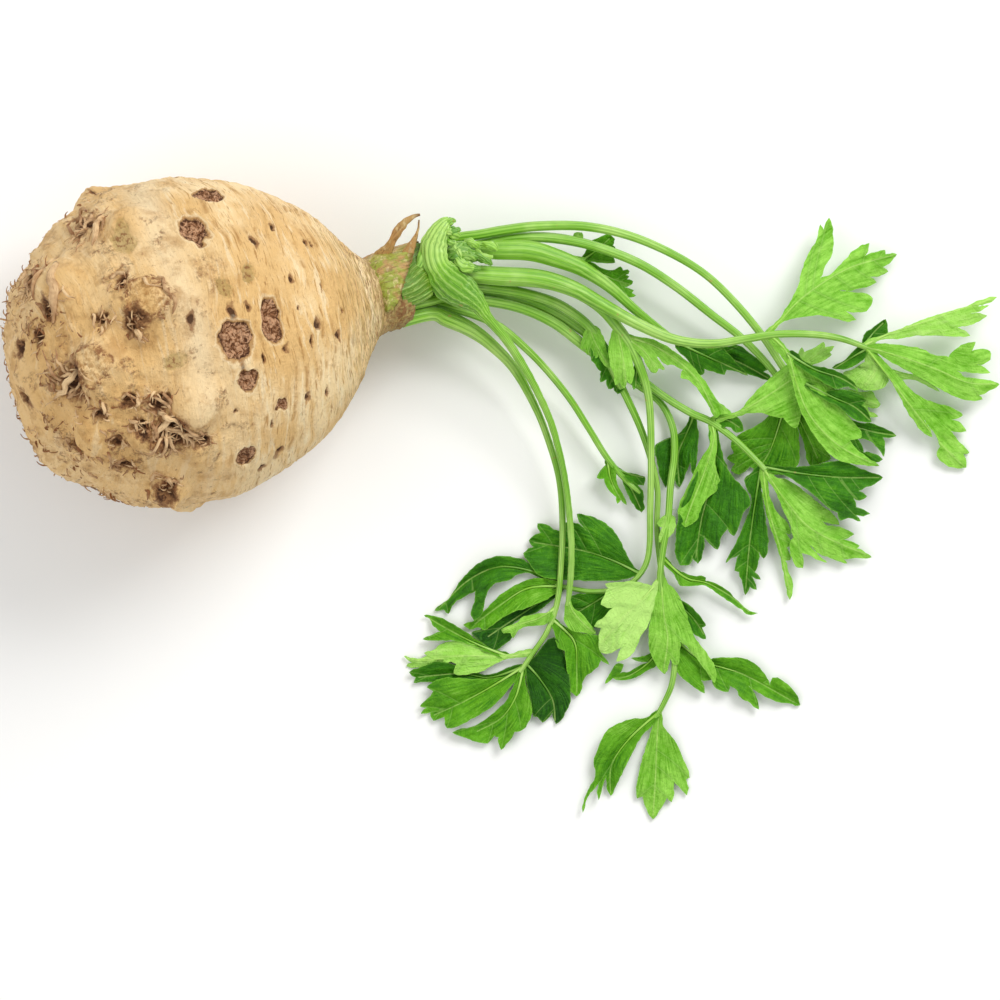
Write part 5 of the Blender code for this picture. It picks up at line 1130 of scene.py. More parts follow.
def make_sheathed(look):
    """The stalk with a broad ribbed sheath folded over the crown, its cut lobe, crinkled flap and leaf."""
    sheath = [
        (*crown_point(1.5, 13.6, -1.6), 7.4, 0.9, 3.2, -0.9),
        (*crown_point(2.8, 12.2, 4.0), 8.6, 1.0, 3.4, -0.8),
        (-28.2, 84.0, 38.8, 9.4, 1.0, 3.0, -0.9), (-25.0, 83.9, 38.0, 9.0, 0.9, 2.6, -1.0),
        (-21.5, 82.6, 36.0, 7.0, 0.8, 2.0, -0.6),
    ]
    # The seventh value of each section is its tone: high tones paint a highlight along the raised fold, low
    # tones paint shade.
    folded = [
        (-18.7, 102.0, 39.4, 1.4, 1.0, 0.1, 0.7), (-20.6, 100.2, 40.0, 2.8, 1.7, 0.4, 0.9),
        (-22.8, 96.8, 40.6, 3.9, 1.9, 0.9, 1.1), (-24.5, 92.4, 40.9, 4.9, 1.8, 1.2, 0.9),
        (-24.6, 88.2, 41.0, 4.9, 1.6, 1.4, 0.7), (-23.3, 84.4, 40.9, 5.0, 1.4, 1.8, 0.5),
        (-20.4, 80.4, 39.6, 6.2, 1.4, 2.4, 0.3), (-15.8, 76.7, 37.0, 6.5, 1.4, 2.4, 0.25),
        (-11.2, 73.4, 34.8, 5.0, 1.6, 1.6, 0.25), (-7.9, 70.4, 33.2, 3.2, 1.7, 0.6, 0.35),
        (-5.6, 67.2, 31.4, 2.2, 1.7, 0.1, 0.5), (-3.2, 64.4, 30.1, 1.8, 1.6, 0, 0.4),
        (2, 58.2, 27.8, 1.6, 1.5, 0, 0.5), (8, 49, 24.6, 1.5, 1.4, 0, 0.5),
        (13, 40, 21.6, 1.3, 1.3, 0, 0.6), (18.4, 28, 18, 1.25, 1.25, 0, 0.6),
        (22.4, 13, 14.2, 1.2, 1.2, 0, 0.6), (24.8, -2, 11.2, 1.2, 1.2, 0, 0.6),
        (26, -18, 8.4, 1.1, 1.1, 0, 0.6),
        (25.6, -30, 6.8, 1.1, 1.1, 0, 0.6), (24.6, -39.5, 5.9, 0.9, 0.9, 0, 0.6),
    ]
    tuck = [
        (-26.4, 96.0, 38.4, 0.8, 0.5, 0.1), (-27.4, 92.0, 39.4, 1.6, 0.7, 0.3),
        (-28.8, 87.6, 40.2, 2.0, 0.8, 0.3), (-30.6, 84.4, 40.0, 1.0, 0.5, 0.1),
    ]
    stem = Sheaf()
    strand(stem, sheath, 110, 0.7, 24, look.rib_share, seed=1.0)
    strand(stem, folded, 130, 0.6, 15, look.rib_share * 1.1, crinkle=0.12, seed=4.0)
    strand(stem, tuck, 48, 0.5, 7, look.rib_share, tone=0.4, crinkle=0.3, seed=12.0)
    scraps(stem, LOBE_SCRAPS)
    rib = [(24.9, -37.5, 6.1), (27, -42, 7), (31, -46.5, 6.5), (35, -49.7, 5)]
    edge = [
        (26.6, -39.8), (29, -41.5), (32, -45), (35.2, -49.8), (31, -49.5), (26, -48.5), (23.8, -46),
        (23.4, -42),
    ]
    leaves = Sheaf()
    blade(leaves, bpy.context.scene.celeriac_leaf, LIGHT, rib, edge, 77.0)
    midrib(stem, LIGHT, rib)
    stem.piece("stalk_sheathed_stem", stalk_finish(), "stalk_sheathed")
    leaves.piece("stalk_sheathed_leaves", leaf_finish(), "stalk_sheathed")


def root_finish(look):
    """Cream skin with thin brown lines round it, a painted highlight band on its top, a rough brown end,
    corky pits and dark hollows.
    """
    paint = Finish("celeriac_skin", roughness=0.68, specular=0.25)
    place = paint.place()
    lay = paint.field("lay", "Vector")
    broad = paint.noise(place, 26.0, 4.0)
    mottled = paint.noise(place, 120.0, 5.0, 0.65)
    speck = paint.noise(place, 600.0, 4.0, 0.7)
    folds = paint.noise(place, 430.0, 3.0, 0.6, 1.4)
    creases = paint.cells(paint.warped(place, 300.0, 0.003), 420.0)
    streak = paint.noise(paint.stretched(lay, (0.38, 0.05, 0.05)), 1.0, 5.0, 0.62, 0.5)
    thin = paint.noise(paint.stretched(lay, (1.2, 0.12, 0.12)), 1.0, 4.0, 0.62, 0.5)
    hair = paint.noise(paint.stretched(lay, (2.6, 0.3, 0.3)), 1.0, 3.0, 0.6, 0.4)
    rough = paint.field("rough")
    back = paint.field("back")
    shade = paint.shade
    ragged = paint.spread(mottled, 0.9)
    fuzzy = paint.maths("ADD", ragged, paint.spread(speck, 0.8))
    skin = paint.mix(paint.between(broad, 0.40, 0.62), look.cream, look.tan)
    skin = shade(skin, look.tan, paint.between(streak, 0.50, 0.64), 0.7)
    skin = shade(skin, look.bright, paint.between(streak, 0.46, 0.36), 0.5)
    smoothness = paint.between(rough, 1.3, 0.0)
    skin = shade(skin, look.rough, paint.between(thin, 0.56, 0.66), smoothness, 0.8)
    skin = shade(skin, look.cork, paint.between(hair, 0.60, 0.70), smoothness, 0.5)
    skin = shade(skin, look.rough, paint.field("ring"), paint.between(mottled, 0.44, 0.6), 0.8)
    # Painted highlight: the cream band on the side that faces up is lightened with bright.
    skin = shade(skin, look.bright, paint.field("band"), 0.8)
    near_neck = paint.between(back, 44.0, 8.0)
    skin = shade(skin, look.olive, near_neck, paint.between(thin, 0.42, 0.6), 0.7)
    skin = shade(skin, look.cork, near_neck, paint.between(hair, 0.5, 0.62), 0.8)
    skin = shade(skin, look.tan, rough, 0.45)
    skin = shade(skin, look.rough, rough, paint.between(mottled, 0.46, 0.66), 0.5)
    skin = shade(skin, look.cork, rough, paint.between(speck, 0.58, 0.7), 0.45)
    skin = shade(skin, look.cork, paint.between(speck, 0.64, 0.73), 0.4)
    skin = shade(skin, look.cork, paint.field("scabs"), paint.between(speck, 0.46, 0.6), 0.6)
    skin = shade(skin, look.dark, paint.field("scabs"), paint.between(folds, 0.46, 0.38), 0.4)
    cap = paint.maths("ADD", paint.field("cap"), paint.maths("MULTIPLY", ragged, 0.5))
    skin = shade(skin, look.rough, paint.between(cap, -0.3, 0.2), paint.between(speck, 0.4, 0.6), 0.6)
    at_rim = paint.between(paint.maths("ABSOLUTE", cap), 0.3, 0.04)
    skin = shade(skin, look.cork, at_rim, paint.between(folds, 0.42, 0.56), 0.9)
    healed = paint.maths("ADD", paint.field("healed"), fuzzy)
    skin = shade(skin, look.olive, paint.between(healed, -0.15, 0.2), 0.55)
    skin = shade(skin, look.cork, paint.between(healed, 0.1, 0.5), paint.between(speck, 0.47, 0.6), 0.8)
    neck = paint.between(paint.maths("ADD", back, paint.maths("MULTIPLY", fuzzy, 10.0)), 15.0, 0.0)
    skin = shade(skin, look.olive, neck, 0.85)
    skin = shade(skin, look.cork, neck, paint.between(folds, 0.46, 0.58), 0.8)
    hollow = paint.maths("ADD", paint.field("hollow"), paint.maths("MULTIPLY", fuzzy, 1.3))
    skin = shade(skin, look.cork, paint.between(hollow, -0.05, 0.35), 0.85)
    skin = shade(skin, look.dark, paint.between(hollow, 0.25, 0.6), paint.between(folds, 0.66, 0.48), 0.9)
    slit = paint.maths("ADD", paint.field("slit"), fuzzy)
    skin = shade(skin, look.cork, paint.between(slit, -0.15, 0.2), 0.75)
    skin = shade(skin, look.dark, paint.between(slit, 0.3, 0.5), 0.85)
    cork = paint.maths("ADD", paint.field("cork"), paint.maths("MULTIPLY", fuzzy, 0.35))
    skin = shade(skin, look.bright, paint.between(cork, -0.30, -0.14), 0.35)
    skin = shade(skin, look.rough, paint.between(cork, -0.16, -0.04), 0.8)
    inner = paint.mix(paint.between(folds, 0.42, 0.56), look.lump, look.cork)
    inner = shade(inner, look.dark, paint.between(folds, 0.54, 0.64), 0.8)
    inner = shade(inner, look.dark, paint.between(creases, 0.07, 0.01), 0.5)
    inner = shade(inner, look.dark, paint.between(cork, 0.2, 0.04), paint.between(folds, 0.38, 0.5), 0.85)
    skin = paint.mix(paint.between(cork, -0.04, 0.05), skin, inner)
    paint.colour(skin)
    height = paint.maths("ADD", paint.maths("MULTIPLY", speck, 0.7), paint.maths("MULTIPLY", thin, 0.5))
    paint.bump(paint.maths("ADD", height, paint.maths("MULTIPLY", hair, 0.4)), 0.0012, 1.0)
    return paint.material


def rootlet_finish(look):
    """Rootlets: pale straw or brown fibres along each strand, browner at the torn tip, with painted shade at
    the base.
    """
    paint = Finish("torn_rootlet", roughness=0.75, specular=0.2)
    lay = paint.field("lay", "Vector")
    fibre = paint.noise(paint.stretched(lay, (0.35, 3.0, 3.0)), 1.0, 4.0)
    patch = paint.noise(paint.place(), 260.0, 4.0)
    tone = paint.maths("ADD", paint.field("tone"), paint.spread(patch, 1.2))
    skin = paint.mix(paint.between(tone, 0.0, 1.0), look.straw, look.cork)
    skin = paint.shade(skin, look.cork, paint.between(paint.field("share"), 0.6, 1.0), 0.5)
    # Painted shade where each rootlet leaves the skin.
    skin = paint.shade(skin, look.dark, paint.between(paint.field("share"), 0.18, 0.0), 0.8)
    skin = paint.shade(skin, look.cork, paint.between(fibre, 0.52, 0.68), 0.6)
    paint.colour(skin)
    paint.bump(fibre, 0.0004, 0.8)
    return paint.material


def husk_finish(look):
    """Papery husk: tan at its first side and olive at its last, cream patches that are partly painted
    highlight, and a brown torn edge.
    """
    paint = Finish("dry_husk", roughness=0.42, specular=0.45)
    lay = paint.field("lay", "Vector")
    place = paint.place()
    fibre = paint.noise(paint.stretched(lay, (0.12, 1.5, 1.5)), 1.0, 5.0, 0.6)
    patch = paint.noise(place, 170.0, 4.0)
    pale = paint.noise(paint.stretched(place, (1.6, 0.8, 1.0)), 330.0, 3.0)
    speck = paint.noise(place, 800.0, 3.0)
    share = paint.field("share")
    sheet = paint.mix(paint.between(patch, 0.40, 0.58), look.husk, srgb(*HUSK_TAN))
    inner = paint.mix(paint.between(patch, 0.5, 0.64), srgb(*HUSK_OLIVE), srgb(*HUSK_TAN))
    skin = paint.mix(paint.between(paint.field("tone"), 0.15, 0.5), sheet, inner)
    # Cream patches running up and down: the husk's pale colour with painted highlight on its glossy film.
    skin = paint.shade(skin, srgb(*HUSK_CREAM_AND_SHEEN), paint.between(pale, 0.54, 0.66), 0.7)
    skin = paint.shade(skin, srgb(*HUSK_BROWN), paint.between(fibre, 0.5, 0.66), 0.6)
    skin = paint.shade(skin, srgb(*HUSK_BROWN), paint.between(speck, 0.6, 0.7), 0.5)
    skin = paint.shade(skin, srgb(*HUSK_BROWN), paint.between(share, 0.86, 1.0), 0.75)
    paint.colour(skin)
    paint.bump(fibre, 0.0005, 0.9)
    return paint.material


def stalk_finish():
    """Satin green stalks, paler at the crown, with painted light and shade, long streaks and a few brown
    spots. Made once.
    """
    made = bpy.data.materials.get("celeriac_stalk")
    if made:
        return made
    look = bpy.context.scene.celeriac_stalk
    paint = Finish("celeriac_stalk", roughness=0.34, specular=0.5)
    lay = paint.field("lay", "Vector")
    place = paint.place()
    streak = paint.noise(paint.stretched(lay, (0.012, 0.9, 0.9)), 1.0, 4.0, 0.6)
    thread = paint.noise(paint.stretched(lay, (0.03, 3.2, 3.2)), 1.0, 3.0, 0.6)
    patch = paint.noise(place, 60.0, 3.0)
    spot = paint.noise(place, 330.0, 2.0)
    skin = paint.mix(paint.between(paint.field("along"), 80.0, 8.0), look.green, look.pale)
    # Pale patches of painted highlight.
    skin = paint.shade(skin, look.bright, paint.between(patch, 0.42, 0.7), 0.6)
    # Tone is painted light and shade: above 0.5 a painted highlight, below it painted shade, and below zero
    # the olive painted shade of the sheath.
    tone = paint.field("tone")
    skin = paint.shade(skin, look.bright, paint.between(tone, 0.5, 1.0), 0.7)
    skin = paint.shade(skin, look.groove, paint.between(tone, 0.5, 0.1), 0.8)
    skin = paint.mix(paint.between(tone, 0.0, -1.0), skin, look.olive)
    skin = paint.shade(skin, look.groove, paint.between(streak, 0.48, 0.66), 0.5)
    # Fine threads: darker green ones, and light ones that are painted highlight.
    skin = paint.shade(skin, look.groove, paint.between(thread, 0.52, 0.66), 0.45)
    skin = paint.shade(skin, look.bright, paint.between(thread, 0.48, 0.34), 0.4)
    # Darker green and painted shade in the grooves between the ribs, painted highlight on the ribs.
    groove = paint.maths("ADD", paint.field("rib"), paint.spread(streak, 3.0))
    skin = paint.shade(skin, look.groove, paint.between(groove, -0.2, -1.1), 0.5)
    skin = paint.shade(skin, look.bright, paint.between(groove, 0.4, 1.1), 0.4)
    skin = paint.shade(skin, look.husk, paint.between(spot, 0.70, 0.76), 0.5)
    paint.colour(skin)
    paint.bump(paint.maths("ADD", streak, paint.maths("MULTIPLY", thread, 0.6)), 0.0005, 0.6)
    return paint.material


def leaf_finish():
    """Leaves, pale below and dark above with painted shade, a painted light rim, fine veins, fanning streaks
    and a net. Made once.
    """
    made = bpy.data.materials.get("celeriac_leaf")
    if made:
        return made
    look = bpy.context.scene.celeriac_leaf
    paint = Finish("celeriac_leaf", roughness=0.55, specular=0.2)
    place = paint.place()
    broad = paint.noise(place, 75.0, 3.0)
    fine = paint.noise(place, 480.0, 4.0, 0.65)
    parts = {"X": paint.field("fan"), "Y": paint.field("run")}
    fan = paint.node("ShaderNodeCombineXYZ", parts).outputs["Vector"]
    streak = paint.noise(paint.stretched(fan, (0.9, 0.07, 1.0)), 1.0, 4.0, 0.6)
    thread = paint.noise(paint.stretched(fan, (2.2, 0.16, 1.0)), 1.0, 3.0, 0.6)
    # Each blade's tone runs from its pale underside to painted shade on the blades that lie in shade.
    tone = paint.maths("ADD", paint.field("tone"), 0.02)
    for value, share in ((broad, 0.5), (streak, 0.45), (thread, 0.45), (fine, 0.25)):
        tone = paint.maths("ADD", tone, paint.spread(value, share))
    stops = [
        (0.0, look.deep), (1.0, look.underside), (0.25, look.dark), (0.5, look.middle), (0.75, look.light),
    ]
    green = paint.ramp(tone, stops)
    net = paint.cells(paint.warped(place, 260.0, 0.004), 520.0)
    lighter = paint.ramp(paint.maths("ADD", tone, 0.3), stops)
    green = paint.shade(green, lighter, paint.between(net, 0.1, 0.0), 0.1)
    middle = paint.maths("MULTIPLY", paint.between(paint.field("mid"), 0.38, 0.1), 0.42)
    side = paint.maths("MULTIPLY", paint.between(paint.field("side"), 0.26, 0.04), 0.22)
    green = paint.mix(paint.maths("MAXIMUM", middle, side), green, look.vein)
    # Painted shade in the creases beside the side veins.
    green = paint.shade(green, look.dark, paint.between(paint.field("side"), 1.3, 0.35), 0.2)
    # Painted light: a thin light line round the rim, where light shines through the thin edge.
    green = paint.shade(green, look.light, paint.between(paint.field("rim"), 0.5, 0.0), 0.3)
    paint.colour(green)
    threads = paint.maths("ADD", paint.maths("MULTIPLY", streak, 2.5), thread)
    height = paint.maths("ADD", paint.maths("MULTIPLY", paint.between(net, 0.0, 0.25), 0.4), threads)
    paint.bump(paint.maths("ADD", height, fine), 0.0005, 0.7)
    return paint.material


def make_upper_stalks():
    """The three long stalks that leave the top of the crown, and the short one."""
    leafy_stalk(
        "stalk_top", (12.4, -2.6, 1.6),
        [(-18, 95.4, 24.8, 1.8), (-8, 97, 24.5, 1.8), (2, 98.8, 23.9, 1.8), (14, 100.2, 22.6, 1.8),
         (30, 100.2, 21.2, 1.7), (45, 97.4, 20, 1.6), (60, 91.6, 18, 1.5), (74, 83.5, 15.8, 1.4),
         (85, 73.5, 13.8, 1.4), (96, 60.5, 12, 1.4), (105, 47, 9.5, 1.3), (112, 38, 7.2, 1.2),
         (118, 32, 5.5, 1)],
        [
            (PALE,
             [(105.5, 46.5, 9.3), (112, 50, 9.4), (120, 56, 8.8)],
             [(110, 47.5), (114, 49), (119, 51), (122, 53.2), (121.3, 54.2), (123, 56.4), (119.6, 56),
              (119, 58), (116, 56), (112, 54.2), (111, 56), (109.8, 54), (109, 50)]),
            (PALE,
             [(117, 33, 5.8), (128, 37, 5.3), (139, 35, 4)],
             [(124, 38.5), (129, 40.5), (133, 39.5), (137, 40), (138.5, 37.5), (140.3, 35), (139, 33.6),
              (135.5, 34), (136, 32.4), (139.5, 30.5), (136, 30.2), (130, 32), (124, 31.8)]),
            (SHADED,
             [(117.5, 32.5, 5.6), (127, 28, 4.8), (137, 25, 4), (146, 23.5, 3)],
             [(122, 31.6), (128, 30), (132, 28.4), (137, 28), (142, 26), (146.2, 23.3), (141.2, 22.8),
              (141.4, 15.6), (139, 19), (136, 21.5), (131, 23), (134, 17.2), (137.5, 16.8), (141, 14.6),
              (138, 13.4), (135, 13.6), (128, 21), (121, 27)]),
        ],
    )
    leafy_stalk(
        "stalk_second", (9.2, -4.8, 1.9),
        [(-5, 94, 21.6, 2), (8, 96, 21, 1.9), (20, 95.8, 20, 1.9), (34, 93, 18.8, 1.8), (50, 87, 17.3, 1.7),
         (64, 78.4, 15, 1.6), (78, 67.6, 12.2, 1.5), (88, 60, 10.3, 1.4), (96, 52.3, 8.6, 1.3),
         (102, 45, 6.8, 1.2), (106, 38, 5.4, 1)],
        [
            (PALE,
             [(28, 94.5, 19.2), (28.2, 98, 18.4)],
             [(26.2, 96), (26.8, 97.7), (29.8, 98), (30.3, 96.2)]),
            (MID,
             [(105.8, 38.5, 5.5), (103, 28, 4), (99, 17, 3), (94, 10, 2)],
             [(108.5, 35), (109.5, 27), (110.3, 20), (109.7, 12.5), (106, 9.5), (101, 9), (97, 10.5),
              (92, 12), (88, 9), (85, 10.5), (86.5, 13), (83.5, 15), (86, 17), (85, 21), (89, 24.5),
              (94, 27), (99, 31), (103, 36)]),
            (MID,
             [(106, 38, 5.4), (112, 26, 4), (117, 15, 3)],
             [(110, 33), (115, 26), (120, 18), (122, 15), (119, 13.5), (115, 12), (113.2, 14), (112, 20),
              (109.5, 27)]),
        ],
    )
    leafy_stalk(
        "stalk_third", (8.8, -0.2, 2.2),
        [(-15, 91.4, 27.8, 2.5), (-3, 91.2, 27.6, 3.4), (10, 91, 26.6, 3.7), (20, 88.4, 25, 3.4),
         (30, 84.4, 23.2, 2.8), (40, 77.8, 20.6, 2.1), (50, 69, 17.7, 1.7), (60, 61.2, 14.2, 1.4),
         (66, 57, 12.6, 1.2)],
        [
            (SHADED,
             [(64.5, 57.8, 12.9), (75, 53, 10.5), (84, 49, 8.5), (91, 45.8, 6.5)],
             [(68, 57), (74, 55.5), (82, 55.5), (84.5, 53), (87, 50), (91.2, 45.6), (87, 47), (83.3, 47.6),
              (82.5, 45.8), (78, 47), (75, 48), (74.4, 45.8), (72.5, 45.5), (71, 48), (68, 52),
              (64.8, 55)]),
            (SHADED,
             [(66, 57, 12.6), (74, 55, 9.5), (82, 53, 6.8), (90, 49.5, 5.6), (99, 44.5, 4)],
             [(72, 56.5), (84, 56.3), (88, 56.6), (91, 54.5), (95, 51.5), (98.6, 47.6), (97, 47),
              (99.6, 45.4), (99.3, 43.8), (95, 45), (91, 46.2), (88, 48.5), (84, 51), (76, 53)]),
        ],
    )
    leafy_stalk(
        "stalk_short", (5.5, -8.2, 1.4),
        [(-16, 87, 17.6, 1.5), (-3, 90, 16, 1.4), (12, 90, 15.2, 1.3), (22, 89.2, 14.6, 1.2),
         (31, 88, 14, 1)],
        [
            (MID,
             [(30, 88, 14), (35, 91.5, 13.4), (40, 96, 12.5)],
             [(30.8, 90.5), (33, 94.8), (36, 96.3), (39, 97.6), (42, 95.8), (41.3, 93.5), (42.3, 92),
              (41.3, 89.6), (42, 87), (38, 86.8), (33.5, 87.3)]),
            (MID,
             [(29.5, 88.1, 14), (38, 82.5, 12.3), (48, 79, 10.3)],
             [(34, 87), (38, 84.8), (41, 84.4), (44, 85.7), (45, 84.3), (47.4, 84), (46, 82.6), (47.3, 82),
              (46.5, 81), (48.7, 80.3), (47.2, 78.6), (45.5, 78), (49, 77), (48.3, 76), (49.8, 75),
              (47, 74.2), (43, 76.4), (38, 80.2), (33, 84.8)]),
        ],
    )


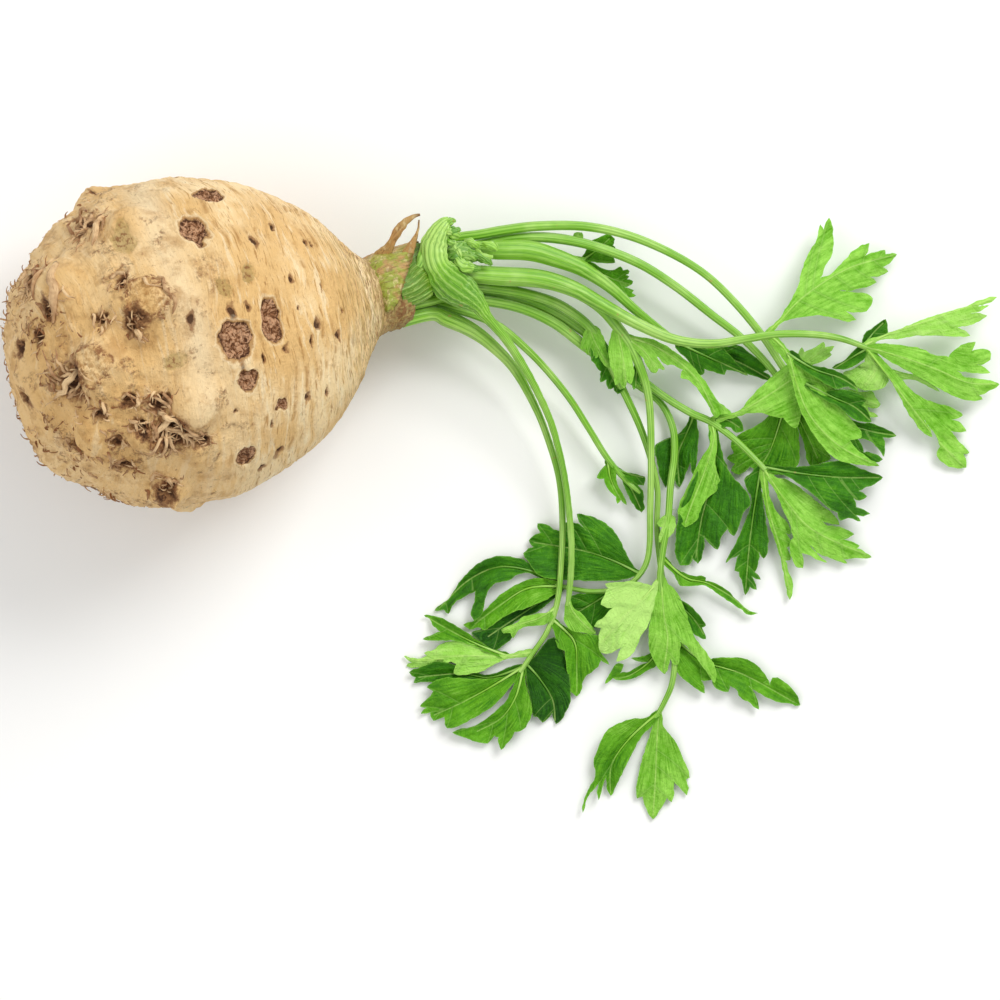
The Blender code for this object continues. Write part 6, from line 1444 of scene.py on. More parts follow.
def make_middle_stalks():
    """The four stalks in the middle of the crown, which carry most of the leaves."""
    leafy_stalk(
        "stalk_long", (4.5, 3.5, 2.6),
        [(-14, 82.6, 29.9, 3.2), (0, 81.6, 28, 3.5), (12, 81, 26.6, 3.4), (20, 79.4, 25.6, 3.2),
         (28, 76.4, 24.9, 2.9), (36, 72, 24.3, 2.5), (46, 66.4, 23.8, 2.2), (57, 61, 23.4, 2),
         (66, 58, 23, 1.8), (78, 57, 22.2, 1.6), (90, 58.8, 21.5, 1.5), (102, 60.6, 20.2, 1.4),
         (115, 60.5, 18.4, 1.3), (125, 59, 16.8, 1.2), (134.5, 55.8, 15, 1)],
        [
            (LIGHT,
             [(97.5, 60.6, 20.7), (103, 66, 20), (112, 75, 17), (128, 85, 11), (145, 90, 6)],
             [(103.5, 65), (107, 66.2), (113, 67.2), (120, 67.2), (126, 65.6), (131, 66), (129.5, 67.6),
              (127, 69.2), (131, 68.8), (134.8, 69.2), (137.2, 74), (134, 76), (130, 76.2), (124.8, 76.8),
              (133, 77.8), (138.7, 80), (136, 82), (143, 84), (141, 85.6), (144, 87.5), (146.2, 90.4),
              (142, 90.4), (141.8, 92), (138.5, 91.2), (134.5, 89.8), (136, 94.5), (131, 92.2), (126, 87.5),
              (121, 82.5), (117.6, 81.4), (119.5, 86), (122, 90), (122.6, 96), (121, 103.8), (119, 99.3),
              (117.8, 101.3), (116.5, 96), (113, 90), (110.5, 83.5), (109.5, 79), (106, 72), (102, 66)]),
            (LIGHT,
             [(98.5, 60.3, 20.6), (105, 54, 20.4), (108.5, 43, 19), (113.5, 31, 17), (124, 20, 14.5),
              (137, 13, 11.5)],
             [(108, 52), (112, 47), (118, 43.5), (123.5, 39.8), (121, 38.2), (124.5, 34.5), (128, 30.5),
              (131, 27), (133, 23), (129.5, 21.8), (127, 22.6), (131, 18.5), (134.5, 15.8), (139.5, 12.2),
              (134, 12.5), (130, 12.9), (124, 14.5), (120, 17.5), (116, 22.5), (112.5, 28), (110, 33),
              (107.5, 41), (105.3, 49)]),
            (SHADED,
             [(105.3, 53.6, 20.5), (115, 47.8, 19.6), (125, 44.5, 18), (131.5, 40.5, 16)],
             [(108, 54), (112, 50.4), (117, 48.6), (122, 47.7), (127, 45.2), (130.5, 42), (131.7, 39.5),
              (127, 41.3), (123.5, 40.4), (117, 43.8), (111, 47.5)]),
            (SHADED,
             [(112, 42.5, 18.6), (122, 37.5, 16.8), (130, 34, 15.2), (136, 29, 13.5)],
             [(119, 39.4), (124, 40.3), (130.3, 39.3), (134.5, 36.3), (133, 34.5), (136.5, 28.4),
              (131, 28.8), (127.5, 31), (124, 34), (119, 36.6)]),
            (PALE,
             [(133.5, 56.4, 15.2), (142, 60.5, 15), (155, 65, 14), (168, 69.5, 12.5), (182, 74, 10.5)],
             [(140, 58.6), (146, 58.8), (152, 60), (160, 60.2), (168, 59.8), (173, 60.2), (168.2, 63.3),
              (172, 63.8), (176, 65.3), (179.3, 67.6), (172, 68.3), (180, 71.4), (175.8, 71), (183, 74.5),
              (177, 73.4), (171, 70.8), (164, 68.8), (158, 67), (152, 64.8), (146, 62.2), (140, 60.2)]),
            (LIGHT,
             [(134, 56, 15.1), (145, 53, 15), (160, 48, 12.5), (172, 43, 10), (183, 42.5, 7.5)],
             [(139, 57.3), (144, 57), (150, 56.2), (156, 55), (160, 53), (165, 52.4), (168, 55.5),
              (171.5, 57.4), (175, 58), (173, 54), (177, 55.4), (180.5, 54.6), (180.8, 52.5), (179, 50.3),
              (175.5, 49.6), (180.6, 46.6), (173, 46.6), (168, 47.4), (171, 45), (176, 44.4), (184, 42.4),
              (181, 40.3), (176.5, 38.3), (177.8, 36.8), (172, 36.4), (167, 38), (161, 41), (155, 44.5),
              (149, 47.5), (143, 50.8), (138.5, 53.6)]),
            (LIGHT,
             [(134.5, 55.6, 15), (142, 46, 13.6), (152, 33, 10.5), (161, 22, 6), (170, 13, 2.5)],
             [(142, 50), (146, 46), (151, 40.5), (156, 37), (160, 35.6), (166, 34), (170.7, 31),
              (166.5, 29.3), (170, 28), (172, 25), (166, 25.2), (169, 21.5), (173.2, 17), (171, 16.6),
              (172, 11.6), (168, 11.5), (164, 13), (161, 16), (162.2, 19.5), (160.5, 23.5), (156, 29.5),
              (159.2, 22.8), (156, 24.4), (152.5, 28.5), (150, 32), (146.5, 38.5), (142.5, 45), (139, 50)]),
            (SHADED,
             [(133.5, 56.4, 14.9), (137, 61, 13.6), (141, 65, 11.5)],
             [(133, 58.6), (134, 61), (137, 63.2), (141.8, 66.3), (142.5, 64), (142.3, 60.8), (138, 58.8)]),
            (SHADED,
             [(134.8, 55.4, 14.8), (129, 52, 13.3), (122.5, 48, 12.3)],
             [(132, 56.2), (130, 54.8), (127, 51.5), (122, 48.3), (126, 47.6), (130, 49), (134, 51.8)]),
            (PALE,
             [(135.5, 54, 14.3), (138, 48, 12.6), (134, 42, 11.5)],
             [(139.5, 50), (141, 47), (143, 43.5), (141, 41), (137, 40), (132, 40.7), (129, 43.5),
              (126, 46.5), (130, 48), (134, 50.5)]),
            (PALE,
             [(137, 50.5, 13.2), (146, 46.5, 11.5), (154, 44.3, 9.5), (161, 40.5, 8)],
             [(142, 49), (147, 47), (152, 46), (156, 44.4), (159.5, 42), (162, 39.6), (156, 42.4),
              (151, 44.1), (146, 44.3), (141, 45.5)]),
        ],
    )
    leafy_stalk(
        "stalk_forked", (3.5, -3.2, 2.6),
        [(-17, 83.5, 24, 2.7), (0, 81.8, 20.8, 2.7), (14, 80.6, 19.4, 2.6), (24, 77.8, 18.7, 2.4),
         (32, 73.8, 18.3, 2.3), (38, 69, 18, 2.1), (43, 63, 17.8, 2), (47.3, 57, 17.4, 1.8),
         (50.6, 50, 16.8, 1.7), (53.6, 41, 15.6, 1.5), (55, 30, 14, 1.35), (55.3, 12, 11.6, 1.25),
         (55, -5, 9.4, 1.2), (54.8, -17, 7.5, 1.1), (53.5, -24, 6.3, 1.1), (50, -29.3, 5.2, 1),
         (45, -32.8, 4.3, 1), (38, -34, 3.4, 0.9), (30, -33.8, 2.3, 0.9), (20, -31.7, 1.5, 0.8)],
        [
            (LIGHT,
             [(42.5, 63.5, 17.9), (44.5, 54, 19), (46, 43, 17)],
             [(45.5, 60), (47.3, 55), (48.5, 50), (49, 45.5), (47.7, 42.2), (46.3, 44), (45.3, 40.5),
              (43.8, 43.3), (42, 41.8), (41.5, 46), (40, 50), (39.5, 55), (40.5, 61)]),
            (SHADED,
             [(50.6, 50, 16.8), (49.8, 46, 16.2), (49.6, 41.5, 15.6)],
             [(51.2, 46), (51.3, 43), (51.8, 40.8), (49.8, 42), (48.8, 40.2), (48.2, 43.5), (48.6, 48)]),
            (LIGHT,
             [(45.5, 59.5, 17.8), (52, 55, 19.3), (57, 48.5, 18.3)],
             [(49.5, 58.2), (54, 57), (57, 53.5), (58.5, 50.5), (60.3, 47.6), (58, 48), (57, 46.3),
              (55, 46.8), (53.3, 49.5), (51.5, 52.4), (48.5, 55.5)]),
            (LIGHT,
             [(45.5, 60, 17.9), (56, 56.4, 18.6), (64, 51.5, 16.5), (69.5, 47, 14.6), (74, 41.5, 13),
              (79, 31.5, 11.9)],
             [(50, 59.8), (54, 59.2), (60, 56.8), (66, 52.8), (70.5, 49), (74.3, 44.5), (76.8, 41),
              (80, 36), (85, 31.8), (81, 31.2), (79, 29.8), (77, 33.5), (73, 39.6), (69.5, 43.5),
              (66, 44.6), (67, 47.6), (63, 49.4), (60.5, 49.6), (56, 53.5), (50, 57)]),
            (SHADED,
             [(51.3, -27.6, 5.7), (42, -23, 4), (30, -19, 2.8), (12, -16, 2)],
             [(49.6, -25.5), (47, -21.5), (43.5, -14.5), (41, -10.8), (38, -8.5), (34, -6.5), (28, -5.5),
              (31.3, -11.3), (25, -8.2), (23, -9.5), (21.5, -8), (22, -11.8), (19.5, -11.3), (17, -9.5),
              (13.5, -9), (14.5, -12.5), (10.3, -15.3), (12, -17.8), (8.2, -20), (10, -23), (13, -27.5),
              (18, -29.4), (25, -30), (35, -30.3), (44, -30), (48.5, -28.9)]),
            (SHADED,
             [(42, -33.5, 3.9), (35, -38, 2), (28, -42, 1.5)],
             [(41, -35), (42, -39), (41, -43), (37, -47), (33, -47.5), (29, -44), (25, -41), (25.5, -36),
              (32, -34.8), (38, -34.6)]),
            (SHADED,
             [(22, -32, 1.7), (14, -27.5, 2.8), (0, -25, 3.8), (-12, -30, 3.4), (-23, -40.5, 1.5)],
             [(14, -26.4), (11, -24), (6, -21.8), (0, -21), (-5, -22), (-10, -25), (-14, -29), (-17.5, -34),
              (-19, -36.5), (-24.6, -41.2), (-21, -41), (-19.5, -42.5), (-18, -39.5), (-14, -36.5),
              (-9.5, -34), (-9.8, -38), (-11.2, -42), (-10, -45), (-7, -42.5), (-6, -38), (-4.5, -33.5),
              (-2, -31), (3, -30), (7, -27.7), (10, -27.3), (14, -29)]),
            (MID,
             [(22.5, -32.2, 1.8), (10, -33, 3.2), (0, -39, 2.8), (-10, -46.5, 1.4)],
             [(18, -29.8), (13, -29.2), (8, -30.5), (1, -34.5), (-3, -38), (-7, -42), (-10, -45),
              (-14, -46.5), (-11.5, -48.3), (-9, -47.5), (-6, -48.5), (-1, -45), (4, -42), (10, -40),
              (15, -38), (18.6, -36)]),
            (DEEP_SHADED,
             [(23, -32.4, 1.8), (10, -41, 1.3), (-5, -51, 1.1)],
             [(16, -35.2), (10, -38.5), (2, -42.5), (-6, -47.5), (-11, -49.5), (-6, -54), (-3, -56.2),
              (1, -54), (5, -50), (3, -47), (6, -45), (13, -42), (17.5, -38.5)]),
        ],
    )
    leafy_stalk(
        "stalk_leaning", (-1.5, 1.5, 1.8),
        [(-16, 78.4, 27.2, 1.9), (0, 77, 22.6, 1.9), (12, 74.8, 19.4, 1.8), (22, 71.2, 16.4, 1.8),
         (32, 64, 13.8, 1.7), (37.5, 55.5, 12.6, 1.6), (42, 46, 11.4, 1.5), (46.5, 37, 10.4, 1.4),
         (51.5, 26, 9, 1.3), (55.5, 14, 7.6, 1.2), (57.8, 3, 6.2, 1.1), (57.6, -10, 4.7, 1.1),
         (59, -25, 3.3, 1.1), (62, -42, 2.6, 1), (65, -54, 2.4, 0.9)],
        [
            (LIGHT,
             [(32.5, 63.4, 13.9), (35, 57, 15.2), (39, 50, 14.4)],
             [(36, 63), (38, 59), (40, 54), (41.3, 49), (39.5, 48.3), (37.5, 50), (36, 53), (35, 51.8),
              (33.6, 52.5), (33, 54.5), (31.8, 53), (31, 55.5), (29.3, 55), (30.2, 60)]),
            (SHADED,
             [(34, 61.4, 13.6), (38, 52, 12.8), (43, 41.5, 11.6)],
             [(38.5, 58), (42, 51.5), (45, 46), (46, 42), (44.5, 39.5), (43, 38.6), (41.5, 41),
              (39.5, 40.6), (38.8, 44), (36.6, 43), (36.8, 47), (34.5, 49.8), (33.2, 51), (33, 57)]),
            (MID,
             [(64, -51.5, 2.5), (75, -60, 2.6), (90, -65, 2.6), (109, -75.5, 1.4)],
             [(67, -54), (70, -57), (74, -59.3), (78.5, -58.8), (84, -58.5), (90, -59), (95, -61.8),
              (98, -65.5), (99.5, -69), (100.3, -66), (104, -67), (107.5, -70), (110.7, -76.3),
              (106, -75.5), (102, -75), (96, -72), (91.5, -69), (94.5, -73.5), (95.3, -77.8), (92, -75.3),
              (88.5, -73.3), (87, -70.5), (84.5, -69), (84, -71.3), (79.5, -70), (78, -66.8), (74, -67),
              (75.3, -71.8), (72, -70), (68, -67), (64.5, -63), (63.6, -57)]),
            (MID,
             [(63.5, -48, 2.5), (56, -59, 2.6), (48, -65, 2.4), (42, -66.3, 2)],
             [(58, -56), (53, -58), (48, -58.8), (55, -60.3), (51, -61.7), (48, -63.5), (44, -64.4),
              (45.3, -61), (42.5, -61), (40.5, -64), (38.4, -68.3), (41.5, -66.2), (44, -67), (49, -66.3),
              (54, -63.5), (59, -60.3)]),
        ],
    )
    leafy_stalk(
        "stalk_fan", (-2.8, -3, 1.8),
        [(-18, 76.2, 22.2, 1.8), (-5, 75.3, 17.6, 1.8), (8, 73.3, 14, 1.75), (20, 68.5, 11.2, 1.7),
         (30, 62, 9, 1.65), (40, 54, 7.6, 1.6), (50, 45.7, 7, 1.5), (60, 38, 7, 1.4), (70, 31.8, 7.4, 1.4),
         (77.5, 28.4, 8.2, 1.35), (87, 21.3, 9.3, 1.2), (97.5, 10.8, 10.8, 1)],
        [
            (LIGHT,
             [(76.5, 28.8, 8.1), (82, 29.8, 9.2), (88, 32, 10.6), (98, 38, 13), (107, 44, 14.6)],
             [(88, 32.8), (92, 37.5), (97.5, 43), (102, 47), (107.5, 50), (109.5, 44), (110.5, 36),
              (110, 28.5), (108.5, 26), (106, 27.5), (104, 30), (100, 30.5), (96, 31.8), (92, 31.6),
              (88, 30.6)]),
            (LIGHT,
             [(77.5, 28.4, 8.2), (78.5, 22, 9.4), (75, 10, 9.6), (70, -3, 8.6), (68, -9, 7.6)],
             [(77, 20.5), (73, 13.5), (69.5, 6), (65.8, -2), (65.6, -7), (68, -10.5), (72, -8), (74.5, -2),
              (77, 1), (79.6, 3), (79.8, 5.6), (82.5, 3.2), (80.4, 8), (79, 13), (79.6, 19.5)]),
            (SHADED,
             [(78, 28, 8.2), (79.5, 21, 8.8), (78, 8, 7.6), (74, -8, 5.8), (72, -22, 3.5)],
             [(81, 20), (82.5, 14), (85, 9), (89, 4.5), (91.5, 1), (92, -2), (89.5, -5), (88, -9.5),
              (86, -13.7), (83.5, -11), (81.6, -13.6), (80, -18.7), (76.5, -16), (75, -13.5), (74.5, -20),
              (72.8, -24), (70.5, -21), (69.5, -24.4), (66, -24.5), (64.8, -22), (64.6, -12), (66, -4),
              (70, 6), (76.5, 17)]),
            (SHADED,
             [(71, 31.4, 7.2), (70.4, 28.4, 3.2), (68.5, 24, 1.8), (65.5, 16, 1.5), (66, 5, 1.4)],
             [(72.5, 28.5), (73, 22), (72.5, 16), (71, 9), (70, 13.5), (68.5, 10), (66, 4.3), (64, 8),
              (62, 12), (61, 4), (58, 12), (57, 20), (62, 22.6), (66, 24.4), (69, 28.4)]),
            (SHADED,
             [(79, 27.3, 8.4), (83, 29.2, 8.9), (88, 26.4, 8.6)],
             [(81.6, 31.8), (85, 31), (87.6, 30), (89.5, 25.3), (87, 24.4), (84, 26.5)]),
            (SHADED,
             [(96.5, 11.9, 10.6), (110, 9.5, 11), (125, 8, 9.5), (140, 8, 6.5)],
             [(104, 12), (110, 12), (115, 12.6), (120, 13.6), (126, 14), (131, 12), (136, 10), (141, 8),
              (138, 5.5), (134, 4), (132, 3), (135, 1), (132, -0.6), (130, 0.3), (131, -3), (136.2, -5.5),
              (131, -6), (132.6, -8.2), (128, -7), (125, -8), (124, -5), (121, -3.5), (117, 0), (112, 4),
              (104, 9)]),
            (LIGHT,
             [(96, 12.4, 10.6), (106, -2, 9.6), (116, -12, 7.5), (135, -20.6, 3.5)],
             [(101, 8.4), (106, 7), (110, 4.5), (113, 2), (118, -2), (122, -5), (125, -9.5), (117.5, -7.3),
              (120, -9.5), (125, -10.2), (130.5, -13), (124, -15), (132.5, -17.2), (131.5, -18.2),
              (137, -21.5), (131, -21.8), (126, -22), (128, -23.8), (122, -22), (118, -20.5), (114, -17),
              (117, -20.5), (120.5, -23.5), (113, -20.5), (111, -20), (111.5, -25.5), (108.5, -24.5),
              (107.5, -22), (106.5, -17), (108, -14), (106.5, -9), (104, -4), (100.5, 4)]),
            (LIGHT,
             [(96.6, 11.8, 10.5), (98.5, -3, 8.6), (103, -18, 5.6), (106.8, -35, 2.5)],
             [(98.5, 6), (99.5, 0), (102, -5), (106, -9), (107, -13), (105, -12.5), (107.5, -17),
              (105.5, -18), (107, -22.5), (105, -22.8), (106.3, -27), (108, -31.5), (106.8, -37.3),
              (105, -31), (103.5, -23), (101, -15), (99, -9), (97, -1), (96, 5)]),
            (SHADED,
             [(96, 12.4, 10.2), (94, 0, 7.4), (92, -15, 5), (90.5, -33, 2.4)],
             [(91.5, 9), (89.6, 7), (90.6, 4), (92.4, 0), (91, -6), (89, -11), (86, -17.5), (83, -23.6),
              (85, -22), (88, -20.5), (86.3, -26.5), (88, -27), (89, -30), (90.3, -35.5), (92, -32.4),
              (94.5, -33.5), (92.7, -28.6), (96, -29.8), (93.8, -27), (95, -24), (95.3, -19.5), (97, -22),
              (98.5, -19), (98.4, -12), (97.5, -6), (96.3, 2), (96, 8)]),
        ],
    )


def make_lower_stalks():
    """The hanging stalk, the outer one and the thin one."""
    leafy_stalk(
        "stalk_hanging", (-6, 0.2, 1.8),
        [(-20, 73.9, 26.4, 1.8), (-5, 72.7, 20.6, 1.9), (8, 70, 16.2, 1.9), (20, 64.6, 12.7, 2),
         (30, 57, 9.8, 1.9), (40, 49.3, 6.8, 1.5), (50, 42.4, 4.6, 1.35), (57, 37.4, 3.6, 1.3),
         (61, 32.4, 4, 1.3), (63.7, 25, 4.8, 1.35), (64, 16, 5.4, 1.35), (62.6, 5, 6.2, 1.3),
         (61.6, -8, 7.2, 1.25), (59.6, -20, 7.8, 1.2), (58.8, -31, 7.6, 1.2), (61.5, -44, 6.6, 1.2),
         (64, -58, 5.2, 1.1), (63.2, -68, 4.2, 1.1), (60.4, -75, 3.4, 1), (57.2, -81, 2.6, 0.9)],
        [
            (PALE,
             [(61.7, -5, 7), (60, -10, 8.6), (58.6, -14.5, 8)],
             [(64.4, -3.5), (61.4, -5.2), (57.5, -9), (59.5, -10.4), (58.2, -16), (61.5, -14.6),
              (64, -11.5), (64.4, -7)]),
            (WHITE,
             [(58.9, -29.5, 7.6), (52, -37, 9.6), (44, -45, 9.6), (37.4, -53, 8.2)],
             [(55.5, -32), (50, -30.5), (44, -30.6), (38.3, -31.3), (39.5, -33), (38, -36), (36.8, -39),
              (41.2, -40.2), (38, -43.5), (34.3, -47), (37, -47.5), (36, -54), (36.6, -56.3), (40, -57),
              (43, -55.5), (45, -54.3), (42.6, -60), (47, -58.5), (50, -54.5), (52, -50), (54, -47.2),
              (56.5, -40)]),
            (LIGHT,
             [(59, -28, 7.6), (60, -42, 9), (61.5, -52, 8.6), (60, -63, 6)],
             [(56.5, -35), (55.3, -43), (54.5, -48), (54.5, -54), (56, -59), (58, -62.5), (60.5, -64.7),
              (62, -61), (62.5, -58.8), (63.5, -61), (65.5, -61), (66, -57), (66, -52.3), (69, -55),
              (73, -60), (76, -64), (79, -68), (79.5, -64), (77.5, -59), (74.5, -55), (71.5, -51),
              (70, -47), (67.5, -40), (64.6, -34), (61.5, -31)]),
            (SHADED,
             [(60, -35, 7.3), (70, -43, 6.5), (75, -50, 5)],
             [(66, -37), (70, -39.5), (73, -42.5), (75.7, -46.7), (74.3, -47.5), (75.7, -51.7), (72, -50.5),
              (69, -47), (65, -41.5)]),
            (MID,
             [(59.4, -21.5, 7.7), (68, -29, 5.2), (76, -31, 4.5), (85, -36, 4), (92, -41.8, 3)],
             [(64.5, -25.6), (69, -27.8), (75.7, -29), (75.6, -30.2), (79, -31), (84, -34), (88, -38),
              (92, -41.4), (95, -42.2), (91.5, -42.8), (88.5, -40.6), (86, -39), (80, -35), (75, -31.9),
              (70, -32.2), (66, -32), (64, -28)]),
            (MID,
             [(58.5, -78.6, 2.9), (48, -88, 3.4), (41, -98, 3), (40.5, -109, 1.5)],
             [(54, -80.6), (48, -81.3), (42, -83.5), (38, -87), (36, -91.5), (34.2, -97), (34.8, -102.5),
              (32.5, -107), (30.7, -111), (30.2, -116), (32.2, -110), (33.8, -108), (36.3, -104.5),
              (36, -111.3), (38, -105), (38.8, -102.5), (40.6, -109.8), (43, -105), (46, -99), (49, -93),
              (52, -87.5), (55.5, -84.2)]),
            (LIGHT,
             [(58.4, -78.8, 2.9), (57.5, -92, 3.4), (57, -105, 3), (56.2, -117, 1.5)],
             [(60, -84), (62, -86.5), (65, -90.5), (67.5, -96.5), (69.8, -103), (68.4, -103.6),
              (68.8, -109.6), (66.3, -107), (63.6, -103.4), (63.1, -112.2), (61.3, -110.5), (60.3, -112.5),
              (56.2, -118.5), (53.5, -114), (52.3, -110), (50.3, -110.8), (50.6, -103), (52, -97),
              (54, -90), (55.7, -85)]),
        ],
    )
    leafy_stalk(
        "stalk_outer", (-10.6, -2.2, 2.7),
        [(-20, 66.2, 25.4, 3.1), (-12, 62.6, 23.8, 2.8), (-4, 57, 22.2, 2.3), (5, 47.6, 19.6, 1.8),
         (13, 33, 15.6, 1.35), (18, 20, 12.3, 1.25), (21.5, 7, 9.6, 1.2), (22.7, -8, 7.2, 1.2),
         (22.2, -24, 5.3, 1.1), (20.8, -38, 4.3, 1.1), (17, -49, 3.8, 1), (12, -56.6, 3.4, 1),
         (7, -64, 2.9, 0.9)],
        [
            (LIGHT,
             [(20.5, -40, 4.2), (14, -44, 6), (6, -46.5, 5.6), (0.6, -48.6, 4.5)],
             [(17.5, -42.3), (14, -42.2), (8, -43.5), (5, -46), (0, -48.3), (1, -49.7), (3.5, -49.5),
              (4.5, -51.5), (6, -49), (8, -47.5), (13, -46.8), (17, -46)]),
            (PALE,
             [(12.2, -56.3, 3.4), (3, -58.2, 3.6), (-5, -58, 4), (-15, -58, 4.2), (-27, -58.5, 2.5)],
             [(1, -57.4), (-5, -56), (-11, -53.5), (-17, -52.5), (-22, -53.5), (-25.5, -56), (-28.5, -57),
              (-26, -58.5), (-21, -59.5), (-22, -61), (-18.5, -60), (-16.5, -61), (-17.5, -64.5),
              (-14, -65), (-8, -64), (-3, -61.5), (1, -59.5)]),
            (PALE,
             [(-16, -58, 3.7), (-29, -59.8, 2.2), (-35.5, -58.6, 1.5)],
             [(-26, -57.4), (-31, -59), (-36, -58), (-33, -60.5), (-35, -61.8), (-30, -62.3), (-25, -61)]),
            (MID,
             [(3, -58.2, 3.5), (-8, -54, 4.5), (-17, -49.5, 4), (-27.5, -43.6, 2)],
             [(-4, -55), (-8, -52.5), (-14, -48.5), (-20, -45), (-24, -43.4), (-28.5, -43), (-26, -45),
              (-25.5, -46.5), (-22.5, -49), (-25.5, -50.2), (-29, -51.8), (-24, -52.3), (-17, -52.4),
              (-10, -54.4), (-4, -57)]),
            (MID,
             [(8.5, -61.8, 3), (-3, -69, 3.8), (-14, -75, 3.3), (-25, -80, 1.8)],
             [(3, -65), (-4, -66.3), (-14, -66.2), (-22, -66.3), (-27.5, -69.5), (-25, -71), (-26, -72.7),
              (-30, -76.6), (-27.5, -77.2), (-29.7, -79.4), (-26.2, -78.9), (-25, -82), (-21, -80.5),
              (-20, -84.7), (-14, -83), (-8, -79.8), (-3, -76.5), (1, -72.5), (5, -67.6)]),
            (SHADED,
             [(8.5, -61.8, 2.9), (-4, -66, 2.2), (-15, -64.5, 1.9), (-31, -66, 1.4)],
             [(-6, -65), (-10, -63.5), (-16, -61.5), (-20, -60.5), (-24, -60), (-28, -61.5), (-34, -64),
              (-31.5, -66), (-32.3, -68), (-28, -67.6), (-24, -68), (-16, -67.5), (-6, -67.2)]),
            (MID,
             [(8.3, -62, 2.9), (5.5, -73, 3.8), (0, -81, 3.3), (-9, -86, 1.5)],
             [(4.2, -70), (2.5, -73.6), (-1, -77.4), (-4, -80), (-9, -83.5), (-18, -86.3), (-13, -88.3),
              (-9, -89.8), (-5, -90.4), (-2.5, -87.5), (-1, -88), (0, -92.7), (2.5, -90), (5, -86),
              (7.5, -85.5), (10, -82.5), (11.5, -79), (10.5, -73), (9, -67.5)]),
            (DEEP_SHADED,
             [(9.2, -60.8, 2.9), (14, -66, 2.2), (19, -74, 1.8), (20, -82, 1.2)],
             [(12.5, -58), (15.5, -54), (19.5, -51), (22, -54), (24.5, -60), (25.5, -67), (25.8, -72),
              (25, -77), (22.5, -81.5), (20.3, -83.2), (19, -79), (15.3, -82.7), (13.5, -80.5), (12, -80.5),
              (11, -75), (9.6, -69), (9, -64)]),
            (MID,
             [(19, -44.5, 4), (27, -52.5, 4.2), (28, -63, 3.2), (28, -72, 1.6)],
             [(23, -46.6), (27, -48.5), (33, -50), (36, -50.5), (36.5, -56), (40, -61.2), (37, -59.5),
              (34, -63.5), (31, -66), (29.5, -71), (28, -73), (26, -71.5), (25, -66), (24, -60),
              (23.5, -56), (21, -55), (19.8, -50)]),
        ],
    )
    leafy_stalk(
        "stalk_thin", (-6.4, -5.2, 1.6),
        [(-18, 70, 22, 1.7), (-8, 67, 20.6, 1.6), (0, 63, 18.8, 1.5), (8, 56.4, 16.4, 1.4),
         (16, 48.4, 13.4, 1.3), (25, 37.4, 10.4, 1.25), (32, 26.6, 8.2, 1.2), (39, 15.4, 6.4, 1.15),
         (46, 7, 5.4, 1), (51.5, 2.4, 4.8, 0.9)],
        [
            (MID,
             [(39.3, 15, 6.3), (40.6, 7, 6), (44.6, -0.6, 5.2)],
             [(38.6, 12.6), (35.3, 7.8), (38, 7.5), (40, 3), (42.5, 0.8), (43, -1.8), (44.3, -0.3),
              (46.4, -2.2), (45, 2), (43, 5.5), (42.3, 10)]),
            (SHADED,
             [(45.5, 7.6, 5.5), (48.5, 3, 5), (51.6, -3.6, 4)],
             [(45.6, 4.6), (46.5, 2.2), (47.5, 0), (49, -2), (52, -5), (53.2, -3), (52.6, -1), (52.8, 1),
              (51, 4.6)]),
            (SHADED,
             [(42, 11.6, 5.9), (47, 9.4, 5.6), (52.6, 8, 5)],
             [(45, 10.6), (49, 9.4), (53.2, 8.2), (52.8, 5), (49.5, 5.4), (45.4, 8)]),
        ],
    )


def make_stage(look):
    """The pale floor, the even light from all round, the lamps overhead and the camera above."""
    scene = bpy.context.scene
    floor = Finish("pale_floor", roughness=0.9, specular=0.1)
    floor.shader.inputs["Base Color"].default_value = (*look.floor, 1.0)
    plate = bpy.data.meshes.new("pale_floor")
    turns = ((-1, -1), (1, -1), (1, 1), (-1, 1))
    corners = [(x * FLOOR_REACH, y * FLOOR_REACH, 0.0) for x, y in turns]
    plate.from_pydata(corners, [], [(0, 1, 2, 3)])
    plate.materials.append(floor.material)
    ground = bpy.data.objects.new("pale_floor", plate)
    scene.collection.objects.link(ground)
    world = bpy.data.worlds.new("even_sky")
    world.use_nodes = True
    world.node_tree.nodes["Background"].inputs["Color"].default_value = (1.0, 1.0, 1.0, 1.0)
    world.node_tree.nodes["Background"].inputs["Strength"].default_value = look.sky
    scene.world = world
    scene.view_settings.view_transform = "Standard"
    for name, place, size, share in LAMPS:
        lamp = bpy.data.lights.new(name, "AREA")
        lamp.size = size
        lamp.energy = look.key * share
        made = bpy.data.objects.new(name, lamp)
        made.location = place
        made.rotation_euler = Vector(place).to_track_quat("Z", "Y").to_euler()
        scene.collection.objects.link(made)
    view = bpy.data.cameras.new("overhead")
    view.sensor_width = SENSOR
    view.lens = SENSOR * CAMERA_HEIGHT / (PIXEL * PHOTO_SIDE)
    view.clip_end = CAMERA_REACH
    camera = bpy.data.objects.new("overhead", view)
    camera.location = (
        (PHOTO_MIDDLE[0] - MIDDLE.x) * MM, (PHOTO_MIDDLE[1] - MIDDLE.y) * MM, CAMERA_HEIGHT * MM,
    )
    scene.collection.objects.link(camera)
    scene.camera = camera


class CELERIAC_OT_stage(bpy.types.Operator):
    """Lay the pale floor and set the lamps and the camera"""

    bl_idname = "celeriac.stage"
    bl_label = "Stage"

    def execute(self, context):
        make_stage(context.scene.celeriac_stage)
        return {"FINISHED"}


class CELERIAC_OT_root(bpy.types.Operator):
    """Make the swollen root's skin"""

    bl_idname = "celeriac.root"
    bl_label = "Swollen root"

    def execute(self, context):
        make_root(context.scene.celeriac_root)
        return {"FINISHED"}


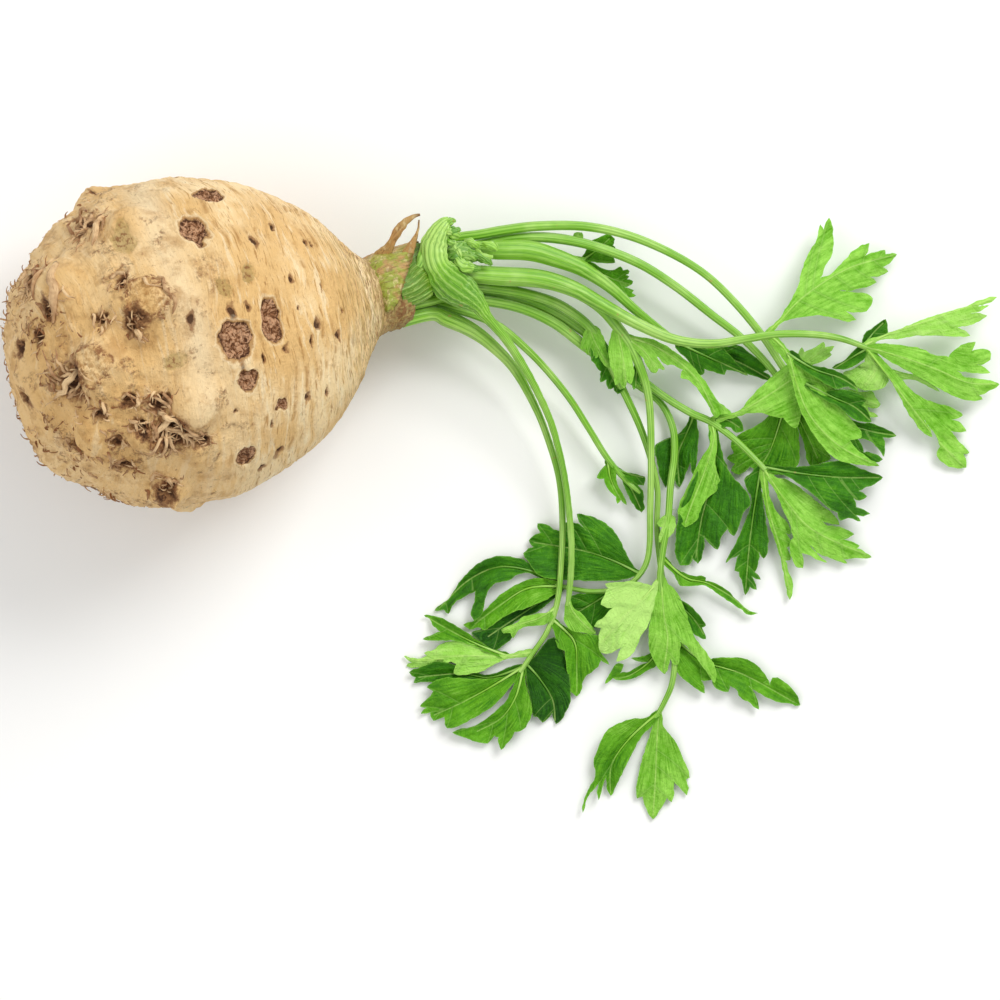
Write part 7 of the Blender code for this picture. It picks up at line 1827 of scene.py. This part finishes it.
class CELERIAC_OT_rootlets(bpy.types.Operator):
    """Make the torn rootlets on the root"""

    bl_idname = "celeriac.rootlets"
    bl_label = "Torn rootlets"

    def execute(self, context):
        make_rootlets(context.scene.celeriac_root)
        return {"FINISHED"}


class CELERIAC_OT_husk(bpy.types.Operator):
    """Make the dry husk round the neck"""

    bl_idname = "celeriac.husk"
    bl_label = "Dry husk"

    def execute(self, context):
        make_husk(context.scene.celeriac_stalk)
        return {"FINISHED"}


class CELERIAC_OT_heart(bpy.types.Operator):
    """Make the cut ends in the heart of the crown"""

    bl_idname = "celeriac.heart"
    bl_label = "Crown heart"

    def execute(self, context):
        make_heart(context.scene.celeriac_stalk)
        return {"FINISHED"}


class CELERIAC_OT_upper_stalks(bpy.types.Operator):
    """Make the stalks at the top of the crown with their leaves"""

    bl_idname = "celeriac.upper_stalks"
    bl_label = "Upper stalks"

    def execute(self, context):
        make_upper_stalks()
        return {"FINISHED"}


class CELERIAC_OT_middle_stalks(bpy.types.Operator):
    """Make the stalks in the middle of the crown with their leaves"""

    bl_idname = "celeriac.middle_stalks"
    bl_label = "Middle stalks"

    def execute(self, context):
        make_middle_stalks()
        return {"FINISHED"}


class CELERIAC_OT_lower_stalks(bpy.types.Operator):
    """Make the hanging, outer and thin stalks with their leaves"""

    bl_idname = "celeriac.lower_stalks"
    bl_label = "Lower stalks"

    def execute(self, context):
        make_lower_stalks()
        return {"FINISHED"}


class CELERIAC_OT_sheathed_stalk(bpy.types.Operator):
    """Make the sheathed stalk over the crown with its lobe, flap and leaf"""

    bl_idname = "celeriac.sheathed_stalk"
    bl_label = "Sheathed stalk"

    def execute(self, context):
        make_sheathed(context.scene.celeriac_stalk)
        return {"FINISHED"}


OPERATORS = (
    CELERIAC_OT_stage,
    CELERIAC_OT_root,
    CELERIAC_OT_rootlets,
    CELERIAC_OT_husk,
    CELERIAC_OT_heart,
    CELERIAC_OT_upper_stalks,
    CELERIAC_OT_middle_stalks,
    CELERIAC_OT_lower_stalks,
    CELERIAC_OT_sheathed_stalk,
)


class CELERIAC_PT_panel(bpy.types.Panel):
    """The pieces of the celeriac, each with its button, and their settings"""

    bl_label = "Celeriac"
    bl_idname = "CELERIAC_PT_panel"
    bl_space_type = "VIEW_3D"
    bl_region_type = "UI"
    bl_category = "Celeriac"

    def draw(self, context):
        for operator in OPERATORS:
            self.layout.operator(operator.bl_idname)
        scene = context.scene
        for look in (scene.celeriac_root, scene.celeriac_stalk, scene.celeriac_leaf, scene.celeriac_stage):
            box = self.layout.box()
            for name in look.__annotations__:
                box.prop(look, name)


LOOKS = {
    "celeriac_root": RootLook,
    "celeriac_stalk": StalkLook,
    "celeriac_leaf": LeafLook,
    "celeriac_stage": StageLook,
}


def register():
    """Register the settings, the operators and the panel."""
    for name, look in LOOKS.items():
        bpy.utils.register_class(look)
        setattr(bpy.types.Scene, name, PointerProperty(type=look))
    for operator in OPERATORS:
        bpy.utils.register_class(operator)
    bpy.utils.register_class(CELERIAC_PT_panel)


def unregister():
    """Take the panel, the operators and the settings away again."""
    bpy.utils.unregister_class(CELERIAC_PT_panel)
    for operator in reversed(OPERATORS):
        bpy.utils.unregister_class(operator)
    for name, look in LOOKS.items():
        delattr(bpy.types.Scene, name)
        bpy.utils.unregister_class(look)


def main():
    """Register the add-on and make every piece in order."""
    register()
    bpy.ops.celeriac.root()
    bpy.ops.celeriac.rootlets()
    bpy.ops.celeriac.husk()
    bpy.ops.celeriac.heart()
    bpy.ops.celeriac.upper_stalks()
    bpy.ops.celeriac.middle_stalks()
    bpy.ops.celeriac.lower_stalks()
    bpy.ops.celeriac.sheathed_stalk()
    bpy.ops.celeriac.stage()


if __name__ == "__main__":
    main()
